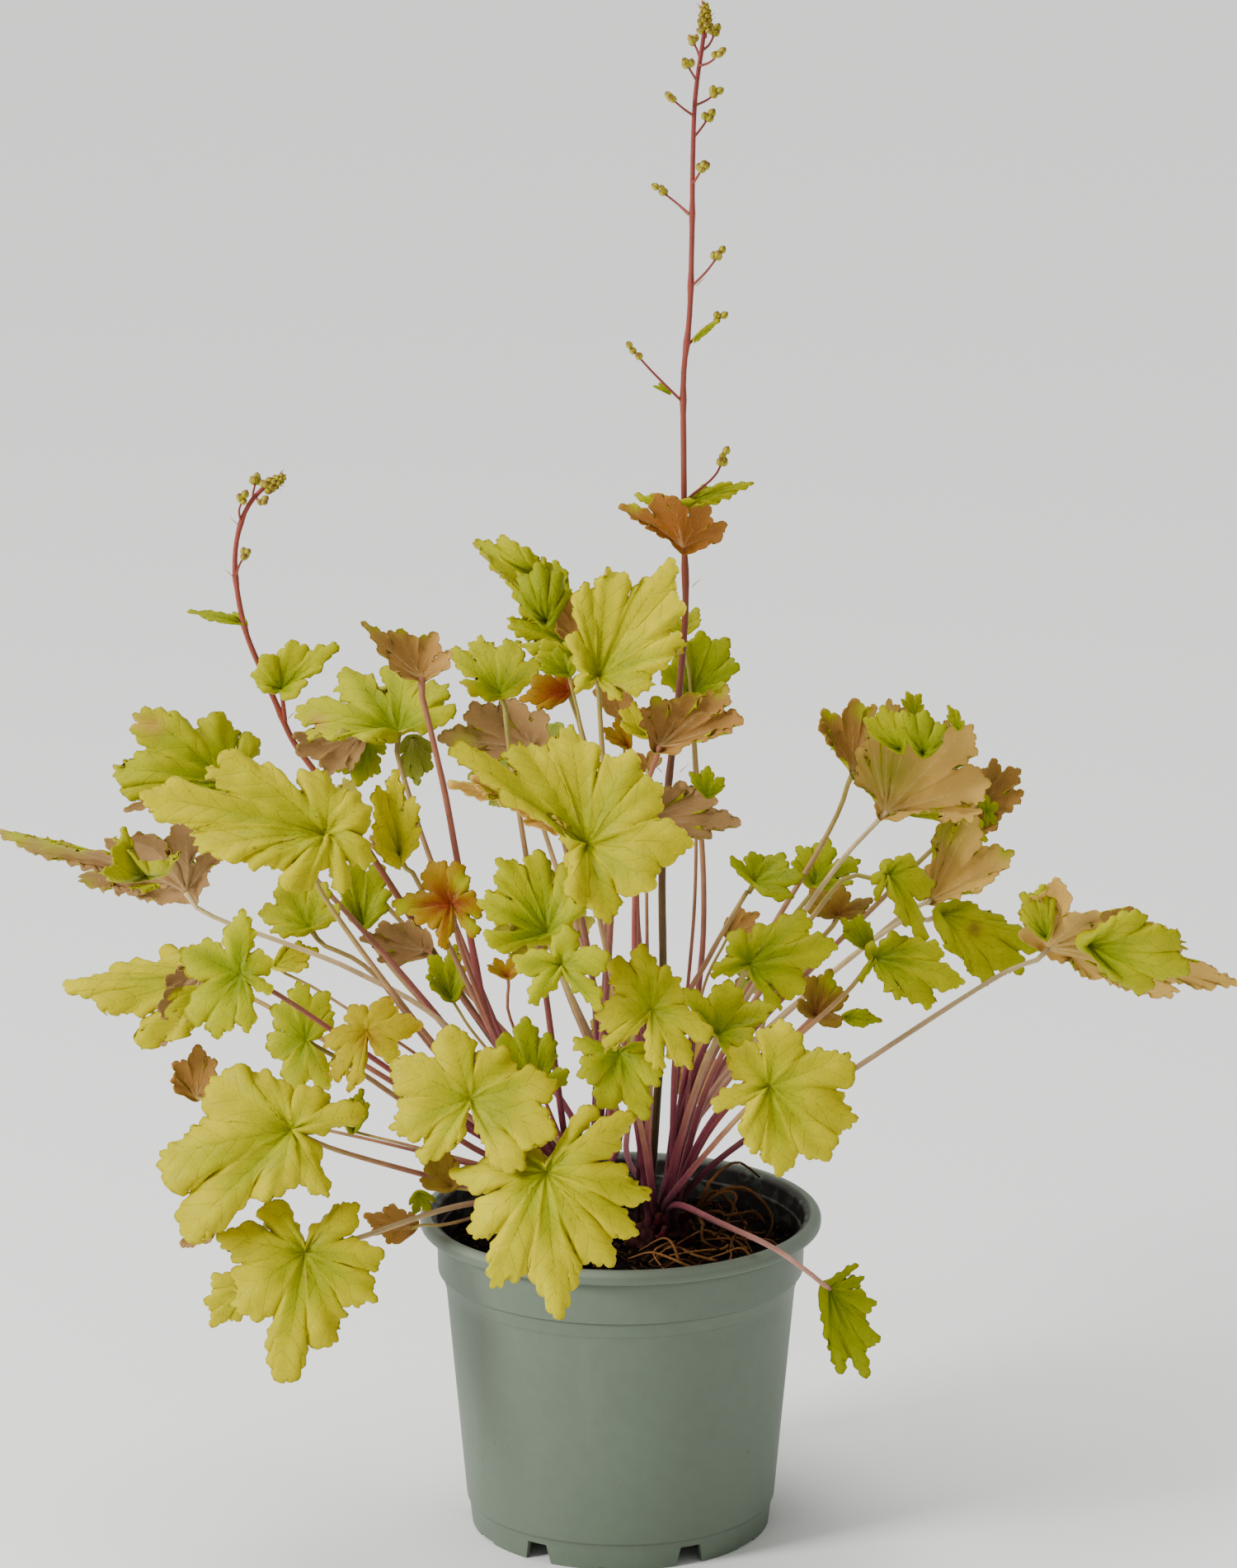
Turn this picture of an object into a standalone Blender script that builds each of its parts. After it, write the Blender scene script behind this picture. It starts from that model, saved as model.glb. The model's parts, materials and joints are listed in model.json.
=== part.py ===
"""Potted heuchera plant: lime, yellow and bronze leaves on a woody crown, two flower stems with buds,
and a round plastic nursery pot filled with peat. Metres, +Z up, the origin under the middle of the pot.

The plant is laid out from a picture of it. A picture place is (right, down, toward): the first two
count picture points in a frame of 1500 by 1902, and the third is how far the place stands from the
pot's axis toward the viewer, in millimetres. onSight turns such a place into metres."""
import math
import random

import bmesh
import bpy
from mathutils import Matrix, Vector

MM = 0.001
WELD = 0.00001
CHIP_CORNERS = 8
ROUTE_STEPS = 12

# The viewer that the picture places are measured from.
FRAME_MIDDLE = (750.0, 951.0)
FOCAL_POINTS = 6500.0
VIEWER = Vector((-0.0009, -2.1661, 0.8346))
VIEW_PITCH = math.radians(13.3)

# The pot, in millimetres: a 17 cm nursery pot with a rolled lip, a collar and six feet.
POT_HEIGHT = 137.5
LIP_RADIUS = 85.0
LIP_BOTTOM = 131.6
COLLAR_RADIUS = 77.7
COLLAR_BOTTOM = 112.6
SHOULDER_RADIUS = 74.1
SHOULDER_HEIGHT = 106.3
WALL_FOOT_RADIUS = 65.6
FOOT_RADIUS = 63.5
WALL = 1.5
FLOOR_UNDER = 9.0
FLOOR_TOP = 11.0
FOOT_COUNT = 6
FIRST_GAP = math.radians(-33.0)
GAP_WIDTH = 13.0
GAP_SLOPE = 2.0
GAP_DEPTH = 14.0
GAP_ROOM_OVER = 0.5
DRAIN_RADIUS = 5.0
DRAIN_CIRCLE = 46.0
DRAIN_DEPTH = 8.0
DRAIN_SIDES = 12
POT_STEPS = 40

# The peat and what stands in it, in millimetres.
SOIL_TOP = 122.0
SOIL_MOUND = 3.0
CLEAR = 0.35
STAND_CLEAR = 0.49
STAND_DEPTH = 60.0
STAND_SIDES = 20
CROWN_PLACE = (15.0, -4.0)
CROWN_RADIUS = 15.0
CROWN_FOOT = 104.0
CROWN_TOP = 141.0
SIDE_HEAD_PLACE = (-15.0, 12.0)
SIDE_HEAD_RADIUS = 12.0
CROWN_DOME = 2.0
CROWN_EDGE = 6.0
CROWN_STEPS = 20

# Leaves and stalks, in millimetres.
BLADE = 0.7
STALK_GAP = 0.3
STALK_ROOT = 8.0
STALK_RING_SHARE = 0.55
STALK_SAMPLES = 6
STALK_FOOT_RADIUS = 1.75
STALK_TIP_RADIUS = 1.05
THIN_STALK_SHARE = 0.62
NECK_REACH = 5.0
NECK_DROP = 3.0
NECK_DIP_SHARE = 0.5
UPPER_SIDE = 0.25
ROOTSTOCK_RADIUS = 6.0

# A sinus lies this share of the way out between two lobe tips: far out between close tips.
CLOSE_SINUS = 0.97
SINUS_LOSS_PER_DEGREE = 0.0042
DEEPEST_SINUS = 0.56
STALK_SINUS = 0.16
WRAPPED_SPREAD = 210.0
LOBE_SHOULDER = 0.66
LOBE_WIDTH = 0.92
MID_RING = 0.52

TONES = {
    "lime": (0.50, 0.58, 0.03),
    "yellow": (0.72, 0.70, 0.04),
    "green": (0.30, 0.40, 0.06),
    "amber": (0.60, 0.30, 0.04),
    "bronze": (0.30, 0.17, 0.08),
    "peach": (0.60, 0.34, 0.20),
    "mauve": (0.36, 0.24, 0.20),
}

# Each leaf: the joint of stalk and blade, its lobe tips in order round the blade from one side of
# the stalk to the other (toward counts from the joint here), the face that the viewer sees, its
# tone, how far the blade swells between joint and margin as a share of its length, and the places
# that its stalk passes on the way to the crown. An openness under 1 has deeper notches, a lift is more
# room between stalk and blade in millimetres, and foot makes the stalk stouter or finer.
LEAVES = {
    "leafFarLeft": {
        "joint": (226, 1083, 0), "shows": "under", "tone": "mauve", "swell": 0.05,
        "lobes": [(264, 1038, 6), (222, 1003, 20), (148, 1004, 22), (1, 1011, 0), (104, 1072, -22),
                  (184, 1094, -16)],
        "via": [(275, 1119, 2), (430, 1178, 6), (560, 1262, 8)],
    },
    "leafUpperLeft": {
        "joint": (275, 950, -44), "shows": "top", "tone": "lime", "swell": 0.08,
        "lobes": [(312, 905, -16), (269, 870, -14), (170, 862, -2), (137, 932, 8), (150, 962, 12),
                  (214, 990, 12)],
        "via": [(330, 1010, -46), (520, 1220, -20)],
    },
    "leafBigYellow": {
        "joint": (394, 1014, 62), "shows": "top", "tone": "yellow", "swell": 0.07,
        "lobes": [(410, 1080, 14), (455, 1043, 6), (449, 976, -8), (399, 932, -14), (276, 917, -6),
                  (173, 967, 8), (241, 1029, 20), (302, 1051, 22), (366, 1082, 22)],
        "via": [(387, 1078, 50), (530, 1271, 40)],
    },
    "leafMidYellow": {
        "joint": (484, 1040, 24), "shows": "top", "tone": "yellow", "swell": 0.06,
        "lobes": [(508, 1020, 10), (506, 976, 0), (478, 936, -10), (452, 962, 0), (455, 1022, 12)],
        "via": [(505, 1067, 24), (590, 1240, 20)],
    },
    "leafTopLeft": {
        "joint": (483, 892, -24), "shows": "top", "tone": "lime", "lift": 0.3, "swell": 0.10,
        "lobes": [(548, 866, 4), (541, 830, -8), (493, 803, -20), (420, 810, -20), (360, 862, -4),
                  (372, 892, 10), (430, 894, 16)],
        "via": [(481, 914, -22), (522, 1043, -16), (600, 1240, 0)],
    },
    "leafStalkTop": {
        "joint": (511, 822, 16), "shows": "under", "tone": "peach", "lift": 0.55, "swell": 0.05,
        "lobes": [(545, 802, 2), (527, 769, -6), (484, 764, -4), (440, 757, 4), (470, 800, 8)],
        "via": [(519, 873, 16), (540, 964, 18), (557, 1058, 20), (575, 1160, 20), (601, 1262, 18)],
        "foot": 1.2,
    },
    "leafFan": {
        "joint": (607, 843, -12), "shows": "top", "tone": "lime", "lift": 0.15, "swell": 0.06,
        "lobes": [(654, 812, 4), (627, 777, -10), (581, 772, -14), (543, 788, -8), (568, 838, 8)],
        "via": [(612, 856, -12), (620, 924, -10), (650, 1120, 0)],
    },
    "leafBehindCentre": {
        "joint": (645, 905, -40), "shows": "under", "tone": "mauve", "lift": 0.3, "swell": 0.05,
        "lobes": [(664, 866, 4), (620, 848, -6), (572, 856, -8), (533, 894, 2), (592, 922, 10)],
        "via": [(668, 960, -38), (720, 1200, -20)],
    },
    "leafCurlyTop": {
        "joint": (690, 785, -16), "shows": "top", "tone": "lime", "lift": 0.15, "swell": 0.06,
        "lobes": [(703, 748, -4), (684, 690, -14), (640, 664, -20), (579, 657, -8), (622, 722, 4),
                  (616, 757, 10), (648, 792, 12)],
        "via": [(696, 850, -16), (735, 1060, -6)],
    },
    "leafBigBright": {
        "joint": (725, 822, 34), "shows": "top", "tone": "yellow", "swell": 0.07,
        "lobes": [(698, 840, 6), (688, 784, 4), (702, 716, -4), (739, 687, -10), (816, 681, -14),
                  (826, 731, -4), (832, 785, 6), (788, 838, 14), (746, 848, 14)],
        "via": [(730, 908, 28), (742, 1090, 22)],
    },
    "leafCentre": {
        "joint": (711, 1027, 88), "shows": "top", "tone": "yellow", "swell": 0.07,
        "lobes": [(640, 990, 6), (548, 908, 2), (630, 898, -10), (690, 878, -16), (764, 914, -8),
                  (798, 954, -2), (837, 1024, 8), (792, 1074, 20), (737, 1116, 26), (690, 1082, 26)],
        "via": [(722, 1090, 70), (756, 1260, 40)],
    },
    "leafCentreLeft": {
        "joint": (664, 1132, 100), "shows": "top", "tone": "lime", "lift": 0.2, "swell": 0.07,
        "lobes": [(712, 1104, 2), (694, 1056, -10), (650, 1033, -14), (606, 1043, -8), (583, 1092, 2),
                  (598, 1150, 14)],
        "via": [(680, 1180, 84), (740, 1330, 50)],
    },
    "leafCentreLow": {
        "joint": (680, 1172, 122), "shows": "top", "tone": "lime", "swell": 0.08,
        "lobes": [(728, 1226, 14), (737, 1160, 2), (688, 1124, -8), (624, 1164, 4), (646, 1218, 16)],
        "via": [(704, 1240, 82), (752, 1370, 46)],
    },
    "leafBehindRight": {
        "joint": (838, 842, -46), "shows": "top", "tone": "green", "lift": 0.3, "swell": 0.06,
        "lobes": [(803, 822, 6), (822, 782, 0), (850, 766, -6), (881, 776, -6), (895, 808, 0),
                  (872, 840, 8)],
        "via": [(842, 900, -48), (852, 1150, -42)],
    },
    "leafCuppedBrown": {
        "joint": (800, 905, 46), "shows": "under", "tone": "bronze", "lift": 0.4, "swell": 0.08,
        "lobes": [(778, 872, 4), (796, 848, -2), (836, 840, -6), (881, 836, -8), (898, 872, -2),
                  (866, 897, 8)],
        "via": [(775, 997, 40), (770, 1180, 31)],
    },
    "leafBrownRight": {
        "joint": (777, 993, 30), "shows": "under", "tone": "mauve", "swell": 0.06,
        "lobes": [(790, 958, 2), (830, 949, -6), (864, 962, -6), (894, 996, 0), (852, 1016, 10),
                  (808, 1012, 12)],
        "via": [(772, 1080, 26), (778, 1260, 20)],
    },
    "leafRightOne": {
        "joint": (915, 1071, -12), "shows": "top", "tone": "green", "lift": 0.2, "swell": 0.06,
        "lobes": [(885, 1044, 0), (912, 1033, -8), (950, 1036, -10), (975, 1062, 0), (952, 1092, 8)],
        "via": [(904, 1085, -12), (860, 1161, -10), (822, 1250, -2)],
    },
    "leafRightBack": {
        "joint": (988, 1074, -62), "shows": "top", "tone": "green", "lift": 0.1, "swell": 0.06,
        "lobes": [(962, 1056, 0), (968, 1028, -6), (1002, 1018, -8), (1042, 1044, 0), (1024, 1077, 8)],
        "via": [(950, 1130, -56), (850, 1300, -24)],
    },
    "leafRightRed": {
        "joint": (1016, 1112, -36), "shows": "top", "tone": "bronze", "lift": 0.3, "swell": 0.06,
        "lobes": [(980, 1106, 2), (984, 1080, -4), (1020, 1075, -6), (1057, 1092, 0), (1042, 1112, 6)],
        "via": [(960, 1180, -30), (860, 1320, -12)],
    },
    "leafRightFront": {
        "joint": (907, 1171, 60), "shows": "top", "tone": "lime", "swell": 0.07,
        "lobes": [(863, 1182, 10), (885, 1133, -2), (923, 1124, -10), (974, 1109, -12), (1015, 1146, -4),
                  (972, 1204, 4), (936, 1222, 8)],
        "via": [(888, 1215, 52), (838, 1340, 30)],
    },
    "leafRightBronze": {
        "joint": (988, 1232, 22), "shows": "top", "tone": "bronze", "lift": 0.2, "swell": 0.06,
        "lobes": [(967, 1222, 4), (978, 1186, -2), (1006, 1178, -6), (1027, 1206, -2), (1018, 1244, 6)],
        "via": [(950, 1270, 22), (860, 1372, 12)],
    },
    "leafRightMid": {
        "joint": (1060, 1163, 40), "shows": "top", "tone": "lime", "swell": 0.06,
        "lobes": [(1043, 1190, 10), (1050, 1146, 0), (1086, 1133, -8), (1136, 1146, -10),
                  (1168, 1190, -2), (1128, 1221, 8), (1078, 1204, 12)],
        "via": [(1016, 1214, 44), (870, 1350, 22)],
    },
    "leafHood": {
        "joint": (1073, 1062, 22), "shows": "top", "tone": "lime", "swell": 0.10,
        "lobes": [(1062, 1092, 8), (1055, 1066, 2), (1072, 1044, -4), (1106, 1038, -10), (1131, 1070, -6),
                  (1122, 1138, 6), (1090, 1112, 12)],
        "via": [(1038, 1062, 20), (1000, 1092, 16), (870, 1290, 8)],
    },
    "leafRightFar": {
        "joint": (1140, 1110, -14), "shows": "top", "tone": "green", "swell": 0.06,
        "lobes": [(1160, 1092, -6), (1204, 1104, -10), (1268, 1144, -4), (1238, 1178, 6),
                  (1198, 1194, 10), (1162, 1158, 8)],
        "via": [(1086, 1122, -16), (980, 1205, -12), (860, 1330, 0)],
    },
    "leafPeach": {
        "joint": (1075, 985, -26), "shows": "under", "tone": "peach", "lift": 0.15, "swell": 0.08,
        "lobes": [(1044, 938, 6), (1056, 880, 2), (1078, 850, -4), (1110, 862, -10), (1178, 880, -8),
                  (1199, 952, 0), (1182, 994, 8), (1120, 988, 10)],
        "via": [(996, 1076, -28), (860, 1290, -10)],
    },
    "leafPeachBehind": {
        "joint": (1035, 937, -54), "shows": "under", "tone": "bronze", "swell": 0.06,
        "lobes": [(1056, 890, 2), (1060, 856, -4), (1036, 848, -6), (998, 862, -4), (994, 880, 2),
                  (1012, 912, 6)],
        "via": [(1000, 1018, -56), (850, 1280, -26)],
    },
    "leafFarBronze": {
        "joint": (1176, 986, -84), "shows": "under", "tone": "bronze", "lift": 0.5, "swell": 0.06,
        "lobes": [(1186, 946, 4), (1206, 922, -2), (1236, 934, -4), (1238, 970, 0), (1206, 1004, 6),
                  (1180, 1026, 8)],
        "via": [(1090, 1070, -76), (880, 1290, -34)],
    },
    "leafPeachLow": {
        "joint": (1128, 1092, -54), "shows": "under", "tone": "peach", "swell": 0.06,
        "lobes": [(1124, 1046, 2), (1150, 975, -6), (1180, 990, -6), (1228, 1036, 0), (1206, 1070, 6),
                  (1168, 1088, 8)],
        "via": [(1070, 1130, -52), (870, 1310, -20)],
    },
    "leafFarRight": {
        "joint": (1271, 1151, 12), "shows": "under", "tone": "peach", "swell": 0.05,
        "lobes": [(1240, 1100, 8), (1283, 1065, 18), (1328, 1108, 20), (1373, 1103, 10),
                  (1437, 1131, 4), (1498, 1192, 0), (1416, 1209, -10), (1326, 1186, -10)],
        "via": [(1202, 1189, 12), (1011, 1313, 12), (880, 1400, 8)],
    },
    "leafDome": {
        "joint": (790, 1225, 116), "shows": "top", "tone": "yellow", "swell": 0.10,
        "lobes": [(738, 1276, 12), (724, 1236, 6), (738, 1168, -10), (778, 1148, -16), (822, 1184, -12),
                  (864, 1250, 2), (838, 1294, 12), (790, 1292, 16)],
        "via": [(790, 1252, 82), (788, 1330, 64), (786, 1390, 48)],
    },
    "leafDomeLow": {
        "joint": (752, 1276, 96), "shows": "top", "tone": "lime", "lift": 0.4, "swell": 0.07,
        "lobes": [(742, 1256, -8), (696, 1262, -2), (702, 1304, 6), (728, 1342, 4), (782, 1354, 4),
                  (802, 1304, 6), (782, 1264, -6)],
        "via": [(768, 1330, 76), (782, 1392, 50)],
    },
    "leafRightShade": {
        "joint": (869, 1257, 92), "shows": "top", "tone": "lime", "swell": 0.07,
        "lobes": [(850, 1240, 2), (828, 1202, -4), (885, 1193, -10), (937, 1220, -8), (912, 1262, 6),
                  (891, 1291, 12)],
        "via": [(850, 1300, 70), (822, 1390, 38)],
    },
    "leafFrontRight": {
        "joint": (932, 1318, 112), "shows": "top", "tone": "yellow", "swell": 0.08,
        "lobes": [(865, 1344, 6), (888, 1272, -4), (946, 1235, -10), (1032, 1281, -8), (1036, 1359, 0),
                  (1004, 1404, 8), (946, 1425, 12), (902, 1382, 12)],
        "via": [(880, 1372, 84), (830, 1430, 44)],
    },
    "leafFrontBig": {
        "joint": (662, 1422, 118), "shows": "top", "tone": "yellow", "lift": 0.5, "swell": 0.08,
        "lobes": [(706, 1348, -12), (764, 1354, -8), (791, 1448, 0), (772, 1496, 6), (740, 1532, 12),
                  (678, 1596, 22), (598, 1562, 18), (571, 1496, 6), (551, 1424, -12), (612, 1388, -20)],
        "via": [(690, 1412, 92), (722, 1440, 50)],
    },
    "leafFrontLeft": {
        "joint": (571, 1334, 102), "shows": "top", "tone": "yellow", "swell": 0.08,
        "lobes": [(617, 1421, 22), (670, 1378, 16), (676, 1310, 0), (614, 1278, -10), (547, 1251, -12),
                  (475, 1292, -6), (476, 1367, 4), (520, 1410, 12)],
        "via": [(606, 1380, 78), (690, 1432, 40)],
    },
    "leafLowLeft": {
        "joint": (370, 1519, 74), "shows": "top", "tone": "yellow", "swell": 0.08,
        "lobes": [(400, 1470, -10), (431, 1461, -8), (463, 1524, 0), (454, 1576, 8), (408, 1628, 14),
                  (343, 1673, 20), (282, 1580, 12), (266, 1502, 2), (330, 1461, -8)],
        "via": [(440, 1500, 56), (560, 1462, 34)],
    },
    "leafLeftFront": {
        "joint": (354, 1371, 72), "shows": "top", "tone": "yellow", "lift": 0.15, "swell": 0.08,
        "lobes": [(437, 1352, -2), (386, 1322, -8), (317, 1297, -12), (260, 1306, -10), (194, 1404, 2),
                  (226, 1500, 12), (339, 1446, 12), (400, 1447, 10)],
        "via": [(424, 1400, 54), (580, 1440, 26)],
    },
    "leafLeftLime": {
        "joint": (372, 1262, 18), "shows": "top", "tone": "lime", "swell": 0.07,
        "lobes": [(404, 1240, 0), (398, 1204, -8), (362, 1192, -10), (332, 1222, -6), (324, 1270, 0),
                  (350, 1322, 10), (400, 1316, 12)],
        "via": [(430, 1296, 14), (570, 1390, 6)],
    },
    "leafLeftAmber": {
        "joint": (445, 1251, 58), "shows": "top", "tone": "amber", "swell": 0.07,
        "lobes": [(476, 1288, 8), (509, 1244, 0), (472, 1214, -8), (426, 1222, -8), (392, 1258, 0),
                  (400, 1306, 8), (432, 1318, 12)],
        "via": [(500, 1300, 48), (640, 1410, 26)],
    },
    "leafLeftUpper": {
        "joint": (292, 1182, 46), "shows": "top", "tone": "lime", "swell": 0.07,
        "lobes": [(328, 1206, 6), (328, 1166, -4), (294, 1106, -12), (221, 1152, -4), (227, 1233, 8),
                  (262, 1256, 12), (308, 1243, 12)],
        "via": [(346, 1212, 42), (520, 1330, 20)],
    },
    "leafLeftLong": {
        "joint": (262, 1186, -22), "shows": "top", "tone": "yellow", "swell": 0.05,
        "lobes": [(226, 1156, -8), (160, 1170, -10), (79, 1196, -4), (128, 1222, 4), (200, 1262, 8)],
        "via": [(330, 1224, -20), (520, 1340, -4)],
    },
    "leafLeftInner": {
        "joint": (376, 1126, -14), "shows": "top", "tone": "lime", "lift": 0.55, "swell": 0.06,
        "lobes": [(412, 1108, 2), (394, 1072, -8), (342, 1071, -10), (315, 1108, -2), (338, 1134, 8)],
        "via": [(393, 1147, -14), (452, 1180, -12), (540, 1290, 0)],
    },
    "leafOrange": {
        "joint": (547, 1097, 58), "shows": "top", "tone": "amber", "swell": 0.07,
        "lobes": [(576, 1136, 8), (586, 1098, 2), (562, 1050, -6), (524, 1047, -8), (477, 1098, 0),
                  (506, 1118, 6), (540, 1151, 12)],
        "via": [(562, 1160, 50), (620, 1300, 36)],
    },
    "leafHanging": {
        "joint": (1005, 1563, 58), "shows": "top", "tone": "green", "lift": 0.5, "swell": 0.05,
        "lobes": [(1032, 1533, -4), (1047, 1550, -2), (1063, 1582, 2), (1065, 1628, 4), (1050, 1666, 6),
                  (1008, 1653, 8)],
        "via": [(976, 1540, 62), (933, 1511, 66), (870, 1482, 50), (826, 1462, 28)],
    },
    "leafPaleFrontLeft": {
        "joint": (648, 1322, 68), "shows": "top", "tone": "green", "lift": 0.2, "swell": 0.06,
        "lobes": [(688, 1312, 2), (672, 1262, -8), (636, 1238, -10), (604, 1262, -6), (606, 1312, 4)],
        "via": [(664, 1370, 56), (720, 1430, 30)],
    },
    "leafBackTop": {
        "joint": (640, 950, -106), "shows": "under", "tone": "green", "lift": 1, "swell": 0.07,
        "lobes": [(690, 930, 10), (676, 880, 0), (634, 866, -14), (588, 892, -16), (570, 940, -4),
                  (604, 980, 8)],
        "via": [(664, 1020, -96), (740, 1280, -40)],
    },
    "leafBackLeft": {
        "joint": (412, 1010, -92), "shows": "under", "tone": "lime", "swell": 0.07,
        "lobes": [(446, 990, 8), (430, 946, -4), (384, 936, -18), (330, 962, -14), (332, 1020, 0),
                  (376, 1048, 10)],
        "via": [(452, 1080, -84), (678, 1330, -56)],
    },
    "leafBackCentre": {
        "joint": (668, 1140, -130), "shows": "under", "tone": "lime", "swell": 0.07,
        "lobes": [(716, 1130, 4), (706, 1070, 2), (660, 1048, -8), (608, 1072, -10), (600, 1130, 0),
                  (630, 1166, 4)],
        "via": [(690, 1210, -98), (750, 1370, -42)],
    },
    "leafBackRight": {
        "joint": (936, 1190, -118), "shows": "under", "tone": "green", "lift": 0.5, "swell": 0.07,
        "lobes": [(980, 1180, 10), (970, 1138, -4), (926, 1128, -14), (884, 1160, -8), (888, 1206, 8)],
        "via": [(918, 1262, -98), (830, 1380, -40)],
    },
    "leafBackLow": {
        "joint": (770, 1250, -134), "shows": "under", "tone": "lime", "lift": 0.2, "swell": 0.07,
        "lobes": [(830, 1252, 10), (820, 1196, 0), (770, 1164, -12), (726, 1200, -8), (716, 1254, 6),
                  (764, 1306, 16)],
        "via": [(768, 1330, -104), (760, 1400, -50)],
    },
}

# Small young leaves that are one body with the stalks, written like the others.
YOUNG_LEAVES = {
    "youngLeftBack": {
        "joint": (440, 1122, -66), "shows": "top", "tone": "green", "swell": 0.06,
        "lobes": [(470, 1096, 0), (462, 1050, -8), (428, 1048, -8), (414, 1092, 2)],
        "via": [(470, 1170, -60), (620, 1340, -20)],
    },
    "youngMauveBehind": {
        "joint": (515, 1154, -36), "shows": "under", "tone": "mauve", "swell": 0.05,
        "lobes": [(522, 1132, 0), (496, 1117, -6), (462, 1120, -6), (437, 1138, 0), (474, 1168, 8)],
        "via": [(560, 1210, -24), (660, 1350, -2)],
    },
    "youngLeftBrown": {
        "joint": (239, 1331, -20), "shows": "under", "tone": "bronze", "swell": 0.05,
        "lobes": [(258, 1314, 2), (260, 1286, -2), (240, 1268, -4), (212, 1290, 0), (212, 1320, 4)],
        "via": [(300, 1350, -18), (480, 1390, -8)],
    },
    "youngPaleInside": {
        "joint": (834, 1334, -44), "shows": "under", "tone": "peach", "swell": 0.06,
        "lobes": [(818, 1312, 0), (822, 1276, -6), (848, 1261, -8), (874, 1288, -2), (866, 1322, 6)],
        "via": [(826, 1380, -30)],
    },
    "youngBehindStem": {
        "joint": (828, 768, -30), "shows": "top", "tone": "lime", "swell": 0.04,
        "lobes": [(798, 758, 2), (806, 742, -4), (846, 739, -6), (848, 758, 0)],
        "via": [(838, 850, -36), (842, 1100, -34)],
    },
    "youngAmber": {
        "joint": (690, 840, 12), "shows": "top", "tone": "amber", "swell": 0.05,
        "lobes": [(706, 822, 2), (681, 811, -4), (648, 821, -2), (632, 848, 3), (664, 860, 6)],
        "via": [(706, 893, 10), (735, 1100, 14)], "foot": 0.8,
    },
    "youngGreen": {
        "joint": (690, 818, 20), "shows": "top", "tone": "green", "swell": 0.04,
        "lobes": [(700, 800, 2), (676, 786, -3), (654, 800, 0), (660, 816, 4)],
        "via": [(704, 880, 16), (738, 1080, 18)],
    },
    "youngOrange": {
        "joint": (762, 906, 2), "shows": "top", "tone": "amber", "swell": 0.04,
        "lobes": [(765, 888, 2), (748, 872, -2), (731, 884, 0), (740, 900, 3)],
        "via": [(764, 1010, 4), (778, 1200, 6)],
    },
    "youngBrownUpper": {
        "joint": (756, 870, -20), "shows": "under", "tone": "bronze", "swell": 0.04,
        "lobes": [(766, 848, 2), (746, 826, -4), (722, 838, 0), (734, 862, 4)],
        "via": [(762, 990, -16), (780, 1200, -6)],
    },
    "youngBrownMid": {
        "joint": (784, 934, -14), "shows": "under", "tone": "bronze", "swell": 0.04,
        "lobes": [(802, 924, 0), (794, 908, -3), (772, 914, 0), (772, 930, 3)],
        "via": [(784, 1060, -10), (786, 1240, -4)],
    },
    "youngRightDark": {
        "joint": (884, 1136, -58), "shows": "under", "tone": "bronze", "swell": 0.04,
        "lobes": [(878, 1120, 0), (896, 1100, -4), (918, 1108, -2), (912, 1132, 3)],
        "via": [(850, 1210, -46), (830, 1360, -10)],
    },
    "youngRed": {
        "joint": (616, 1186, 58), "shows": "top", "tone": "amber", "swell": 0.04,
        "lobes": [(630, 1178, 1), (622, 1162, -3), (600, 1163, -3), (592, 1176, 1)],
        "via": [(620, 1239, 52), (680, 1380, 34)],
    },
    "youngLeftGreen": {
        "joint": (548, 1212, -10), "shows": "top", "tone": "green", "swell": 0.04,
        "lobes": [(564, 1188, 1), (552, 1146, -6), (520, 1160, -3), (522, 1196, 3)],
        "via": [(580, 1260, -6), (680, 1380, 4)],
    },
    "youngLeftYellow": {
        "joint": (334, 1172, -12), "shows": "top", "tone": "yellow", "swell": 0.04,
        "lobes": [(340, 1150, -2), (364, 1142, -5), (384, 1152, -1), (364, 1178, 4)],
        "via": [(400, 1210, -10), (560, 1320, 4)],
    },
    "youngRim": {
        "joint": (500, 1490, 34), "shows": "under", "tone": "bronze", "swell": 0.04,
        "lobes": [(504, 1474, 0), (474, 1462, -4), (442, 1474, -2), (452, 1494, 3), (480, 1508, 4)],
        "via": [(547, 1484, 34), (640, 1458, 26)],
    },
    "youngLeftSmall": {
        "joint": (428, 1372, 8), "shows": "top", "tone": "green", "swell": 0.04,
        "lobes": [(446, 1350, 0), (438, 1322, -5), (420, 1336, -2), (417, 1364, 3)],
        "via": [(490, 1388, 8), (610, 1420, 8)],
    },
    "youngCrinkled": {
        "joint": (548, 1440, 46), "shows": "top", "tone": "bronze", "swell": 0.04,
        "lobes": [(559, 1420, 0), (540, 1391, -5), (512, 1404, -3), (514, 1440, 3)],
        "via": [(600, 1446, 42), (680, 1446, 30)],
    },
}

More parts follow.
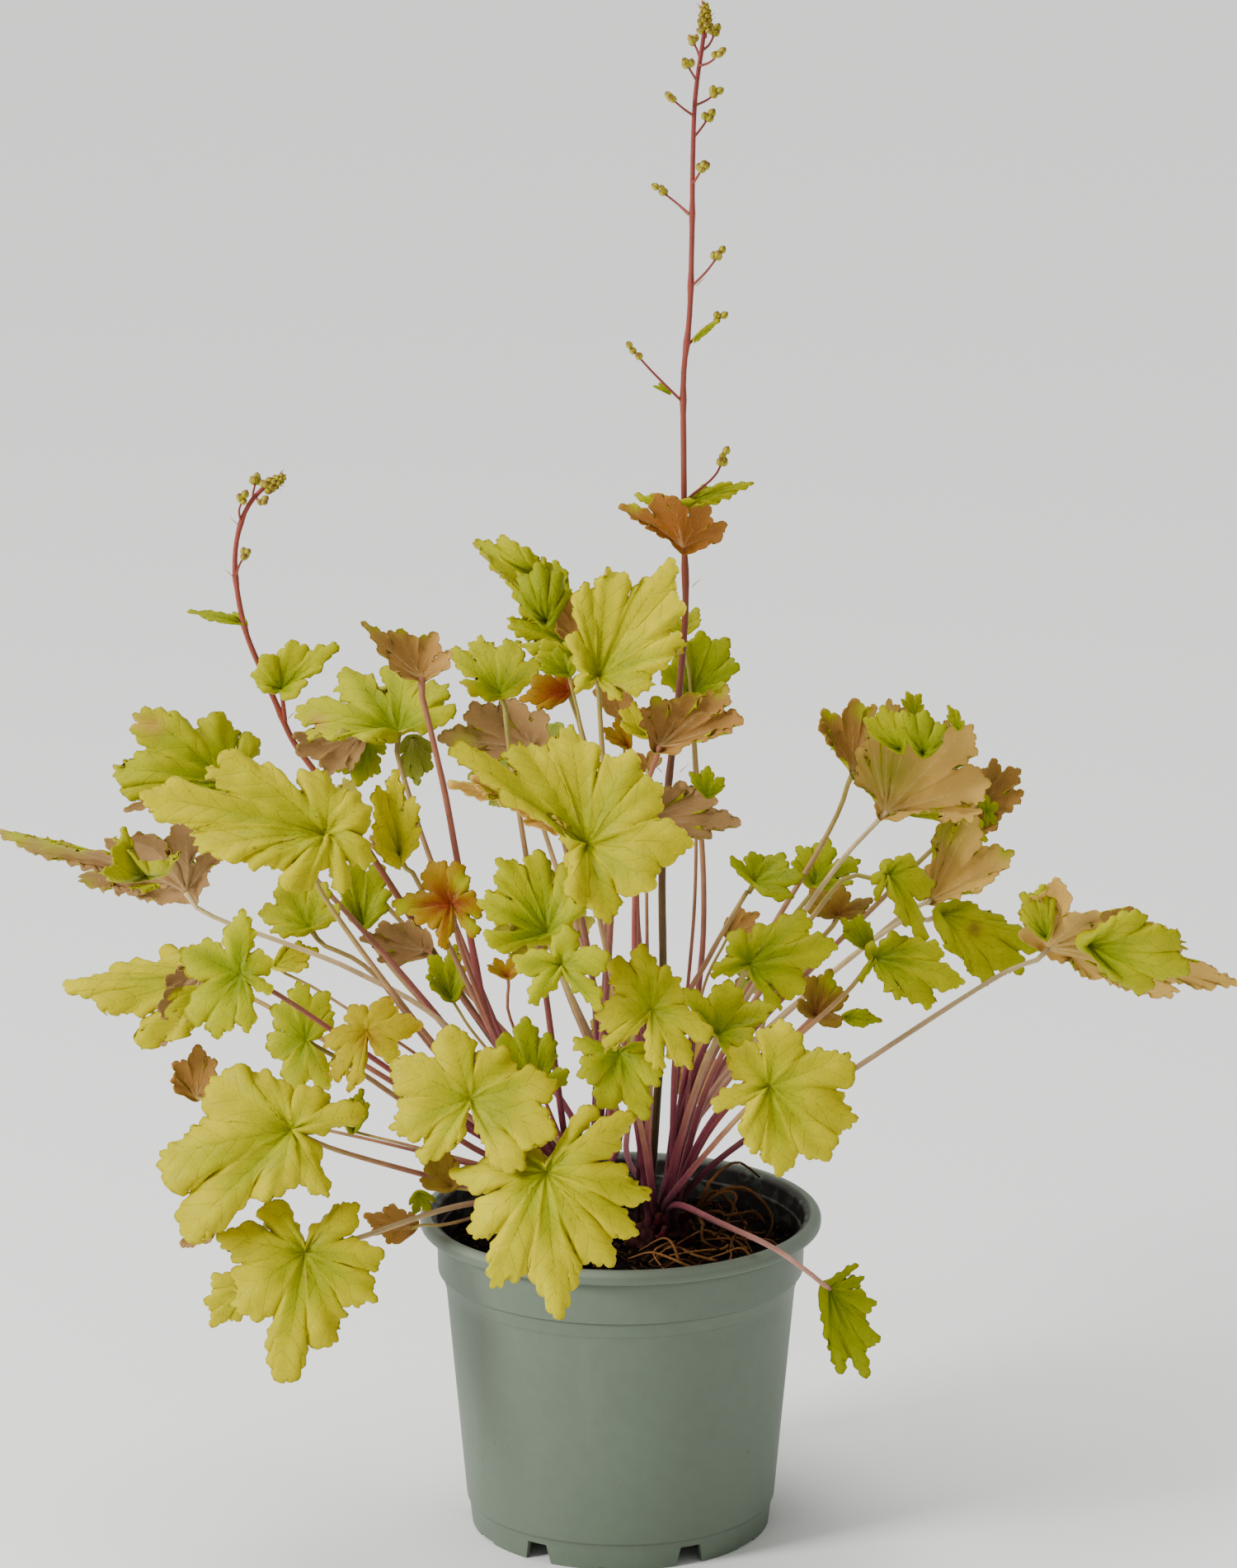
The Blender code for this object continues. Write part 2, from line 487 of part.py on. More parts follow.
# The flower stems: the route of each, its radius at foot and tip in millimetres, and its side
# branches, each from a place on the stem over a bend to a cluster of buds.
TALL_STEM = {
    "route": [(790, 1496, -28), (790, 1440, -28), (797, 1330, -28), (803, 1240, -20), (804, 1178, -12),
              (803, 1048, -2), (810, 956, 0),
              (823, 844, 0), (831, 742, 0), (830, 663, 0), (829, 550, 0), (829, 455, 0), (836, 384, 0),
              (839, 290, 0), (840, 200, 0), (842, 134, 0), (846, 92, 0), (851, 60, 0), (855, 30, 0)],
    "radii": (1.9, 0.9),
    "branches": [
        ((827, 487, 0), (790, 450, 6), (767, 424, 8)), ((836, 417, 0), (852, 400, -4), (871, 387, -5)),
        ((839, 347, 0), (856, 330, 5), (872, 309, 6)), ((839, 262, 0), (820, 246, -6), (801, 231, -8)),
        ((840, 223, 0), (846, 214, 4), (851, 205, 6)), ((841, 167, 0), (850, 156, -6), (859, 143, -8)),
        ((842, 141, 0), (829, 132, 5), (815, 120, 6)), ((843, 128, 0), (856, 122, -6), (866, 115, -8)),
        ((845, 98, 0), (840, 90, 4), (834, 80, 6)), ((848, 80, 0), (860, 76, 6), (871, 67, 8)),
        ((849, 72, 0), (846, 62, -4), (841, 52, -6)), ((851, 62, 0), (860, 54, -4), (867, 40, -6)),
        ((829, 609, 0), (866, 578, -6), (878, 553, -8)),
    ],
    "leafStalks": [("stemLeafLime", (829, 622, 0))],
    "head": [(855, 40, 0), (855, 3, 0)],
    "headRadius": 4.2,
}
LEFT_STEM = {
    "route": [(696, 1496, -31), (694, 1440, -31), (650, 1340, -38), (548, 1190, -46), (452, 1040, -52),
              (392, 950, -56),
              (356, 900, -58), (336, 856, -58), (316, 811, -58), (298, 766, -58), (287, 712, -58),
              (285, 675, -58), (289, 646, -58), (298, 619, -58), (311, 600, -58), (326, 587, -58)],
    "radii": (1.9, 1.0),
    "branches": [
        ((286, 700, -58), (290, 686, -54), (297, 674, -52)),
        ((293, 637, -58), (290, 620, -56), (294, 607, -55)),
        ((306, 609, -58), (307, 598, -62), (310, 585, -64)),
        ((310, 603, -58), (315, 610, -54), (318, 610, -52)),
    ],
    "leafStalks": [("leftStemLeaf", (346, 877, -58))],
    "head": [(320, 593, -58), (345, 578, -58)],
    "headRadius": 4.4,
    "bract": {
        "joint": (295, 757, -58), "shows": "top", "tone": "green", "swell": 0.03,
        "lobes": [(290, 744, 0), (264, 742, -3), (230, 741, -1), (262, 754, 3)],
    },
}
STEM_SAMPLES = 18
STEM_STALK_RADIUS = 0.9
STEM_HOLE_ROOM = 0.2
BRANCH_RADIUS = 0.75
BRANCH_TIP_RADIUS = 0.6
BRANCH_SAMPLES = 3
BUD_RADIUS = 1.7
BUD_SPREAD = 0.7
BUDS_IN_CLUSTER = 2

# Leaves that grow on the flower stems without a stalk of their own, written like the others.
STEM_LEAVES = {
    "stemLeafBrown": {
        "joint": (828, 664, 3.4), "shows": "under", "tone": "bronze", "swell": 0.05,
        "lobes": [(876, 648, 0), (858, 616, 6), (816, 602, 12), (798, 599, 8), (754, 613, 4),
                  (800, 652, 2)],
    },
    "stemLeafLime": {
        "joint": (836, 610, -5), "shows": "top", "tone": "lime", "swell": 0.05,
        "lobes": [(844, 596, -4), (876, 586, -8), (913, 586, -10), (886, 603, -2), (858, 613, 2)],
    },
    "leftStemLeaf": {
        "joint": (341, 836, -54), "shows": "top", "tone": "lime", "lift": 0.3, "swell": 0.06,
        "lobes": [(318, 838, 3), (306, 818, 2), (318, 796, 3), (356, 779, -2), (410, 783, -2),
                  (360, 843, 6)],
    },
}

# Dry brown roots that lie over the peat beside the crown.
DRY_ROOTS = [
    [(842, 1474, 4), (880, 1442, 2), (912, 1446, 4), (936, 1474, 8), (932, 1500, 16)],
    [(842, 1474, 4), (872, 1448, 10), (892, 1450, 12), (884, 1478, 18), (868, 1500, 24)],
    [(842, 1474, 4), (866, 1470, 14), (886, 1474, 22), (914, 1470, 22), (928, 1484, 24)],
    [(842, 1474, 4), (864, 1430, -10), (894, 1410, -18), (922, 1428, -14)],
    [(842, 1474, 4), (852, 1484, 20), (852, 1504, 34), (872, 1516, 38)],
    [(842, 1474, 4), (862, 1446, 0), (884, 1456, 4), (906, 1490, 14)],
]
ROOT_RADIUS = 1.0
ROOT_TIP_SHARE = 0.6
ROOT_SAMPLES = 8


def onSight(right, down, toward):
    """The place in metres that shows at this picture place when it stands this far toward the viewer."""
    ahead = Vector((0.0, math.cos(VIEW_PITCH), -math.sin(VIEW_PITCH)))
    upward = Vector((0.0, math.sin(VIEW_PITCH), math.cos(VIEW_PITCH)))
    sideways = Vector((1.0, 0.0, 0.0)) * ((right - FRAME_MIDDLE[0]) / FOCAL_POINTS)
    ray = ahead + sideways + upward * ((FRAME_MIDDLE[1] - down) / FOCAL_POINTS)
    return VIEWER + ray * ((-toward * MM - VIEWER.y) / ray.y)


def clearScene():
    for thing in list(bpy.data.objects):
        bpy.data.objects.remove(thing, do_unlink=True)


def newCollection(name):
    group = bpy.data.collections.new(name)
    bpy.context.scene.collection.children.link(group)
    return group


def makeMaterial(name, colour, roughness):
    material = bpy.data.materials.new(name)
    material.use_nodes = True
    shader = material.node_tree.nodes["Principled BSDF"]
    shader.inputs["Base Color"].default_value = (*colour, 1.0)
    shader.inputs["Roughness"].default_value = roughness
    material.diffuse_color = (*colour, 1.0)
    return material


def addObject(name, mesh, group, material=None):
    thing = bpy.data.objects.new(name, mesh)
    group.objects.link(thing)
    if material is not None:
        mesh.materials.clear()
        mesh.materials.append(material)
    return thing


def settle(thing):
    """Replaces the object's mesh by the one its modifiers give."""
    bpy.context.view_layer.update()
    shown = thing.evaluated_get(bpy.context.evaluated_depsgraph_get())
    mesh = bpy.data.meshes.new_from_object(shown)
    thing.modifiers.clear()
    thing.data = mesh
    return thing


def turned(name, profile, steps, group, material):
    """A solid of revolution about Z from (radius, height) pairs in millimetres, run down the outside."""
    shape = bmesh.new()
    corners = [shape.verts.new((radius * MM, 0.0, height * MM)) for radius, height in profile]
    for first, second in zip(corners, corners[1:]):
        shape.edges.new((first, second))
    mesh = bpy.data.meshes.new(name)
    shape.to_mesh(mesh)
    shape.free()
    thing = addObject(name, mesh, group, material)
    screw = thing.modifiers.new("Turn", "SCREW")
    screw.steps = steps
    screw.render_steps = steps
    screw.use_merge_vertices = True
    screw.merge_threshold = WELD
    return thing


def smoothRoute(places, samples):
    """Points evenly spread along a smooth curve through the places."""
    ends = [places[0] * 2 - places[1], *places, places[-1] * 2 - places[-2]]
    fine = []
    for a, b, c, d in zip(ends, ends[1:], ends[2:], ends[3:]):
        for step in range(ROUTE_STEPS):
            t = step / ROUTE_STEPS
            fine.append(0.5 * (2 * b + (c - a) * t + (2 * a - 5 * b + 4 * c - d) * t**2
                               + (3 * b - a - 3 * c + d) * t**3))
    fine.append(places[-1])
    lengths = [0.0]
    for first, second in zip(fine, fine[1:]):
        lengths.append(lengths[-1] + (second - first).length)
    route = []
    spot = 0
    for number in range(samples):
        wanted = lengths[-1] * number / (samples - 1)
        while spot < len(fine) - 2 and lengths[spot + 1] < wanted:
            spot += 1
        share = (wanted - lengths[spot]) / max(lengths[spot + 1] - lengths[spot], 1e-9)
        route.append(fine[spot].lerp(fine[spot + 1], min(share, 1.0)))
    return route


def tube(name, route, footRadius, tipRadius, group, resolution=1):
    """A tapering round stem with closed ends along the route, as a mesh. Radii in millimetres."""
    curve = bpy.data.curves.new(name, "CURVE")
    curve.dimensions = "3D"
    curve.bevel_depth = MM
    curve.bevel_resolution = resolution
    curve.use_fill_caps = True
    line = curve.splines.new("POLY")
    line.points.add(len(route) - 1)
    for number, place in enumerate(route):
        share = number / (len(route) - 1)
        line.points[number].co = (*place, 1.0)
        line.points[number].radius = footRadius + (tipRadius - footRadius) * share
    bent = bpy.data.objects.new(name, curve)
    group.objects.link(bent)
    bpy.context.view_layer.update()
    shown = bent.evaluated_get(bpy.context.evaluated_depsgraph_get())
    mesh = bpy.data.meshes.new_from_object(shown)
    bpy.data.objects.remove(bent, do_unlink=True)
    shape = bmesh.new()
    shape.from_mesh(mesh)
    bmesh.ops.remove_doubles(shape, verts=shape.verts, dist=WELD)
    bmesh.ops.recalc_face_normals(shape, faces=shape.faces)
    shape.to_mesh(mesh)
    shape.free()
    return addObject(name, mesh, group)


def dropSlivers(mesh):
    """Removes the loose chips, of a few corners each, that a union can leave where two skins just touch."""
    shape = bmesh.new()
    shape.from_mesh(mesh)
    unseen = set(shape.verts)
    bodies = []
    while unseen:
        body = [unseen.pop()]
        for corner in body:
            for edge in corner.link_edges:
                other = edge.other_vert(corner)
                if other in unseen:
                    unseen.remove(other)
                    body.append(other)
        bodies.append(body)
    bodies.sort(key=len)
    chips = [corner for body in bodies[:-1] for corner in body if len(body) < CHIP_CORNERS]
    bmesh.ops.delete(shape, geom=chips, context="VERTS")
    shape.to_mesh(mesh)
    shape.free()


def fuse(name, pieces, group, material):
    """One body from overlapping ones: a Boolean union of the first with all the others."""
    body = pieces[0]
    others = newCollection(name + "Pieces")
    for piece in pieces[1:]:
        for holder in list(piece.users_collection):
            holder.objects.unlink(piece)
        others.objects.link(piece)
    union = body.modifiers.new("Union", "BOOLEAN")
    union.operation = "UNION"
    union.operand_type = "COLLECTION"
    union.collection = others
    union.solver = "MANIFOLD"
    settle(body)
    for piece in list(others.objects):
        bpy.data.objects.remove(piece, do_unlink=True)
    bpy.data.collections.remove(others)
    dropSlivers(body.data)
    body.name = name
    body.data.name = name
    body.data.materials.clear()
    body.data.materials.append(material)
    for holder in list(body.users_collection):
        holder.objects.unlink(body)
    group.objects.link(body)
    return body


def lobePlaces(leaf):
    """The joint, and the way from it to each lobe tip, in metres."""
    right, down, toward = leaf["joint"]
    joint = onSight(right, down, toward)
    tips = [onSight(x, y, toward + ahead) - joint for x, y, ahead in leaf["lobes"]]
    return joint, tips


def upperNormal(leaf, tips):
    """The way that the blade's upper face looks."""
    normal = Vector()
    for first, second in zip(tips, tips[1:]):
        normal += first.cross(second)
    normal.normalize()
    faces = normal.dot(VIEWER.normalized()) > 0
    if faces != (leaf["shows"] == "top"):
        normal.negate()
    return normal


def sinuses(tips, openness):
    """The way from the joint to the bottom of each notch between lobes, the first at the stalk.
    An openness under 1 cuts the notches deeper."""
    spread = [math.degrees(one.angle(other)) for one, other in zip(tips, tips[1:])]
    if sum(spread) > WRAPPED_SPREAD:
        notches = [(tips[0] + tips[-1]) * (0.5 * STALK_SINUS)]
    else:
        notches = [sum(tips, Vector()) / len(tips) * -STALK_SINUS]
    for one, other, apart in zip(tips, tips[1:], spread):
        share = max(DEEPEST_SINUS, CLOSE_SINUS - SINUS_LOSS_PER_DEGREE * apart) * openness
        notches.append((one + other) * 0.5 * share)
    return notches


def bladeSurface(leaf):
    """The open surface of a lobed blade: the joint, a middle ring that swells, and the margin.
    Returns the points and the triangles, the latter turned so that they look to the upper face."""
    joint, tips = lobePlaces(leaf)
    normal = upperNormal(leaf, tips)
    notches = sinuses(tips, leaf.get("openness", 1.0))
    swell = normal * (max(tip.length for tip in tips) * leaf["swell"])
    inner = []
    margin = []
    for number, tip in enumerate(tips):
        start = notches[number]
        end = notches[(number + 1) % len(notches)]
        middle = (start + end) * 0.5
        across = (end - start) * (0.5 * LOBE_WIDTH)
        shoulder = middle + (tip - middle) * LOBE_SHOULDER
        inner.append(tip * MID_RING + swell)
        margin += [start, shoulder - across, tip, shoulder + across]
    points = [Vector()] + inner + margin
    count = len(inner)
    outer = 1 + count
    triangles = []
    for number in range(count):
        here = 1 + number
        rim = [outer + (4 * number + step) % len(margin) for step in range(5)]
        triangles += [(here, first, second) for first, second in zip(rim, rim[1:])]
        if number < count - 1:
            triangles += [(0, here, here + 1), (here, rim[4], here + 1)]
    triangles += [(0, outer, 1), (0, count, outer)]
    if (tips[0].cross(tips[1]) + tips[1].cross(tips[2])).dot(normal) < 0:
        triangles = [corners[::-1] for corners in triangles]
    return [joint + point for point in points], triangles


def blade(name, leaf, group, material=None):
    """A leaf blade with its thickness."""
    points, triangles = bladeSurface(leaf)
    mesh = bpy.data.meshes.new(name)
    mesh.from_pydata(points, [], triangles)
    mesh.validate()
    thing = addObject(name, mesh, group, material)
    shell = thing.modifiers.new("Thickness", "SOLIDIFY")
    shell.thickness = BLADE * MM
    shell.offset = 0.0
    return thing


def crownStart(leaf):
    """Where the leaf's stalk leaves the crown: on the head nearer to its side, turned its way."""
    nearest = onSight(*leaf["via"][-1])
    place, radius = CROWN_PLACE, CROWN_RADIUS
    if nearest.x < 0.0:
        place, radius = SIDE_HEAD_PLACE, SIDE_HEAD_RADIUS
    middle = Vector((place[0] * MM, place[1] * MM, CROWN_TOP * MM))
    outward = nearest - middle
    outward.z = 0.0
    outward.normalize()
    return middle + outward * (radius * STALK_RING_SHARE * MM)


def stalkTop(leaf, cameFrom, radius):
    """The last two places of a stalk that comes from cameFrom: its neck, and its end close to the blade."""
    joint, tips = lobePlaces(leaf)
    normal = upperNormal(leaf, tips)
    away = (cameFrom - joint).normalized()
    side = normal if away.dot(normal) > UPPER_SIDE else -normal
    dip = max(0.0, side.dot(tips[0]), side.dot(tips[-1])) * NECK_DIP_SHARE
    bend = away * (NECK_REACH * MM) + side * (NECK_DROP * MM + dip)
    slant = bend.normalized().cross(normal).length
    end = joint + side * ((BLADE * 0.5 + STALK_GAP + leaf.get("lift", 0.0) + radius * slant) * MM)
    return [end + bend, end]


def stalkRoute(leaf, joined):
    """The stalk's route from the crown to just under the joint of its blade, or into it if they are one."""
    start = crownStart(leaf)
    deep = start - Vector((0.0, 0.0, STALK_ROOT * MM))
    vias = [onSight(*place) for place in reversed(leaf["via"])]
    neck, end = stalkTop(leaf, vias[-1], STALK_TIP_RADIUS)
    if joined:
        end = onSight(*leaf["joint"])
    return smoothRoute([deep, start, *vias, neck], STALK_SAMPLES) + [end]


def crownHead(name, place, radius, group):
    """A round head of the crown with a low dome, standing in the peat."""
    profile = [(0, CROWN_TOP + CROWN_DOME), (radius * 0.6, CROWN_TOP), (radius, CROWN_TOP - CROWN_EDGE),
               (radius, CROWN_FOOT), (0, CROWN_FOOT)]
    head = turned(name, profile, CROWN_STEPS, group, None)
    head.location = (place[0] * MM, place[1] * MM, 0.0)
    return settle(head)


def buildStalks(group, material):
    """The woody crown with every leaf stalk and the small young leaves, as one body."""
    pieces = [crownHead("crown", CROWN_PLACE, CROWN_RADIUS, group),
              crownHead("sideHead", SIDE_HEAD_PLACE, SIDE_HEAD_RADIUS, group)]
    height = SOIL_TOP + SOIL_MOUND + CLEAR + ROOTSTOCK_RADIUS
    ends = [Vector((x, y, height)) * MM for x, y in (CROWN_PLACE, SIDE_HEAD_PLACE)]
    pieces.append(tube("rootstock", ends, ROOTSTOCK_RADIUS, ROOTSTOCK_RADIUS, group))
    for name, leaf in {**LEAVES, **YOUNG_LEAVES}.items():
        joined = name in YOUNG_LEAVES
        size = leaf.get("foot", THIN_STALK_SHARE if joined else 1.0)
        route = stalkRoute(leaf, joined)
        radii = (STALK_FOOT_RADIUS * size, STALK_TIP_RADIUS * size)
        pieces.append(tube(name + "Stalk", route, *radii, group, 0))
        if joined:
            pieces.append(settle(blade(name, leaf, group)))
    return fuse("crown_and_stalks", pieces, group, material)


def buds(name, middle, chance, group):
    """A cluster of small round buds about a place."""
    found = []
    for number in range(BUDS_IN_CLUSTER):
        away = Vector((chance.uniform(-1, 1), chance.uniform(-1, 1), chance.uniform(-0.6, 1)))
        place = middle + away * (BUD_SPREAD * MM)
        shape = bmesh.new()
        bmesh.ops.create_icosphere(shape, subdivisions=1, radius=BUD_RADIUS * MM)
        bmesh.ops.translate(shape, verts=shape.verts, vec=place)
        mesh = bpy.data.meshes.new(f"{name}{number}")
        shape.to_mesh(mesh)
        shape.free()
        found.append(addObject(f"{name}{number}", mesh, group))
    return found


def buildFlowerStem(name, stem, seed, group, material):
    """A flower stem with its side branches and buds, as one body."""
    chance = random.Random(seed)
    route = smoothRoute([onSight(*place) for place in stem["route"]], STEM_SAMPLES)
    pieces = [tube(name, route, *stem["radii"], group)]
    for number, branch in enumerate(stem["branches"]):
        places = smoothRoute([onSight(*place) for place in branch], BRANCH_SAMPLES)
        pieces.append(tube(f"branch{number}", places, BRANCH_RADIUS, BRANCH_TIP_RADIUS, group, 0))
        pieces += buds(f"bud{number}x", places[-1], chance, group)
    for leafName, start in stem["leafStalks"]:
        leaf = STEM_LEAVES[leafName]
        places = [onSight(*start), *stalkTop(leaf, onSight(*start), STEM_STALK_RADIUS)]
        pieces.append(tube(leafName + "Stalk", places, STEM_STALK_RADIUS, STEM_STALK_RADIUS, group))
    if "bract" in stem:
        pieces.append(settle(blade("bract", stem["bract"], group)))
    foot, tip = (onSight(*place) for place in stem["head"])
    shape = bmesh.new()
    bmesh.ops.create_icosphere(shape, subdivisions=2, radius=1.0)
    length = (tip - foot).length
    turn = Vector((0, 0, 1)).rotation_difference(tip - foot).to_matrix().to_4x4()
    size = Matrix.Diagonal((stem["headRadius"] * MM, stem["headRadius"] * MM, length * 0.5, 1.0))
    bmesh.ops.transform(shape, verts=shape.verts, matrix=Matrix.Translation((foot + tip) * 0.5) @ turn @ size)
    mesh = bpy.data.meshes.new("head")
    shape.to_mesh(mesh)
    shape.free()
    pieces.append(addObject("head", mesh, group))
    return fuse(name, pieces, group, material)


def buildRoots(group, material):
    pieces = []
    for number, places in enumerate(DRY_ROOTS):
        route = smoothRoute([onSight(*place) for place in places], ROOT_SAMPLES)
        pieces.append(tube(f"root{number}", route, ROOT_RADIUS, ROOT_RADIUS * ROOT_TIP_SHARE, group))
    return fuse("dry_roots", pieces, group, material)


def potProfile():
    """The pot's section from the middle of its floor, up the inside, over the lip and down the outside."""
    innerFoot = WALL_FOOT_RADIUS - WALL
    innerShoulder = SHOULDER_RADIUS - WALL
    innerCollar = COLLAR_RADIUS - WALL
    return [
        (0, FLOOR_TOP), (innerFoot - 3, FLOOR_TOP), (innerFoot, FLOOR_TOP + 3),
        (innerShoulder, SHOULDER_HEIGHT), (innerCollar - 0.5, COLLAR_BOTTOM), (innerCollar, LIP_BOTTOM),
        (innerCollar + 1.2, POT_HEIGHT - 1.6), (innerCollar + 3.2, POT_HEIGHT),
        (LIP_RADIUS - 1.8, POT_HEIGHT), (LIP_RADIUS, POT_HEIGHT - 1.7),
        (LIP_RADIUS, LIP_BOTTOM + 1.2), (LIP_RADIUS - 1.0, LIP_BOTTOM),
        (COLLAR_RADIUS, LIP_BOTTOM), (COLLAR_RADIUS - 0.5, COLLAR_BOTTOM), (SHOULDER_RADIUS, SHOULDER_HEIGHT),
        (WALL_FOOT_RADIUS, 12.0), (FOOT_RADIUS + 1.0, FLOOR_UNDER), (FOOT_RADIUS, 0),
        (FOOT_RADIUS - 2.0, 0), (FOOT_RADIUS - 1.4, FLOOR_UNDER), (0, FLOOR_UNDER),
    ]


def buildPot(group, cutters, material):
    pot = turned("pot", potProfile(), POT_STEPS, group, material)
    for number in range(FOOT_COUNT):
        turn = FIRST_GAP + number * 2 * math.pi / FOOT_COUNT
        facing = Vector((math.sin(turn), -math.cos(turn), 0.0))
        notch = bmesh.new()
        bmesh.ops.create_cube(notch, size=1.0)
        for corner in notch.verts:
            width = GAP_WIDTH - (GAP_SLOPE * 2 if corner.co.z > 0 else 0)
            height = FLOOR_UNDER - GAP_ROOM_OVER if corner.co.z > 0 else -1.0
            corner.co = Vector((corner.co.x * width, corner.co.y * GAP_DEPTH, height)) * MM
        cut = addObject(f"gap{number}", bpy.data.meshes.new("gap"), cutters)
        notch.to_mesh(cut.data)
        notch.free()
        cut.location = facing * (FOOT_RADIUS * MM)
        cut.rotation_euler = (0.0, 0.0, turn)
        drain = bmesh.new()
        bmesh.ops.create_cone(drain, cap_ends=True, segments=DRAIN_SIDES, radius1=DRAIN_RADIUS * MM,
                              radius2=DRAIN_RADIUS * MM, depth=DRAIN_DEPTH * MM)
        hole = addObject(f"drain{number}", bpy.data.meshes.new("drain"), cutters)
        drain.to_mesh(hole.data)
        drain.free()
        hole.location = facing * (DRAIN_CIRCLE * MM) + Vector((0, 0, (FLOOR_UNDER + FLOOR_TOP) * 0.5 * MM))
    difference = pot.modifiers.new("Gaps", "BOOLEAN")
    difference.operand_type = "COLLECTION"
    difference.collection = cutters
    hideCutters(cutters)
    return pot


def hideCutters(cutters):
    for cut in cutters.objects:
        cut.hide_render = True
        cut.display_type = "WIRE"


def buildSoil(group, cutters, material):
    """The peat, 0.35 mm clear of the pot, with plain holes where the crown and the stems stand."""
    innerFoot = WALL_FOOT_RADIUS - WALL - CLEAR
    innerShoulder = SHOULDER_RADIUS - WALL - CLEAR
    innerCollar = COLLAR_RADIUS - WALL - 0.5 - CLEAR
    profile = [
        (0, SOIL_TOP + SOIL_MOUND), (26, SOIL_TOP + SOIL_MOUND * 0.8), (52, SOIL_TOP + SOIL_MOUND * 0.3),
        (innerCollar, SOIL_TOP), (innerCollar, COLLAR_BOTTOM + 0.6), (innerShoulder, SHOULDER_HEIGHT),
        (innerFoot, FLOOR_TOP + 3 + CLEAR), (innerFoot - 3, FLOOR_TOP + CLEAR), (0, FLOOR_TOP + CLEAR),
    ]
    soil = turned("soil", profile, POT_STEPS, group, material)
    stands = [(CROWN_PLACE, CROWN_RADIUS, CROWN_FOOT), (SIDE_HEAD_PLACE, SIDE_HEAD_RADIUS, CROWN_FOOT)]
    for stem in (TALL_STEM, LEFT_STEM):
        foot = onSight(*stem["route"][0])
        stands.append(((foot.x / MM, foot.y / MM), stem["radii"][0] + STEM_HOLE_ROOM, foot.z / MM))
    for number, ((x, y), radius, foot) in enumerate(stands):
        hole = bmesh.new()
        bmesh.ops.create_cone(hole, cap_ends=True, segments=STAND_SIDES, radius1=(radius + STAND_CLEAR) * MM,
                              radius2=(radius + STAND_CLEAR) * MM, depth=STAND_DEPTH * MM)
        cut = addObject(f"stand{number}", bpy.data.meshes.new("stand"), cutters)
        hole.to_mesh(cut.data)
        hole.free()
        cut.location = (x * MM, y * MM, (foot - CLEAR + STAND_DEPTH * 0.5) * MM)
    difference = soil.modifiers.new("Stands", "BOOLEAN")
    difference.operand_type = "COLLECTION"
    difference.collection = cutters
    hideCutters(cutters)
    return soil


def main():
    clearScene()
    plant = newCollection("potted_heuchera")
    plastic = makeMaterial("pot_plastic", (0.20, 0.26, 0.19), 0.55)
    peat = makeMaterial("peat", (0.03, 0.018, 0.01), 0.95)
    stalk = makeMaterial("stalk", (0.38, 0.14, 0.12), 0.6)
    stem = makeMaterial("flower_stem", (0.36, 0.12, 0.10), 0.6)
    root = makeMaterial("dry_root", (0.30, 0.17, 0.07), 0.9)
    tones = {tone: makeMaterial("leaf_" + tone, colour, 0.55) for tone, colour in TONES.items()}
    buildStalks(plant, stalk)
    buildFlowerStem("tall_stem", TALL_STEM, 3, plant, stem)
    buildFlowerStem("left_stem", LEFT_STEM, 5, plant, stem)
    buildRoots(plant, root)
    for name, leaf in {**LEAVES, **STEM_LEAVES}.items():
        blade(name, leaf, plant, tones[leaf["tone"]])
    buildPot(plant, newCollection("pot_cutters"), plastic)
    buildSoil(plant, newCollection("soil_cutters"), peat)


main()
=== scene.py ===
import json
import math
import random
from types import SimpleNamespace

import bmesh
import bpy
import numpy as np
from mathutils import Matrix, Vector, noise

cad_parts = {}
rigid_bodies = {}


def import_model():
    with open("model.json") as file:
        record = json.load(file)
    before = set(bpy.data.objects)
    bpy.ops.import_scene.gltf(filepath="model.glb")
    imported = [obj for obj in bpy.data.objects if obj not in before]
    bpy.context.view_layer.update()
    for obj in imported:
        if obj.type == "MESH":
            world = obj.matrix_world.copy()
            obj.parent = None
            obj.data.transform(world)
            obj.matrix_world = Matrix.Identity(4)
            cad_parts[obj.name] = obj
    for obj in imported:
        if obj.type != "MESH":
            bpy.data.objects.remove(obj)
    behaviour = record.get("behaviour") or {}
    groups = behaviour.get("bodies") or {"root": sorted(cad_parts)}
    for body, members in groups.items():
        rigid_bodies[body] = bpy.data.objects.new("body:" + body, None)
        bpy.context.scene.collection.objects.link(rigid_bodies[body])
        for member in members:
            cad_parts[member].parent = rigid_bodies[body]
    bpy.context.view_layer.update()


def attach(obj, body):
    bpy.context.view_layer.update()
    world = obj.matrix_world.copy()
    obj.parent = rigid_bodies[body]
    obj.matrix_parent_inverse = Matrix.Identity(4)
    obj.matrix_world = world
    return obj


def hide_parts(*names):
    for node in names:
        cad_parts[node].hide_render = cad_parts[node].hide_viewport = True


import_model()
mm = 0.001

# where the picture was taken from: picture points on a frame of 1500 by 1902
viewer = {
    "frameMiddle": (750.0, 951.0),
    "focalPoints": 6500.0,
    "place": Vector((-0.0009, -2.1661, 0.8346)),
    "pitch": math.radians(13.3),
    "longSide": 1902.0,
}


def onSight(right, down, toward):
    # (right, down) counts picture points, toward counts millimetres from the pot's axis to the viewer
    ahead = Vector((0.0, math.cos(viewer["pitch"]), -math.sin(viewer["pitch"])))
    upward = Vector((0.0, math.sin(viewer["pitch"]), math.cos(viewer["pitch"])))
    ray = ahead + upward * ((viewer["frameMiddle"][1] - down) / viewer["focalPoints"])
    ray.x = (right - viewer["frameMiddle"][0]) / viewer["focalPoints"]
    return viewer["place"] + ray * ((-toward * mm - viewer["place"].y) / ray.y)


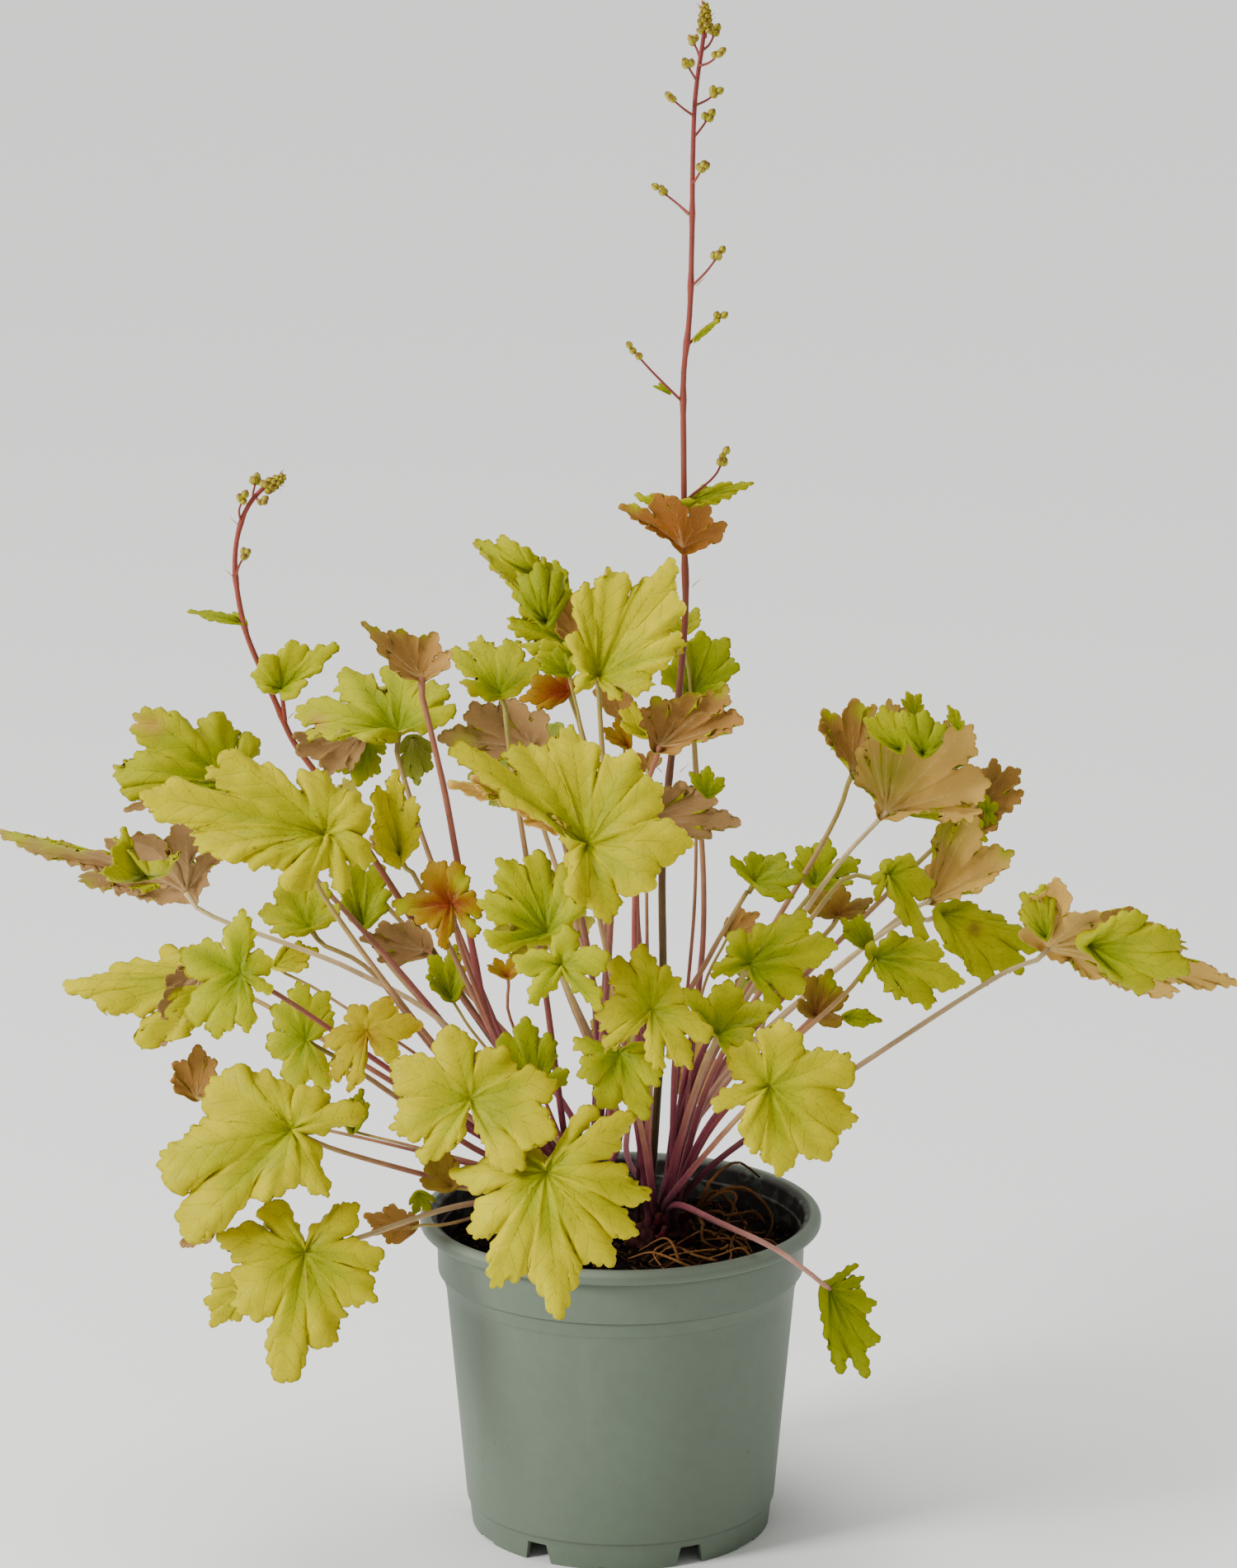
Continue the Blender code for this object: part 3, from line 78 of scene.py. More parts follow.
def pictureSpots(points):
    # the picture points at which an array of places shows
    pitch = viewer["pitch"]
    away = points - np.array(viewer["place"])
    depth = away[:, 1] * math.cos(pitch) - away[:, 2] * math.sin(pitch)
    height = away[:, 1] * math.sin(pitch) + away[:, 2] * math.cos(pitch)
    right = viewer["frameMiddle"][0] + viewer["focalPoints"] * away[:, 0] / depth
    down = viewer["frameMiddle"][1] - viewer["focalPoints"] * height / depth
    return right, down


def tone(red, green, blue):
    # screen values 0 to 255 turned into light
    parts = np.array([red, green, blue]) / 255
    return np.where(parts < 0.04045, parts / 12.92, ((parts + 0.055) / 1.055) ** 2.4)


def blend(first, second, share):
    return first * (1 - share) + second * share


def smoothStep(values, low, high):
    share = np.clip((values - low) / (high - low), 0.0, 1.0)
    return share * share * (3 - 2 * share)


def unit(way):
    return way / np.linalg.norm(way)


def setCamera():
    data = bpy.data.cameras.new("pictureCamera")
    data.sensor_fit = "AUTO"
    data.sensor_width = 36.0
    data.lens = viewer["focalPoints"] / viewer["longSide"] * 36.0
    data.clip_start = 0.1
    data.clip_end = 20.0
    camera = bpy.data.objects.new("pictureCamera", data)
    camera.location = viewer["place"]
    camera.rotation_euler = (math.pi / 2 - viewer["pitch"], 0.0, 0.0)
    bpy.context.scene.collection.objects.link(camera)
    bpy.context.scene.camera = camera


def newData():
    return {"points": [], "faces": [], "tints": [], "slots": []}


def addPart(data, points, faces, tints, slot=0):
    first = sum(len(block) for block in data["points"])
    data["points"].append(np.asarray(points, float))
    data["tints"].append(np.broadcast_to(np.asarray(tints, float), (len(points), 3)))
    data["faces"] += [tuple(first + corner for corner in face) for face in faces]
    data["slots"] += [slot] * len(faces)


def makePiece(name, data, materials, nodes, veins=None, sharpAngle=None):
    mesh = bpy.data.meshes.new(name)
    mesh.from_pydata(np.concatenate(data["points"]).tolist(), [], data["faces"])
    for material in materials:
        mesh.materials.append(material)
    mesh.polygons.foreach_set("material_index", data["slots"])
    mesh.polygons.foreach_set("use_smooth", [True] * len(data["faces"]))
    tints = np.concatenate(data["tints"])
    colours = np.ones((len(tints), 4))
    colours[:, :3] = np.clip(tints, 0.0, 1.0)
    layer = mesh.color_attributes.new("tint", "FLOAT_COLOR", "POINT")
    layer.data.foreach_set("color", colours.ravel())
    if veins is not None:
        layer = mesh.attributes.new("veins", "FLOAT_VECTOR", "POINT")
        layer.data.foreach_set("vector", np.asarray(veins, float).ravel())
    mesh.update()
    if sharpAngle is not None:
        mesh.set_sharp_from_angle(angle=math.radians(sharpAngle))
    piece = bpy.data.objects.new(name, mesh)
    bpy.context.scene.collection.objects.link(piece)
    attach(piece, "root")
    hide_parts(*nodes)


def smoothRoute(places, samples):
    # points evenly spread along a smooth curve through the places
    places = [np.array(place, float) for place in places]
    ends = [places[0] * 2 - places[1], *places, places[-1] * 2 - places[-2]]
    fine = []
    for a, b, c, d in zip(ends, ends[1:], ends[2:], ends[3:]):
        for t in np.arange(16) / 16:
            fine.append(0.5 * (2 * b + (c - a) * t + (2 * a - 5 * b + 4 * c - d) * t**2
                               + (3 * b - a - 3 * c + d) * t**3))
    fine.append(places[-1])
    fine = np.array(fine)
    lengths = np.concatenate([[0.0], np.cumsum(np.linalg.norm(np.diff(fine, axis=0), axis=1))])
    wanted = np.linspace(0.0, lengths[-1], samples)
    return np.stack([np.interp(wanted, lengths, fine[:, axis]) for axis in range(3)], axis=1)


def routeFrames(route):
    # a forward and two sideways directions at each point, carried along without twist
    forward = np.gradient(route, axis=0)
    forward /= np.maximum(np.linalg.norm(forward, axis=1, keepdims=True), 1e-12)
    side = np.cross(forward[0], [0.0, 1.0, 0.0])
    if np.linalg.norm(side) < 0.1:
        side = np.cross(forward[0], [1.0, 0.0, 0.0])
    sides = []
    for way in forward:
        side = unit(side - way * side.dot(way))
        sides.append(side)
    sides = np.array(sides)
    return forward, sides, np.cross(forward, sides)


def ringFaces(rows, steps):
    # the sides between rings of points, and two fans that close the ends on the two points after them
    faces = []
    for row in range(rows - 1):
        for spot in range(steps):
            a, b = row * steps + spot, row * steps + (spot + 1) % steps
            faces.append((a, b, b + steps, a + steps))
    last = (rows - 1) * steps
    for spot in range(steps):
        after = (spot + 1) % steps
        faces += [(rows * steps, after, spot), (rows * steps + 1, last + spot, last + after)]
    return faces


def addTube(data, route, radii, sides, tints, slot=0, flat=1.0, wobble=0.0, seed=0):
    # a round stem with closed ends, radii in millimetres and one tint for each point of the route
    count = len(route)
    radii = np.broadcast_to(np.asarray(radii, float), (count,))
    forward, across, up = routeFrames(route)
    turns = np.arange(sides) * 2 * math.pi / sides
    reach = 1.0 + wobble * np.random.default_rng(seed).uniform(-1, 1, (count, sides))
    ring = across[:, None] * np.cos(turns)[None, :, None]
    ring = ring + up[:, None] * (flat * np.sin(turns))[None, :, None]
    points = route[:, None] + ring * (radii[:, None] * reach * mm)[:, :, None]
    tip = route[-1:] + forward[-1:] * radii[-1] * 0.4 * mm
    points = np.concatenate([points.reshape(-1, 3), route[:1], tip])
    tints = np.broadcast_to(np.asarray(tints, float), (count, 3))
    tints = np.concatenate([np.repeat(tints, sides, axis=0), tints[:1], tints[-1:]])
    addPart(data, points, ringFaces(count, sides), tints, slot)


def rampTints(stops, shares):
    # a tint for each share from 0 to 1, between the given stops of (share, tone)
    places, tones = zip(*stops)
    parts = [np.interp(shares, places, [each[axis] for each in tones]) for axis in range(3)]
    return np.stack(parts, axis=1)


hairs = {"width": 0.04, "tone": tone(206, 178, 150)}


def addHairs(data, route, radii, count, length, seed):
    # short soft hairs that stand off a stem, each a thin three-sided spike
    chance = random.Random(seed)
    forward, across, up = routeFrames(route)
    width = hairs["width"] * mm
    for _ in range(count):
        spot = chance.uniform(0, len(route) - 1.001)
        low = int(spot)
        middle = blend(route[low], route[low + 1], spot - low)
        turn = chance.uniform(0, 2 * math.pi)
        out = across[low] * math.cos(turn) + up[low] * math.sin(turn)
        reach = length * chance.uniform(0.5, 1.2) * mm
        radius = radii[low] * mm
        base = middle + out * radius * 0.9
        tip = base + (out + forward[low] * chance.uniform(-0.4, 0.5)) * reach
        beside = np.cross(out, forward[low])
        points = [base + beside * width, base - beside * width, base + forward[low] * width * 1.6, tip]
        addPart(data, points, [(0, 1, 3), (1, 2, 3), (2, 0, 3), (2, 1, 0)], hairs["tone"])


def newGroup(name, inputs, outputs):
    group = bpy.data.node_groups.new(name, "ShaderNodeTree")
    for label, kind, value in inputs:
        socket = group.interface.new_socket(name=label, in_out="INPUT", socket_type="NodeSocket" + kind)
        if value is not None:
            socket.default_value = value
    for label, kind in outputs:
        group.interface.new_socket(name=label, in_out="OUTPUT", socket_type="NodeSocket" + kind)
    return group, group.nodes.new("NodeGroupInput"), group.nodes.new("NodeGroupOutput")


def feed(tree, socket, value):
    if isinstance(value, bpy.types.NodeSocket):
        tree.links.new(value, socket)
    elif value is not None:
        socket.default_value = value


def mathStep(tree, operation, first, second=None, third=None, clamp=False):
    node = tree.nodes.new("ShaderNodeMath")
    node.operation = operation
    node.use_clamp = clamp
    for socket, value in zip(node.inputs, (first, second, third)):
        feed(tree, socket, value)
    return node.outputs[0]


def easeStep(tree, value, low, high, lowResult=0.0, highResult=1.0):
    node = tree.nodes.new("ShaderNodeMapRange")
    node.interpolation_type = "SMOOTHSTEP"
    for label, entry in (("Value", value), ("From Min", low), ("From Max", high),
                         ("To Min", lowResult), ("To Max", highResult)):
        feed(tree, node.inputs[label], entry)
    return node.outputs[0]


def mixTint(tree, share, first, second, way="MIX"):
    node = tree.nodes.new("ShaderNodeMix")
    node.data_type = "RGBA"
    node.blend_type = way
    feed(tree, node.inputs[0], share)
    feed(tree, node.inputs[6], first)
    feed(tree, node.inputs[7], second)
    return node.outputs[2]


def makeVeinGroup():
    # veins from the blade's own measures: x across the lobe in mm, y along in spans, z mm to the margin
    tree, entry, leave = newGroup("leafVeins", [
        ("Measures", "Vector", None), ("Place", "Vector", None), ("Main Width", "Float", 0.9),
        ("Side Width", "Float", 0.09), ("Net Size", "Float", 420.0),
    ], [("Main", "Float"), ("Side", "Float"), ("Net", "Float"), ("Height", "Float")])
    parts = tree.nodes.new("ShaderNodeSeparateXYZ")
    tree.links.new(entry.outputs["Measures"], parts.inputs[0])
    fade = easeStep(tree, parts.outputs[2], 1.0, 26.0, 0.3, 1.0)
    width = mathStep(tree, "MULTIPLY", entry.outputs["Main Width"], fade)
    main = easeStep(tree, parts.outputs[0], 0.0, width, 1.0, 0.0)
    line = mathStep(tree, "PINGPONG", parts.outputs[1], 0.5)
    side = easeStep(tree, line, 0.0, entry.outputs["Side Width"], 1.0, 0.0)
    sideFade = easeStep(tree, parts.outputs[2], 0.6, 5.0)
    side = mathStep(tree, "MULTIPLY", side, sideFade)
    net = tree.nodes.new("ShaderNodeTexVoronoi")
    net.feature = "DISTANCE_TO_EDGE"
    tree.links.new(entry.outputs["Place"], net.inputs["Vector"])
    tree.links.new(entry.outputs["Net Size"], net.inputs["Scale"])
    netMask = easeStep(tree, net.outputs[0], 0.0, 0.09, 1.0, 0.0)
    height = mathStep(tree, "MULTIPLY_ADD", main, 1.0, mathStep(tree, "MULTIPLY", side, 0.6))
    height = mathStep(tree, "MULTIPLY_ADD", netMask, 0.22, height)
    for label, value in (("Main", main), ("Side", side), ("Net", netMask), ("Height", height)):
        tree.links.new(value, leave.inputs[label])
    return tree


def makeMottleGroup():
    # soft cloudy change of a colour: how light or dark each place is
    tree, entry, leave = newGroup("softMottle", [
        ("Place", "Vector", None), ("Size", "Float", 60.0), ("Low", "Float", 0.9), ("High", "Float", 1.1),
    ], [("Value", "Float"), ("Shade", "Color")])
    cloud = tree.nodes.new("ShaderNodeTexNoise")
    cloud.inputs["Detail"].default_value = 3.0
    tree.links.new(entry.outputs["Place"], cloud.inputs["Vector"])
    tree.links.new(entry.outputs["Size"], cloud.inputs["Scale"])
    level = easeStep(tree, cloud.outputs[0], 0.3, 0.7, entry.outputs["Low"], entry.outputs["High"])
    shade = tree.nodes.new("ShaderNodeCombineColor")
    for socket in shade.inputs[:3]:
        tree.links.new(level, socket)
    tree.links.new(cloud.outputs[0], leave.inputs["Value"])
    tree.links.new(shade.outputs[0], leave.inputs["Shade"])
    return tree


def makeGrainGroup():
    # fine surface grain as a height, with a few scattered specks as a mask
    tree, entry, leave = newGroup("fineGrain", [
        ("Place", "Vector", None), ("Size", "Float", 900.0), ("Speck Size", "Float", 260.0),
        ("Speck Share", "Float", 0.08),
    ], [("Height", "Float"), ("Specks", "Float")])
    grain = tree.nodes.new("ShaderNodeTexNoise")
    grain.inputs["Detail"].default_value = 2.0
    tree.links.new(entry.outputs["Place"], grain.inputs["Vector"])
    tree.links.new(entry.outputs["Size"], grain.inputs["Scale"])
    cells = tree.nodes.new("ShaderNodeTexVoronoi")
    tree.links.new(entry.outputs["Place"], cells.inputs["Vector"])
    tree.links.new(entry.outputs["Speck Size"], cells.inputs["Scale"])
    dot = easeStep(tree, cells.outputs["Distance"], 0.06, 0.22, 1.0, 0.0)
    pick = tree.nodes.new("ShaderNodeSeparateColor")
    tree.links.new(cells.outputs["Color"], pick.inputs[0])
    chosen = mathStep(tree, "LESS_THAN", pick.outputs[0], entry.outputs["Speck Share"])
    tree.links.new(grain.outputs[0], leave.inputs["Height"])
    tree.links.new(mathStep(tree, "MULTIPLY", dot, chosen), leave.inputs["Specks"])
    return tree


def placeGroup(tree, group, place, **values):
    node = tree.nodes.new("ShaderNodeGroup")
    node.node_tree = group
    feed(tree, node.inputs["Place"], place)
    for label, value in values.items():
        words = "".join(" " + letter if letter.isupper() else letter for letter in label).title()
        feed(tree, node.inputs[words], value)
    return node


def startMaterial(name, roughness, settings):
    # settings are the shader's own fixed values
    material = bpy.data.materials.new(name)
    material.use_nodes = True
    tree = material.node_tree
    shader = tree.nodes["Principled BSDF"]
    shader.inputs["Roughness"].default_value = roughness
    for label, value in settings.items():
        shader.inputs[label].default_value = value
    coordinates = tree.nodes.new("ShaderNodeTexCoord")
    tintNode = tree.nodes.new("ShaderNodeAttribute")
    tintNode.attribute_name = "tint"
    return material, tree, shader, coordinates.outputs["Object"], tintNode.outputs["Color"]


def addBump(tree, shader, height, strength, distance):
    bump = tree.nodes.new("ShaderNodeBump")
    bump.inputs["Strength"].default_value = strength
    bump.inputs["Distance"].default_value = distance
    tree.links.new(height, bump.inputs["Height"])
    tree.links.new(bump.outputs[0], shader.inputs["Normal"])


def shadedTint(tree, place, tint, finish, grainSize, speckSize, speckStrength):
    # the tint of each place, lightly mottled and specked; also the mottle and grain for the roughness
    mottle = placeGroup(tree, groups["mottle"], place, size=finish["mottleSize"], low=finish["mottleLow"],
                        high=finish["mottleHigh"])
    grain = placeGroup(tree, groups["grain"], place, size=grainSize, speckSize=speckSize,
                       speckShare=finish["speckShare"])
    colour = mixTint(tree, 1.0, tint, mottle.outputs["Shade"], "MULTIPLY")
    spots = mathStep(tree, "MULTIPLY", grain.outputs["Specks"], speckStrength)
    return colour, spots, mottle, grain


leafFinishes = {
    "leafTop": {
        "roughness": 0.46, "gloss": 0.1, "glow": 0.08, "mottleSize": 85.0, "mottleLow": 0.87,
        "mottleHigh": 1.08, "speckShare": 0.014, "mainWidth": 0.85, "sideWidth": 0.055, "netSize": 420.0,
        "mainStrength": 0.4, "sideStrength": 0.24, "netStrength": 0.12, "veinHeight": -0.8,
        "veinShade": tone(176, 190, 120), "veinBlend": "MULTIPLY",
    },
    "leafBack": {
        "roughness": 0.58, "gloss": 0.1, "glow": 0.08, "mottleSize": 85.0, "mottleLow": 0.90,
        "mottleHigh": 1.06, "speckShare": 0.012, "mainWidth": 0.95, "sideWidth": 0.07, "netSize": 420.0,
        "mainStrength": 0.17, "sideStrength": 0.06, "netStrength": 0.02, "veinHeight": 0.6,
        "veinShade": tone(226, 206, 150), "veinBlend": "SCREEN",
    },
}
leafSpeck = {"tone": tone(96, 70, 30), "size": 150.0, "strength": 0.55, "grain": 1400.0}


def makeLeafFinish(name, finish):
    roughness = finish["roughness"]
    material, tree, shader, place, tint = startMaterial(name, roughness, {
        "Specular IOR Level": finish["gloss"], "Subsurface Weight": finish["glow"],
        "Subsurface Radius": (1.0, 0.9, 0.25), "Subsurface Scale": 0.003})
    measures = tree.nodes.new("ShaderNodeAttribute")
    measures.attribute_name = "veins"
    veins = placeGroup(tree, groups["veins"], place, mainWidth=finish["mainWidth"],
                       sideWidth=finish["sideWidth"], netSize=finish["netSize"])
    tree.links.new(measures.outputs["Vector"], veins.inputs["Measures"])
    colour, spots, mottle, grain = shadedTint(
        tree, place, tint, finish, leafSpeck["grain"], leafSpeck["size"], leafSpeck["strength"])
    mask = mathStep(tree, "MULTIPLY", veins.outputs["Main"], finish["mainStrength"])
    mask = mathStep(tree, "MULTIPLY_ADD", veins.outputs["Side"], finish["sideStrength"], mask)
    mask = mathStep(tree, "MULTIPLY_ADD", veins.outputs["Net"], finish["netStrength"], mask, True)
    veined = mixTint(tree, 1.0, colour, (*finish["veinShade"], 1.0), finish["veinBlend"])
    colour = mixTint(tree, mask, colour, veined)
    colour = mixTint(tree, spots, colour, (*leafSpeck["tone"], 1.0))
    tree.links.new(colour, shader.inputs["Base Color"])
    rough = easeStep(tree, mottle.outputs["Value"], 0.3, 0.7, roughness - 0.07, roughness + 0.07)
    tree.links.new(rough, shader.inputs["Roughness"])
    height = mathStep(tree, "MULTIPLY", veins.outputs["Height"], finish["veinHeight"])
    height = mathStep(tree, "MULTIPLY_ADD", grain.outputs["Height"], 0.25, height)
    addBump(tree, shader, height, 0.5, 0.0006)
    return material


skinFinishes = {
    "stalk": {
        "roughness": 0.55, "shine": 0.25, "fuzz": 0.05, "glow": 0.05, "mottleSize": 120.0,
        "mottleLow": 0.86, "mottleHigh": 1.1, "grainSize": 900.0, "speckShare": 0.05,
        "speckTone": tone(92, 34, 36), "bump": 0.35,
    },
    "flowerStem": {
        "roughness": 0.5, "shine": 0.25, "fuzz": 0.04, "glow": 0.05, "mottleSize": 90.0,
        "mottleLow": 0.88, "mottleHigh": 1.1, "grainSize": 1100.0, "speckShare": 0.08,
        "speckTone": tone(96, 36, 36), "bump": 0.3,
    },
    "bud": {
        "roughness": 0.5, "shine": 0.25, "fuzz": 0.04, "glow": 0.06, "mottleSize": 300.0,
        "mottleLow": 0.85, "mottleHigh": 1.1, "grainSize": 1800.0, "speckShare": 0.10,
        "speckTone": tone(140, 60, 50), "bump": 0.4,
    },
    "bark": {
        "roughness": 0.9, "shine": 0.05, "fuzz": 0.0, "glow": 0.0, "mottleSize": 160.0,
        "mottleLow": 0.65, "mottleHigh": 1.25, "grainSize": 700.0, "speckShare": 0.2,
        "speckTone": tone(40, 24, 18), "bump": 0.9,
    },
    "peat": {
        "roughness": 0.95, "shine": 0.05, "fuzz": 0.0, "glow": 0.0, "mottleSize": 260.0,
        "mottleLow": 0.55, "mottleHigh": 1.35, "grainSize": 800.0, "speckShare": 0.03,
        "speckTone": tone(48, 32, 20), "bump": 1.0,
    },
    "root": {
        "roughness": 0.85, "shine": 0.05, "fuzz": 0.0, "glow": 0.0, "mottleSize": 300.0,
        "mottleLow": 0.7, "mottleHigh": 1.2, "grainSize": 900.0, "speckShare": 0.12,
        "speckTone": tone(62, 38, 22), "bump": 0.7,
    },
}


def makeSkinFinish(name, finish):
    # stalks, stems, buds, bark, peat and roots: the tint of each place, specked and lightly mottled
    roughness = finish["roughness"]
    material, tree, shader, place, tint = startMaterial(name, roughness, {
        "Specular IOR Level": finish["shine"], "Sheen Weight": finish["fuzz"], "Sheen Roughness": 0.6,
        "Subsurface Weight": finish["glow"], "Subsurface Scale": 0.002})
    colour, spots, _, grain = shadedTint(tree, place, tint, finish, finish["grainSize"], 420.0, 0.6)
    colour = mixTint(tree, spots, colour, (*finish["speckTone"], 1.0))
    tree.links.new(colour, shader.inputs["Base Color"])
    rough = easeStep(tree, grain.outputs["Height"], 0.3, 0.7, roughness - 0.08, min(1.0, roughness + 0.08))
    tree.links.new(rough, shader.inputs["Roughness"])
    addBump(tree, shader, grain.outputs["Height"], finish["bump"], 0.0006)
    return material


leafShape = {
    "closeSinus": 0.97, "sinusLoss": 0.0042, "deepestSinus": 0.56, "stalkSinus": 0.16,
    "wrappedSpread": 210.0,
    "lobeShoulder": 0.66, "lobeWidth": 1.0, "marginEase": 0.46, "notchEase": 0.08, "slit": 0.84,
    "spacing": 1.5, "toothWidth": 5.9, "toothReach": 1.6, "toothPoint": 0.3, "lobuleReach": 3.3,
    "lobulesFrom": 26, "moreLobules": 62, "sideRibs": 4.2, "ribSpan": (3.5, 8.5),
    "thickness": 0.55, "edgeThickness": 0.25, "wideLobe": 24.0, "waves": 1.3, "ruffle": 2.1, "fold": 0.7,
    "overlap": 0.9, "droop": 4.5, "warp": 4.5, "mainGroove": 0.28, "sideGroove": 0.1, "quilt": 0.2,
    "pucker": 2.4, "finePucker": 0.25, "topCurl": 1.0, "underCurl": 0.7, "bitCurl": 0.4,
}
leafTones = {
    "lime": {"heart": tone(118, 131, 0), "rim": tone(162, 160, 0), "back": tone(154, 144, 44)},
    "yellow": {"heart": tone(144, 147, 0), "rim": tone(183, 171, 0), "back": tone(170, 150, 46)},
    "green": {"heart": tone(98, 112, 0), "rim": tone(138, 143, 0), "back": tone(122, 128, 40)},
    "amber": {"heart": tone(112, 40, 2), "rim": tone(140, 106, 4), "back": tone(136, 78, 22)},
    "bronze": {"heart": tone(104, 62, 22), "rim": tone(124, 98, 26), "back": tone(148, 106, 50)},
    "peach": {"heart": tone(168, 118, 52), "rim": tone(174, 140, 56), "back": tone(194, 154, 76)},
    "mauve": {"heart": tone(120, 86, 52), "rim": tone(130, 104, 54), "back": tone(152, 116, 72)},
    "turned": {"heart": tone(118, 131, 0), "rim": tone(162, 160, 0), "back": tone(156, 158, 4)},
    "toothTip": tone(110, 56, 20),
}


def leafRow(joint, shows, toneName, swell, lobes, **rest):
    # the joint of stalk and blade, the face that the viewer sees, its tone, how far the blade swells, and
    # its lobe tips in order round the blade from one side of the stalk to the other (toward counts from
    # the joint); then the places that the stalk passes, and blots of another tone with their reach
    return {"joint": joint, "shows": shows, "tone": toneName, "swell": swell, "lobes": lobes, **rest}


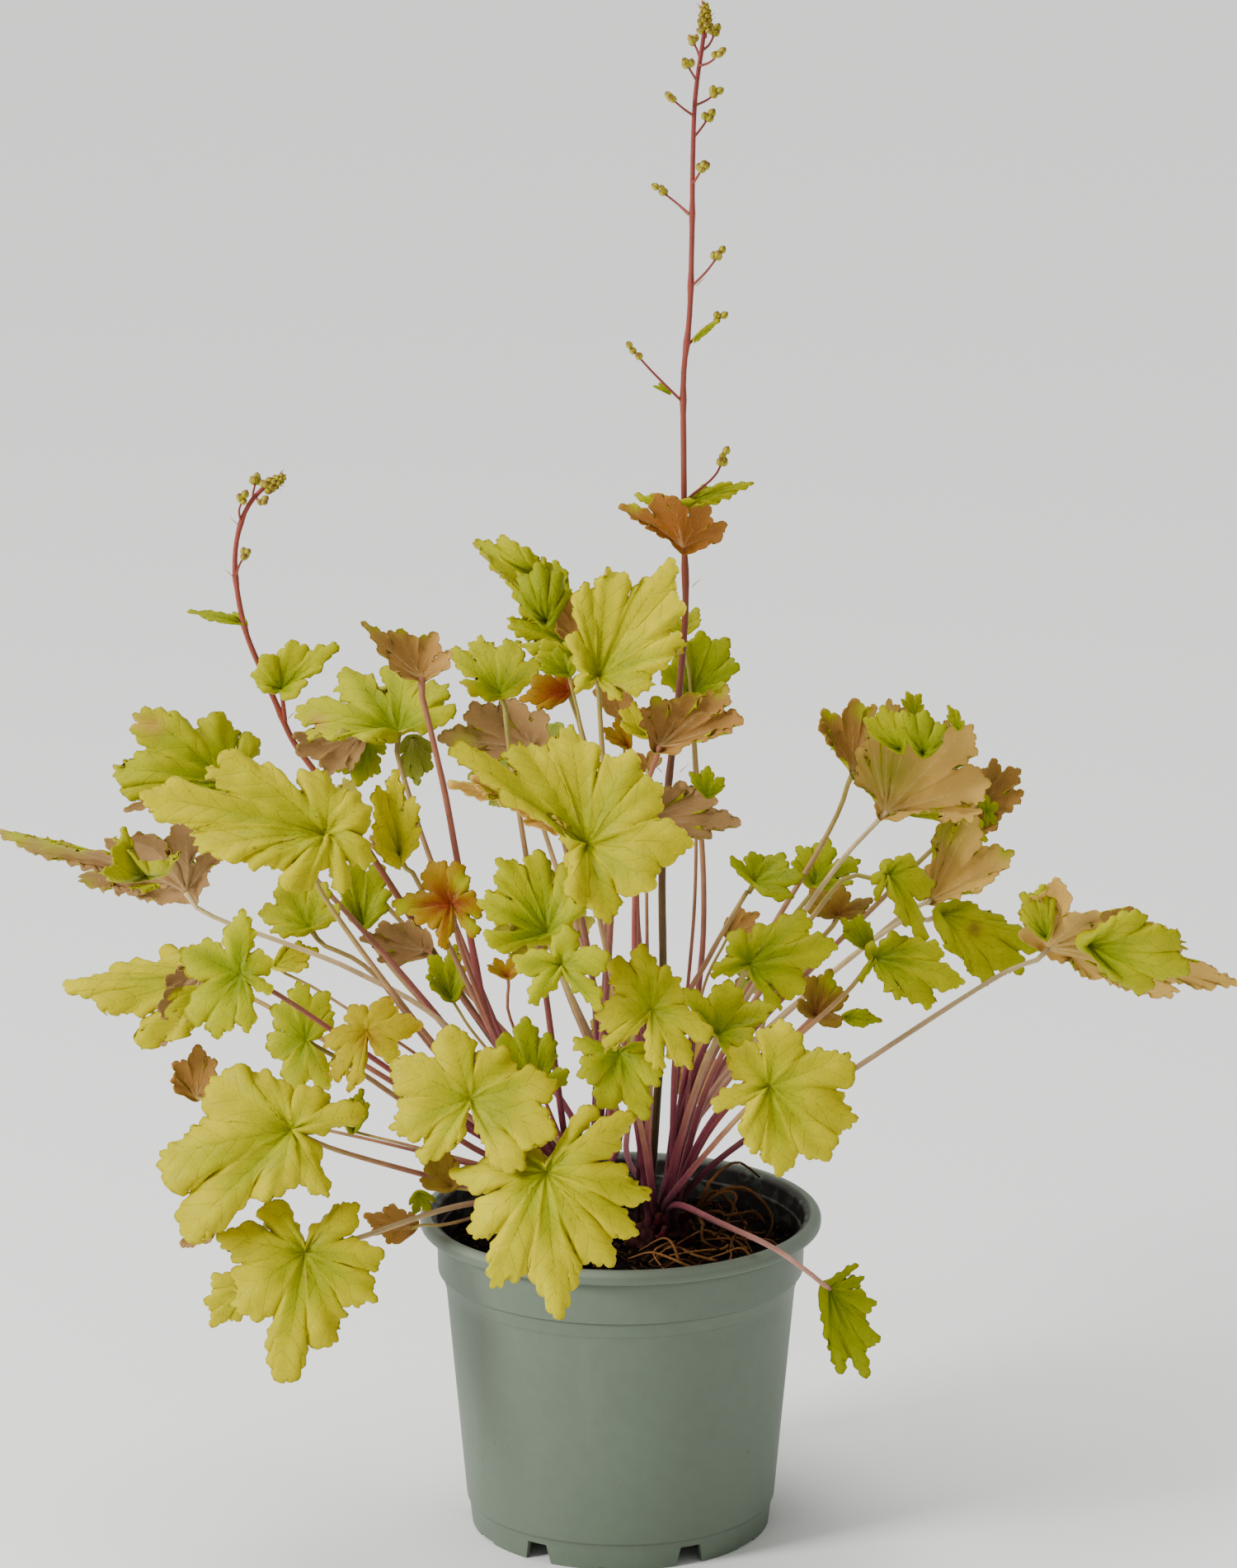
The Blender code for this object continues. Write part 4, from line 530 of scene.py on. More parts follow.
leafRows = {
    "leafFarLeft": leafRow((226, 1083, 0), "under", "mauve", 0.05,
        [(264, 1038, 6), (222, 1003, 20), (148, 1004, 22), (1, 1011, 0), (104, 1072, -22),
         (184, 1094, -16)],
        via=[(275, 1119, 2), (430, 1178, 6), (560, 1262, 8)], openness=0.8, curl=1.0,
        blots=[(22, 1010, 18, "turned"), (64, 1014, 20, "turned"), (98, 1022, 12, "turned"),
        (104, 1072, 10, "lime")], stalk="pale"),
    "leafUpperLeft": leafRow((275, 950, -44), "top", "lime", 0.08,
        [(312, 905, -16), (269, 870, -14), (170, 862, -2), (137, 932, 8), (150, 962, 12), (214, 990, 12)],
        via=[(330, 1010, -46), (520, 1220, -20)], blots=[(186, 880, 13, "peach"), (166, 876, 9, "peach")]),
    "leafBigYellow": leafRow((394, 1014, 62), "top", "yellow", 0.07,
        [(410, 1080, 14), (455, 1043, 6), (449, 976, -8), (399, 932, -14), (276, 917, -6), (173, 967, 8),
         (241, 1029, 20), (302, 1051, 22), (366, 1082, 22)],
        via=[(387, 1078, 50), (530, 1271, 40)], curl=1.2),
    "leafMidYellow": leafRow((484, 1040, 24), "top", "yellow", 0.06,
        [(508, 1020, 10), (506, 976, 0), (478, 936, -10), (452, 962, 0), (455, 1022, 12)],
        via=[(505, 1067, 24), (590, 1240, 20)]),
    "leafTopLeft": leafRow((483, 892, -24), "top", "lime", 0.1,
        [(548, 866, 4), (541, 830, -8), (493, 803, -20), (420, 810, -20), (360, 862, -4), (372, 892, 10),
         (430, 894, 16)],
        via=[(481, 914, -22), (522, 1043, -16), (600, 1240, 0)], curl=1.2, blots=[(386, 876, 10, "peach")]),
    "leafStalkTop": leafRow((511, 822, 16), "under", "peach", 0.05,
        [(545, 802, 2), (527, 769, -6), (484, 764, -4), (440, 757, 4), (470, 800, 8)],
        via=[(519, 873, 16), (540, 964, 18), (557, 1058, 20), (575, 1160, 20), (601, 1262, 18)], foot=1.2,
        curl=1.0, blots=[(500, 790, 70, "bronze"), (456, 757, 10, "turned"), (486, 760, 9, "turned"),
        (512, 766, 8, "turned")], stalk="red"),
    "leafFan": leafRow((607, 843, -12), "top", "lime", 0.06,
        [(654, 812, 4), (627, 777, -10), (581, 772, -14), (543, 788, -8), (568, 838, 8)],
        via=[(612, 856, -12), (620, 924, -10), (650, 1120, 0)], blots=[(552, 846, 18, "amber")]),
    "leafBehindCentre": leafRow((645, 905, -40), "under", "mauve", 0.05,
        [(664, 866, 4), (620, 848, -6), (572, 856, -8), (533, 894, 2), (592, 922, 10)],
        via=[(668, 960, -38), (720, 1200, -20)], blots=[(562, 902, 17, "lime")]),
    "leafCurlyTop": leafRow((690, 785, -16), "top", "lime", 0.06,
        [(703, 748, -4), (684, 690, -14), (640, 664, -20), (579, 657, -8), (622, 722, 4), (616, 757, 10),
         (648, 792, 12)],
        via=[(696, 850, -16), (735, 1060, -6)], openness=1.05, blots=[(660, 715, 24, "green")],
        stalk="red"),
    "leafBigBright": leafRow((725, 822, 34), "top", "yellow", 0.07,
        [(698, 840, 6), (688, 784, 4), (702, 716, -4), (739, 687, -10), (816, 681, -14), (826, 731, -4),
         (832, 785, 6), (788, 838, 14), (746, 848, 14)],
        via=[(730, 908, 28), (742, 1090, 22)], lobeWidth=0.94),
    "leafCentre": leafRow((711, 1027, 88), "top", "yellow", 0.07,
        [(640, 990, 6), (548, 908, 2), (630, 898, -10), (690, 878, -16), (764, 914, -8), (798, 954, -2),
         (837, 1024, 8), (792, 1074, 20), (737, 1116, 26), (690, 1082, 26)],
        via=[(722, 1090, 70), (756, 1260, 40)]),
    "leafCentreLeft": leafRow((664, 1132, 100), "top", "lime", 0.07,
        [(712, 1104, 2), (694, 1056, -10), (650, 1033, -14), (606, 1043, -8), (583, 1092, 2),
         (598, 1150, 14)], via=[(680, 1180, 84), (740, 1330, 50)], curl=1.4),
    "leafCentreLow": leafRow((680, 1172, 122), "top", "lime", 0.08,
        [(728, 1226, 14), (737, 1160, 2), (688, 1124, -8), (624, 1164, 4), (646, 1218, 16)],
        via=[(704, 1240, 82), (752, 1370, 46)]),
    "leafBehindRight": leafRow((838, 842, -46), "top", "green", 0.06,
        [(803, 822, 6), (822, 782, 0), (850, 766, -6), (881, 776, -6), (895, 808, 0), (872, 840, 8)],
        via=[(842, 900, -48), (852, 1150, -42)]),
    "leafCuppedBrown": leafRow((800, 905, 46), "under", "bronze", 0.08,
        [(778, 872, 4), (796, 848, -2), (836, 840, -6), (881, 836, -8), (898, 872, -2), (866, 897, 8)],
        via=[(775, 997, 40), (770, 1180, 31)], blots=[(796, 846, 9, "turned"), (818, 838, 9, "turned"),
        (845, 836, 9, "turned"), (872, 838, 9, "turned")], stalk="red"),
    "leafBrownRight": leafRow((777, 993, 30), "under", "mauve", 0.06,
        [(790, 958, 2), (830, 949, -6), (864, 962, -6), (894, 996, 0), (852, 1016, 10), (808, 1012, 12)],
        via=[(772, 1080, 26), (778, 1260, 20)], stalk="red"),
    "leafRightOne": leafRow((915, 1071, -12), "top", "green", 0.06,
        [(885, 1044, 0), (912, 1033, -8), (950, 1036, -10), (975, 1062, 0), (952, 1092, 8)],
        via=[(904, 1085, -12), (860, 1161, -10), (822, 1250, -2)]),
    "leafRightBack": leafRow((988, 1074, -62), "top", "green", 0.06,
        [(962, 1056, 0), (968, 1028, -6), (1002, 1018, -8), (1042, 1044, 0), (1024, 1077, 8)],
        via=[(950, 1130, -56), (850, 1300, -24)]),
    "leafRightRed": leafRow((1016, 1112, -36), "top", "bronze", 0.06,
        [(980, 1106, 2), (984, 1080, -4), (1020, 1075, -6), (1057, 1092, 0), (1042, 1112, 6)],
        via=[(960, 1180, -30), (860, 1320, -12)]),
    "leafRightFront": leafRow((907, 1171, 60), "top", "lime", 0.07,
        [(863, 1182, 10), (885, 1133, -2), (923, 1124, -10), (974, 1109, -12), (1015, 1146, -4),
         (972, 1204, 4), (936, 1222, 8)], via=[(888, 1215, 52), (838, 1340, 30)]),
    "leafRightBronze": leafRow((988, 1232, 22), "top", "bronze", 0.06,
        [(967, 1222, 4), (978, 1186, -2), (1006, 1178, -6), (1027, 1206, -2), (1018, 1244, 6)],
        via=[(950, 1270, 22), (860, 1372, 12)], blots=[(1010, 1190, 12, "green")], stalk="red"),
    "leafRightMid": leafRow((1060, 1163, 40), "top", "lime", 0.06,
        [(1043, 1190, 10), (1050, 1146, 0), (1086, 1133, -8), (1136, 1146, -10), (1168, 1190, -2),
         (1128, 1221, 8), (1078, 1204, 12)], via=[(1016, 1214, 44), (870, 1350, 22)]),
    "leafHood": leafRow((1073, 1062, 22), "top", "lime", 0.1,
        [(1062, 1092, 8), (1055, 1066, 2), (1072, 1044, -4), (1106, 1038, -10), (1131, 1070, -6),
         (1122, 1138, 6), (1090, 1112, 12)], via=[(1038, 1062, 20), (1000, 1092, 16), (870, 1290, 8)]),
    "leafRightFar": leafRow((1140, 1110, -14), "top", "green", 0.06,
        [(1160, 1092, -6), (1204, 1104, -10), (1268, 1144, -4), (1238, 1178, 6), (1198, 1194, 10),
         (1162, 1158, 8)],
        via=[(1086, 1122, -16), (980, 1205, -12), (860, 1330, 0)], curl=0.6,
        blots=[(1190, 1140, 60, "lime"), (1182, 1127, 10, "bronze")], stalk="pale"),
    "leafPeach": leafRow((1075, 985, -26), "under", "peach", 0.08,
        [(1044, 938, 6), (1056, 880, 2), (1078, 850, -4), (1110, 862, -10), (1178, 880, -8), (1199, 952, 0),
         (1182, 994, 8), (1120, 988, 10)],
        via=[(996, 1076, -28), (860, 1290, -10)], curl=0.5, openness=1.1, blots=[(1078, 935, 30, "lime")],
        stalk="pale"),
    "leafPeachBehind": leafRow((1035, 937, -54), "under", "bronze", 0.06,
        [(1056, 890, 2), (1060, 856, -4), (1036, 848, -6), (998, 862, -4), (994, 880, 2), (1012, 912, 6)],
        via=[(1000, 1018, -56), (850, 1280, -26)], blots=[(1046, 862, 11, "turned"),
        (1006, 866, 9, "turned")]),
    "leafFarBronze": leafRow((1176, 986, -84), "under", "bronze", 0.06,
        [(1186, 946, 4), (1206, 922, -2), (1236, 934, -4), (1238, 970, 0), (1206, 1004, 6),
         (1180, 1026, 8)], via=[(1090, 1070, -76), (880, 1290, -34)]),
    "leafPeachLow": leafRow((1128, 1092, -54), "under", "peach", 0.06,
        [(1124, 1046, 2), (1150, 975, -6), (1180, 990, -6), (1228, 1036, 0), (1206, 1070, 6),
         (1168, 1088, 8)],
        via=[(1070, 1130, -52), (870, 1310, -20)], curl=0.6, openness=1.05, blots=[(1144, 1004, 26, "lime"),
        (1220, 1032, 11, "turned")], stalk="pale"),
    "leafFarRight": leafRow((1271, 1151, 12), "under", "peach", 0.05,
        [(1240, 1100, 8), (1283, 1065, 18), (1328, 1108, 20), (1373, 1103, 10), (1437, 1131, 4),
         (1498, 1192, 0), (1416, 1209, -10), (1326, 1186, -10)],
        via=[(1202, 1189, 12), (1011, 1313, 12), (880, 1400, 8)], openness=0.9, curl=0.8, stalk="pale"),
    "leafDome": leafRow((790, 1225, 116), "top", "yellow", 0.1,
        [(738, 1276, 12), (724, 1236, 6), (738, 1168, -10), (778, 1148, -16), (822, 1184, -12),
         (864, 1250, 2), (838, 1294, 12), (790, 1292, 16)],
        via=[(790, 1252, 82), (788, 1330, 64), (786, 1390, 48)]),
    "leafDomeLow": leafRow((752, 1276, 96), "top", "lime", 0.07,
        [(742, 1256, -8), (696, 1262, -2), (702, 1304, 6), (728, 1342, 4), (782, 1354, 4), (802, 1304, 6),
         (782, 1264, -6)], via=[(768, 1330, 76), (782, 1392, 50)]),
    "leafRightShade": leafRow((869, 1257, 92), "top", "lime", 0.07,
        [(850, 1240, 2), (828, 1202, -4), (885, 1193, -10), (937, 1220, -8), (912, 1262, 6),
         (891, 1291, 12)], via=[(850, 1300, 70), (822, 1390, 38)]),
    "leafFrontRight": leafRow((932, 1318, 112), "top", "yellow", 0.08,
        [(865, 1344, 6), (888, 1272, -4), (946, 1235, -10), (1032, 1281, -8), (1036, 1359, 0),
         (1004, 1404, 8), (946, 1425, 12), (902, 1382, 12)], via=[(880, 1372, 84), (830, 1430, 44)]),
    "leafFrontBig": leafRow((662, 1422, 118), "top", "yellow", 0.08,
        [(706, 1348, -12), (764, 1354, -8), (791, 1448, 0), (772, 1496, 6), (740, 1532, 12),
         (678, 1596, 22), (598, 1562, 18), (571, 1496, 6), (551, 1424, -12), (612, 1388, -20)],
        via=[(690, 1412, 92), (722, 1440, 50)], openness=0.88, lobeWidth=0.92),
    "leafFrontLeft": leafRow((571, 1334, 102), "top", "yellow", 0.08,
        [(617, 1421, 22), (670, 1378, 16), (676, 1310, 0), (614, 1278, -10), (547, 1251, -12),
         (475, 1292, -6), (476, 1367, 4), (520, 1410, 12)], via=[(606, 1380, 78), (690, 1432, 40)]),
    "leafLowLeft": leafRow((370, 1519, 74), "top", "yellow", 0.08,
        [(400, 1470, -10), (431, 1461, -8), (463, 1524, 0), (454, 1576, 8), (408, 1628, 14),
         (343, 1673, 20), (282, 1580, 12), (266, 1502, 2), (330, 1461, -8)],
        via=[(440, 1500, 56), (560, 1462, 34)], openness=0.95, stalk="pale"),
    "leafLeftFront": leafRow((354, 1371, 72), "top", "yellow", 0.08,
        [(437, 1352, -2), (386, 1322, -8), (317, 1297, -12), (260, 1306, -10), (194, 1404, 2),
         (226, 1500, 12), (339, 1446, 12), (400, 1447, 10)], via=[(424, 1400, 54), (580, 1440, 26)]),
    "leafLeftLime": leafRow((372, 1262, 18), "top", "lime", 0.07,
        [(404, 1240, 0), (398, 1204, -8), (362, 1192, -10), (332, 1222, -6), (324, 1270, 0),
         (350, 1322, 10), (400, 1316, 12)], via=[(430, 1296, 14), (570, 1390, 6)]),
    "leafLeftAmber": leafRow((445, 1251, 58), "top", "amber", 0.07,
        [(476, 1288, 8), (509, 1244, 0), (472, 1214, -8), (426, 1222, -8), (392, 1258, 0), (400, 1306, 8),
         (432, 1318, 12)],
        via=[(500, 1300, 48), (640, 1410, 26)], blots=[(445, 1270, 60, "yellow"),
        (446, 1262, 22, "amber")]),
    "leafLeftUpper": leafRow((292, 1182, 46), "top", "lime", 0.07,
        [(328, 1206, 6), (328, 1166, -4), (294, 1106, -12), (221, 1152, -4), (227, 1233, 8),
         (262, 1256, 12), (308, 1243, 12)], via=[(346, 1212, 42), (520, 1330, 20)], stalk="red"),
    "leafLeftLong": leafRow((262, 1186, -22), "top", "yellow", 0.05,
        [(226, 1156, -8), (160, 1170, -10), (79, 1196, -4), (128, 1222, 4), (200, 1262, 8)],
        via=[(330, 1224, -20), (520, 1340, -4)]),
    "leafLeftInner": leafRow((376, 1126, -14), "top", "lime", 0.06,
        [(412, 1108, 2), (394, 1072, -8), (342, 1071, -10), (315, 1108, -2), (338, 1134, 8)],
        via=[(393, 1147, -14), (452, 1180, -12), (540, 1290, 0)]),
    "leafOrange": leafRow((547, 1097, 58), "top", "amber", 0.07,
        [(576, 1136, 8), (586, 1098, 2), (562, 1050, -6), (524, 1047, -8), (477, 1098, 0), (506, 1118, 6),
         (540, 1151, 12)],
        via=[(562, 1160, 50), (620, 1300, 36)], lobeWidth=1.15, curl=1.8, blots=[(486, 1100, 14, "lime"),
        (560, 1070, 12, "lime"), (575, 1120, 12, "lime")], stalk="red"),
    "leafHanging": leafRow((1005, 1563, 58), "top", "green", 0.05,
        [(1032, 1533, -4), (1047, 1550, -2), (1063, 1582, 2), (1065, 1628, 4), (1050, 1666, 6),
         (1008, 1653, 8)],
        via=[(976, 1540, 62), (933, 1511, 66), (870, 1482, 50), (826, 1462, 28)], openness=0.8, curl=1.4,
        stalk="pink"),
    "leafPaleFrontLeft": leafRow((648, 1322, 68), "top", "green", 0.06,
        [(688, 1312, 2), (672, 1262, -8), (636, 1238, -10), (604, 1262, -6), (606, 1312, 4)],
        via=[(664, 1370, 56), (720, 1430, 30)]),
    "leafBackTop": leafRow((640, 950, -106), "under", "green", 0.07,
        [(690, 930, 10), (676, 880, 0), (634, 866, -14), (588, 892, -16), (570, 940, -4), (604, 980, 8)],
        via=[(664, 1020, -96), (740, 1280, -40)]),
    "leafBackLeft": leafRow((412, 1010, -92), "under", "lime", 0.07,
        [(446, 990, 8), (430, 946, -4), (384, 936, -18), (330, 962, -14), (332, 1020, 0), (376, 1048, 10)],
        via=[(452, 1080, -84), (678, 1330, -56)]),
    "leafBackCentre": leafRow((668, 1140, -130), "under", "lime", 0.07,
        [(716, 1130, 4), (706, 1070, 2), (660, 1048, -8), (608, 1072, -10), (600, 1130, 0), (630, 1166, 4)],
        via=[(690, 1210, -98), (750, 1370, -42)]),
    "leafBackRight": leafRow((936, 1190, -118), "under", "green", 0.07,
        [(980, 1180, 10), (970, 1138, -4), (926, 1128, -14), (884, 1160, -8), (888, 1206, 8)],
        via=[(918, 1262, -98), (830, 1380, -40)]),
    "leafBackLow": leafRow((770, 1250, -134), "under", "lime", 0.07,
        [(830, 1252, 10), (820, 1196, 0), (770, 1164, -12), (726, 1200, -8), (716, 1254, 6),
         (764, 1306, 16)], via=[(768, 1330, -104), (760, 1400, -50)]),
}

# small young leaves on finer stalks
youngRows = {
    "youngLeftBack": leafRow((440, 1122, -66), "top", "green", 0.06,
        [(470, 1096, 0), (462, 1050, -8), (428, 1048, -8), (414, 1092, 2)],
        via=[(470, 1170, -60), (620, 1340, -20)]),
    "youngMauveBehind": leafRow((515, 1154, -36), "under", "mauve", 0.05,
        [(522, 1132, 0), (496, 1117, -6), (462, 1120, -6), (437, 1138, 0), (474, 1168, 8)],
        via=[(560, 1210, -24), (660, 1350, -2)], stalk="red"),
    "youngLeftBrown": leafRow((239, 1331, -20), "under", "bronze", 0.05,
        [(258, 1314, 2), (260, 1286, -2), (240, 1268, -4), (212, 1290, 0), (212, 1320, 4)],
        via=[(300, 1350, -18), (480, 1390, -8)]),
    "youngPaleInside": leafRow((834, 1334, -44), "under", "peach", 0.06,
        [(818, 1312, 0), (822, 1276, -6), (848, 1261, -8), (874, 1288, -2), (866, 1322, 6)],
        via=[(826, 1380, -30)]),
    "youngBehindStem": leafRow((828, 768, -30), "top", "lime", 0.04,
        [(798, 758, 2), (806, 742, -4), (846, 739, -6), (848, 758, 0)],
        via=[(838, 850, -36), (842, 1100, -34)]),
    "youngAmber": leafRow((690, 840, 12), "top", "amber", 0.05,
        [(706, 822, 2), (681, 811, -4), (648, 821, -2), (632, 848, 3), (664, 860, 6)],
        via=[(706, 893, 10), (735, 1100, 14)], foot=0.8),
    "youngGreen": leafRow((690, 818, 20), "top", "green", 0.04,
        [(700, 800, 2), (676, 786, -3), (654, 800, 0), (660, 816, 4)],
        via=[(704, 880, 16), (738, 1080, 18)]),
    "youngOrange": leafRow((762, 906, 2), "top", "amber", 0.04,
        [(765, 888, 2), (748, 872, -2), (731, 884, 0), (740, 900, 3)],
        via=[(764, 1010, 4), (778, 1200, 6)]),
    "youngBrownUpper": leafRow((756, 870, -20), "under", "bronze", 0.04,
        [(766, 848, 2), (746, 826, -4), (722, 838, 0), (734, 862, 4)],
        via=[(762, 990, -16), (780, 1200, -6)]),
    "youngBrownMid": leafRow((784, 934, -14), "under", "bronze", 0.04,
        [(802, 924, 0), (794, 908, -3), (772, 914, 0), (772, 930, 3)],
        via=[(784, 1060, -10), (786, 1240, -4)]),
    "youngRightDark": leafRow((884, 1136, -58), "under", "bronze", 0.04,
        [(878, 1120, 0), (896, 1100, -4), (918, 1108, -2), (912, 1132, 3)],
        via=[(850, 1210, -46), (830, 1360, -10)]),
    "youngRed": leafRow((616, 1186, 58), "top", "amber", 0.04,
        [(630, 1178, 1), (622, 1162, -3), (600, 1163, -3), (592, 1176, 1)],
        via=[(620, 1239, 52), (680, 1380, 34)], stalk="red"),
    "youngLeftGreen": leafRow((548, 1212, -10), "top", "green", 0.04,
        [(564, 1188, 1), (552, 1146, -6), (520, 1160, -3), (522, 1196, 3)],
        via=[(580, 1260, -6), (680, 1380, 4)]),
    "youngLeftYellow": leafRow((334, 1172, -12), "top", "yellow", 0.04,
        [(340, 1150, -2), (364, 1142, -5), (384, 1152, -1), (364, 1178, 4)],
        via=[(400, 1210, -10), (560, 1320, 4)]),
    "youngRim": leafRow((500, 1490, 34), "under", "bronze", 0.04,
        [(504, 1474, 0), (474, 1462, -4), (442, 1474, -2), (452, 1494, 3), (480, 1508, 4)],
        via=[(547, 1484, 34), (640, 1458, 26)]),
    "youngLeftSmall": leafRow((428, 1372, 8), "top", "green", 0.04,
        [(446, 1350, 0), (438, 1322, -5), (420, 1336, -2), (417, 1364, 3)],
        via=[(490, 1388, 8), (610, 1420, 8)]),
    "youngCrinkled": leafRow((548, 1440, 46), "top", "bronze", 0.04,
        [(559, 1420, 0), (540, 1391, -5), (512, 1404, -3), (514, 1440, 3)],
        via=[(600, 1446, 42), (680, 1446, 30)]),
}

# leaves that grow on the flower stems
stemLeafRows = {
    "stemLeafBrown": leafRow((828, 664, 3.4), "under", "bronze", 0.05,
        [(876, 648, 0), (858, 616, 6), (816, 602, 12), (798, 599, 8), (754, 613, 4), (800, 652, 2)],
        blots=[(820, 650, 70, "amber"), (770, 612, 8, "turned")]),
    "stemLeafLime": leafRow((836, 610, -5), "top", "lime", 0.05,
        [(844, 596, -4), (876, 586, -8), (913, 586, -10), (886, 603, -2), (858, 613, 2)]),
    "leftStemLeaf": leafRow((341, 836, -54), "top", "lime", 0.06,
        [(318, 838, 3), (306, 818, 2), (318, 796, 3), (356, 779, -2), (410, 783, -2), (360, 843, 6)]),
}

# flower stems: the route, the side branches with their buds, and the head
tallStem = {
    "route": [(790, 1496, -28), (790, 1440, -28), (797, 1330, -28), (803, 1240, -20), (804, 1178, -12),
              (803, 1048, -2), (810, 956, 0), (823, 844, 0), (831, 742, 0), (830, 663, 0), (829, 550, 0),
              (829, 455, 0), (836, 384, 0), (839, 290, 0), (840, 200, 0), (842, 134, 0), (846, 92, 0),
              (851, 60, 0), (855, 30, 0)],
    "radii": (1.9, 0.9), "hairs": 260,
    "branches": [
        ((827, 487, 0), (790, 450, 6), (767, 424, 8)), ((836, 417, 0), (852, 400, -4), (871, 387, -5)),
        ((839, 347, 0), (856, 330, 5), (872, 309, 6)), ((839, 262, 0), (820, 246, -6), (801, 231, -8)),
        ((840, 223, 0), (846, 214, 4), (851, 205, 6)), ((841, 167, 0), (850, 156, -6), (859, 143, -8)),
        ((842, 141, 0), (829, 132, 5), (815, 120, 6)), ((843, 128, 0), (856, 122, -6), (866, 115, -8)),
        ((845, 98, 0), (840, 90, 4), (834, 80, 6)), ((848, 80, 0), (860, 76, 6), (871, 67, 8)),
        ((849, 72, 0), (846, 62, -4), (841, 52, -6)), ((851, 62, 0), (860, 54, -4), (867, 40, -6)),
        ((829, 609, 0), (866, 578, -6), (878, 553, -8)),
    ],
    "leafStalks": [("stemLeafLime", (829, 622, 0))],
    "head": [(855, 40, 0), (855, 3, 0)], "headRadius": 4.2, "headBuds": 27,
    "nodes": [(829, 487, 0), (836, 417, 0), (839, 347, 0), (839, 262, 0), (830, 688, 0), (830, 712, 0),
              (811, 937, 0)],
    "bracts": [(824, 688, 0, 180), (836, 712, 0, 0), (806, 937, 0, 180), (821, 937, 0, 0),
               (829, 487, 0, 180), (838, 417, 0, 0), (841, 347, 0, 0), (838, 262, 0, 180)],
}
leftStem = {
    "route": [(696, 1496, -31), (694, 1440, -31), (650, 1340, -38), (548, 1190, -46), (452, 1040, -52),
              (392, 950, -56), (356, 900, -58), (336, 856, -58), (316, 811, -58), (298, 766, -58),
              (287, 712, -58), (285, 675, -58), (289, 646, -58), (298, 619, -58), (311, 600, -58),
              (326, 587, -58)],
    "radii": (1.9, 1.0), "hairs": 160,
    "branches": [
        ((286, 700, -58), (290, 686, -54), (297, 674, -52)),
        ((293, 637, -58), (290, 620, -56), (294, 607, -55)),
        ((306, 609, -58), (307, 598, -62), (310, 585, -64)),
        ((310, 603, -58), (315, 610, -54), (318, 610, -52)),
    ],
    "leafStalks": [("leftStemLeaf", (346, 877, -58))],
    "head": [(320, 593, -58), (345, 578, -58)], "headRadius": 4.4, "headBuds": 24,
    "bract": leafRow((295, 757, -58), "top", "green", 0.03,
                     [(290, 744, 0), (264, 742, -3), (230, 741, -1), (262, 754, 3)]),
    "nodes": [(295, 757, -58), (286, 700, -58), (293, 637, -58), (341, 866, -58)],
    "bracts": [(296, 757, -58, 180), (286, 700, -58, 180), (292, 637, -58, 180), (346, 872, -58, 0)],
}


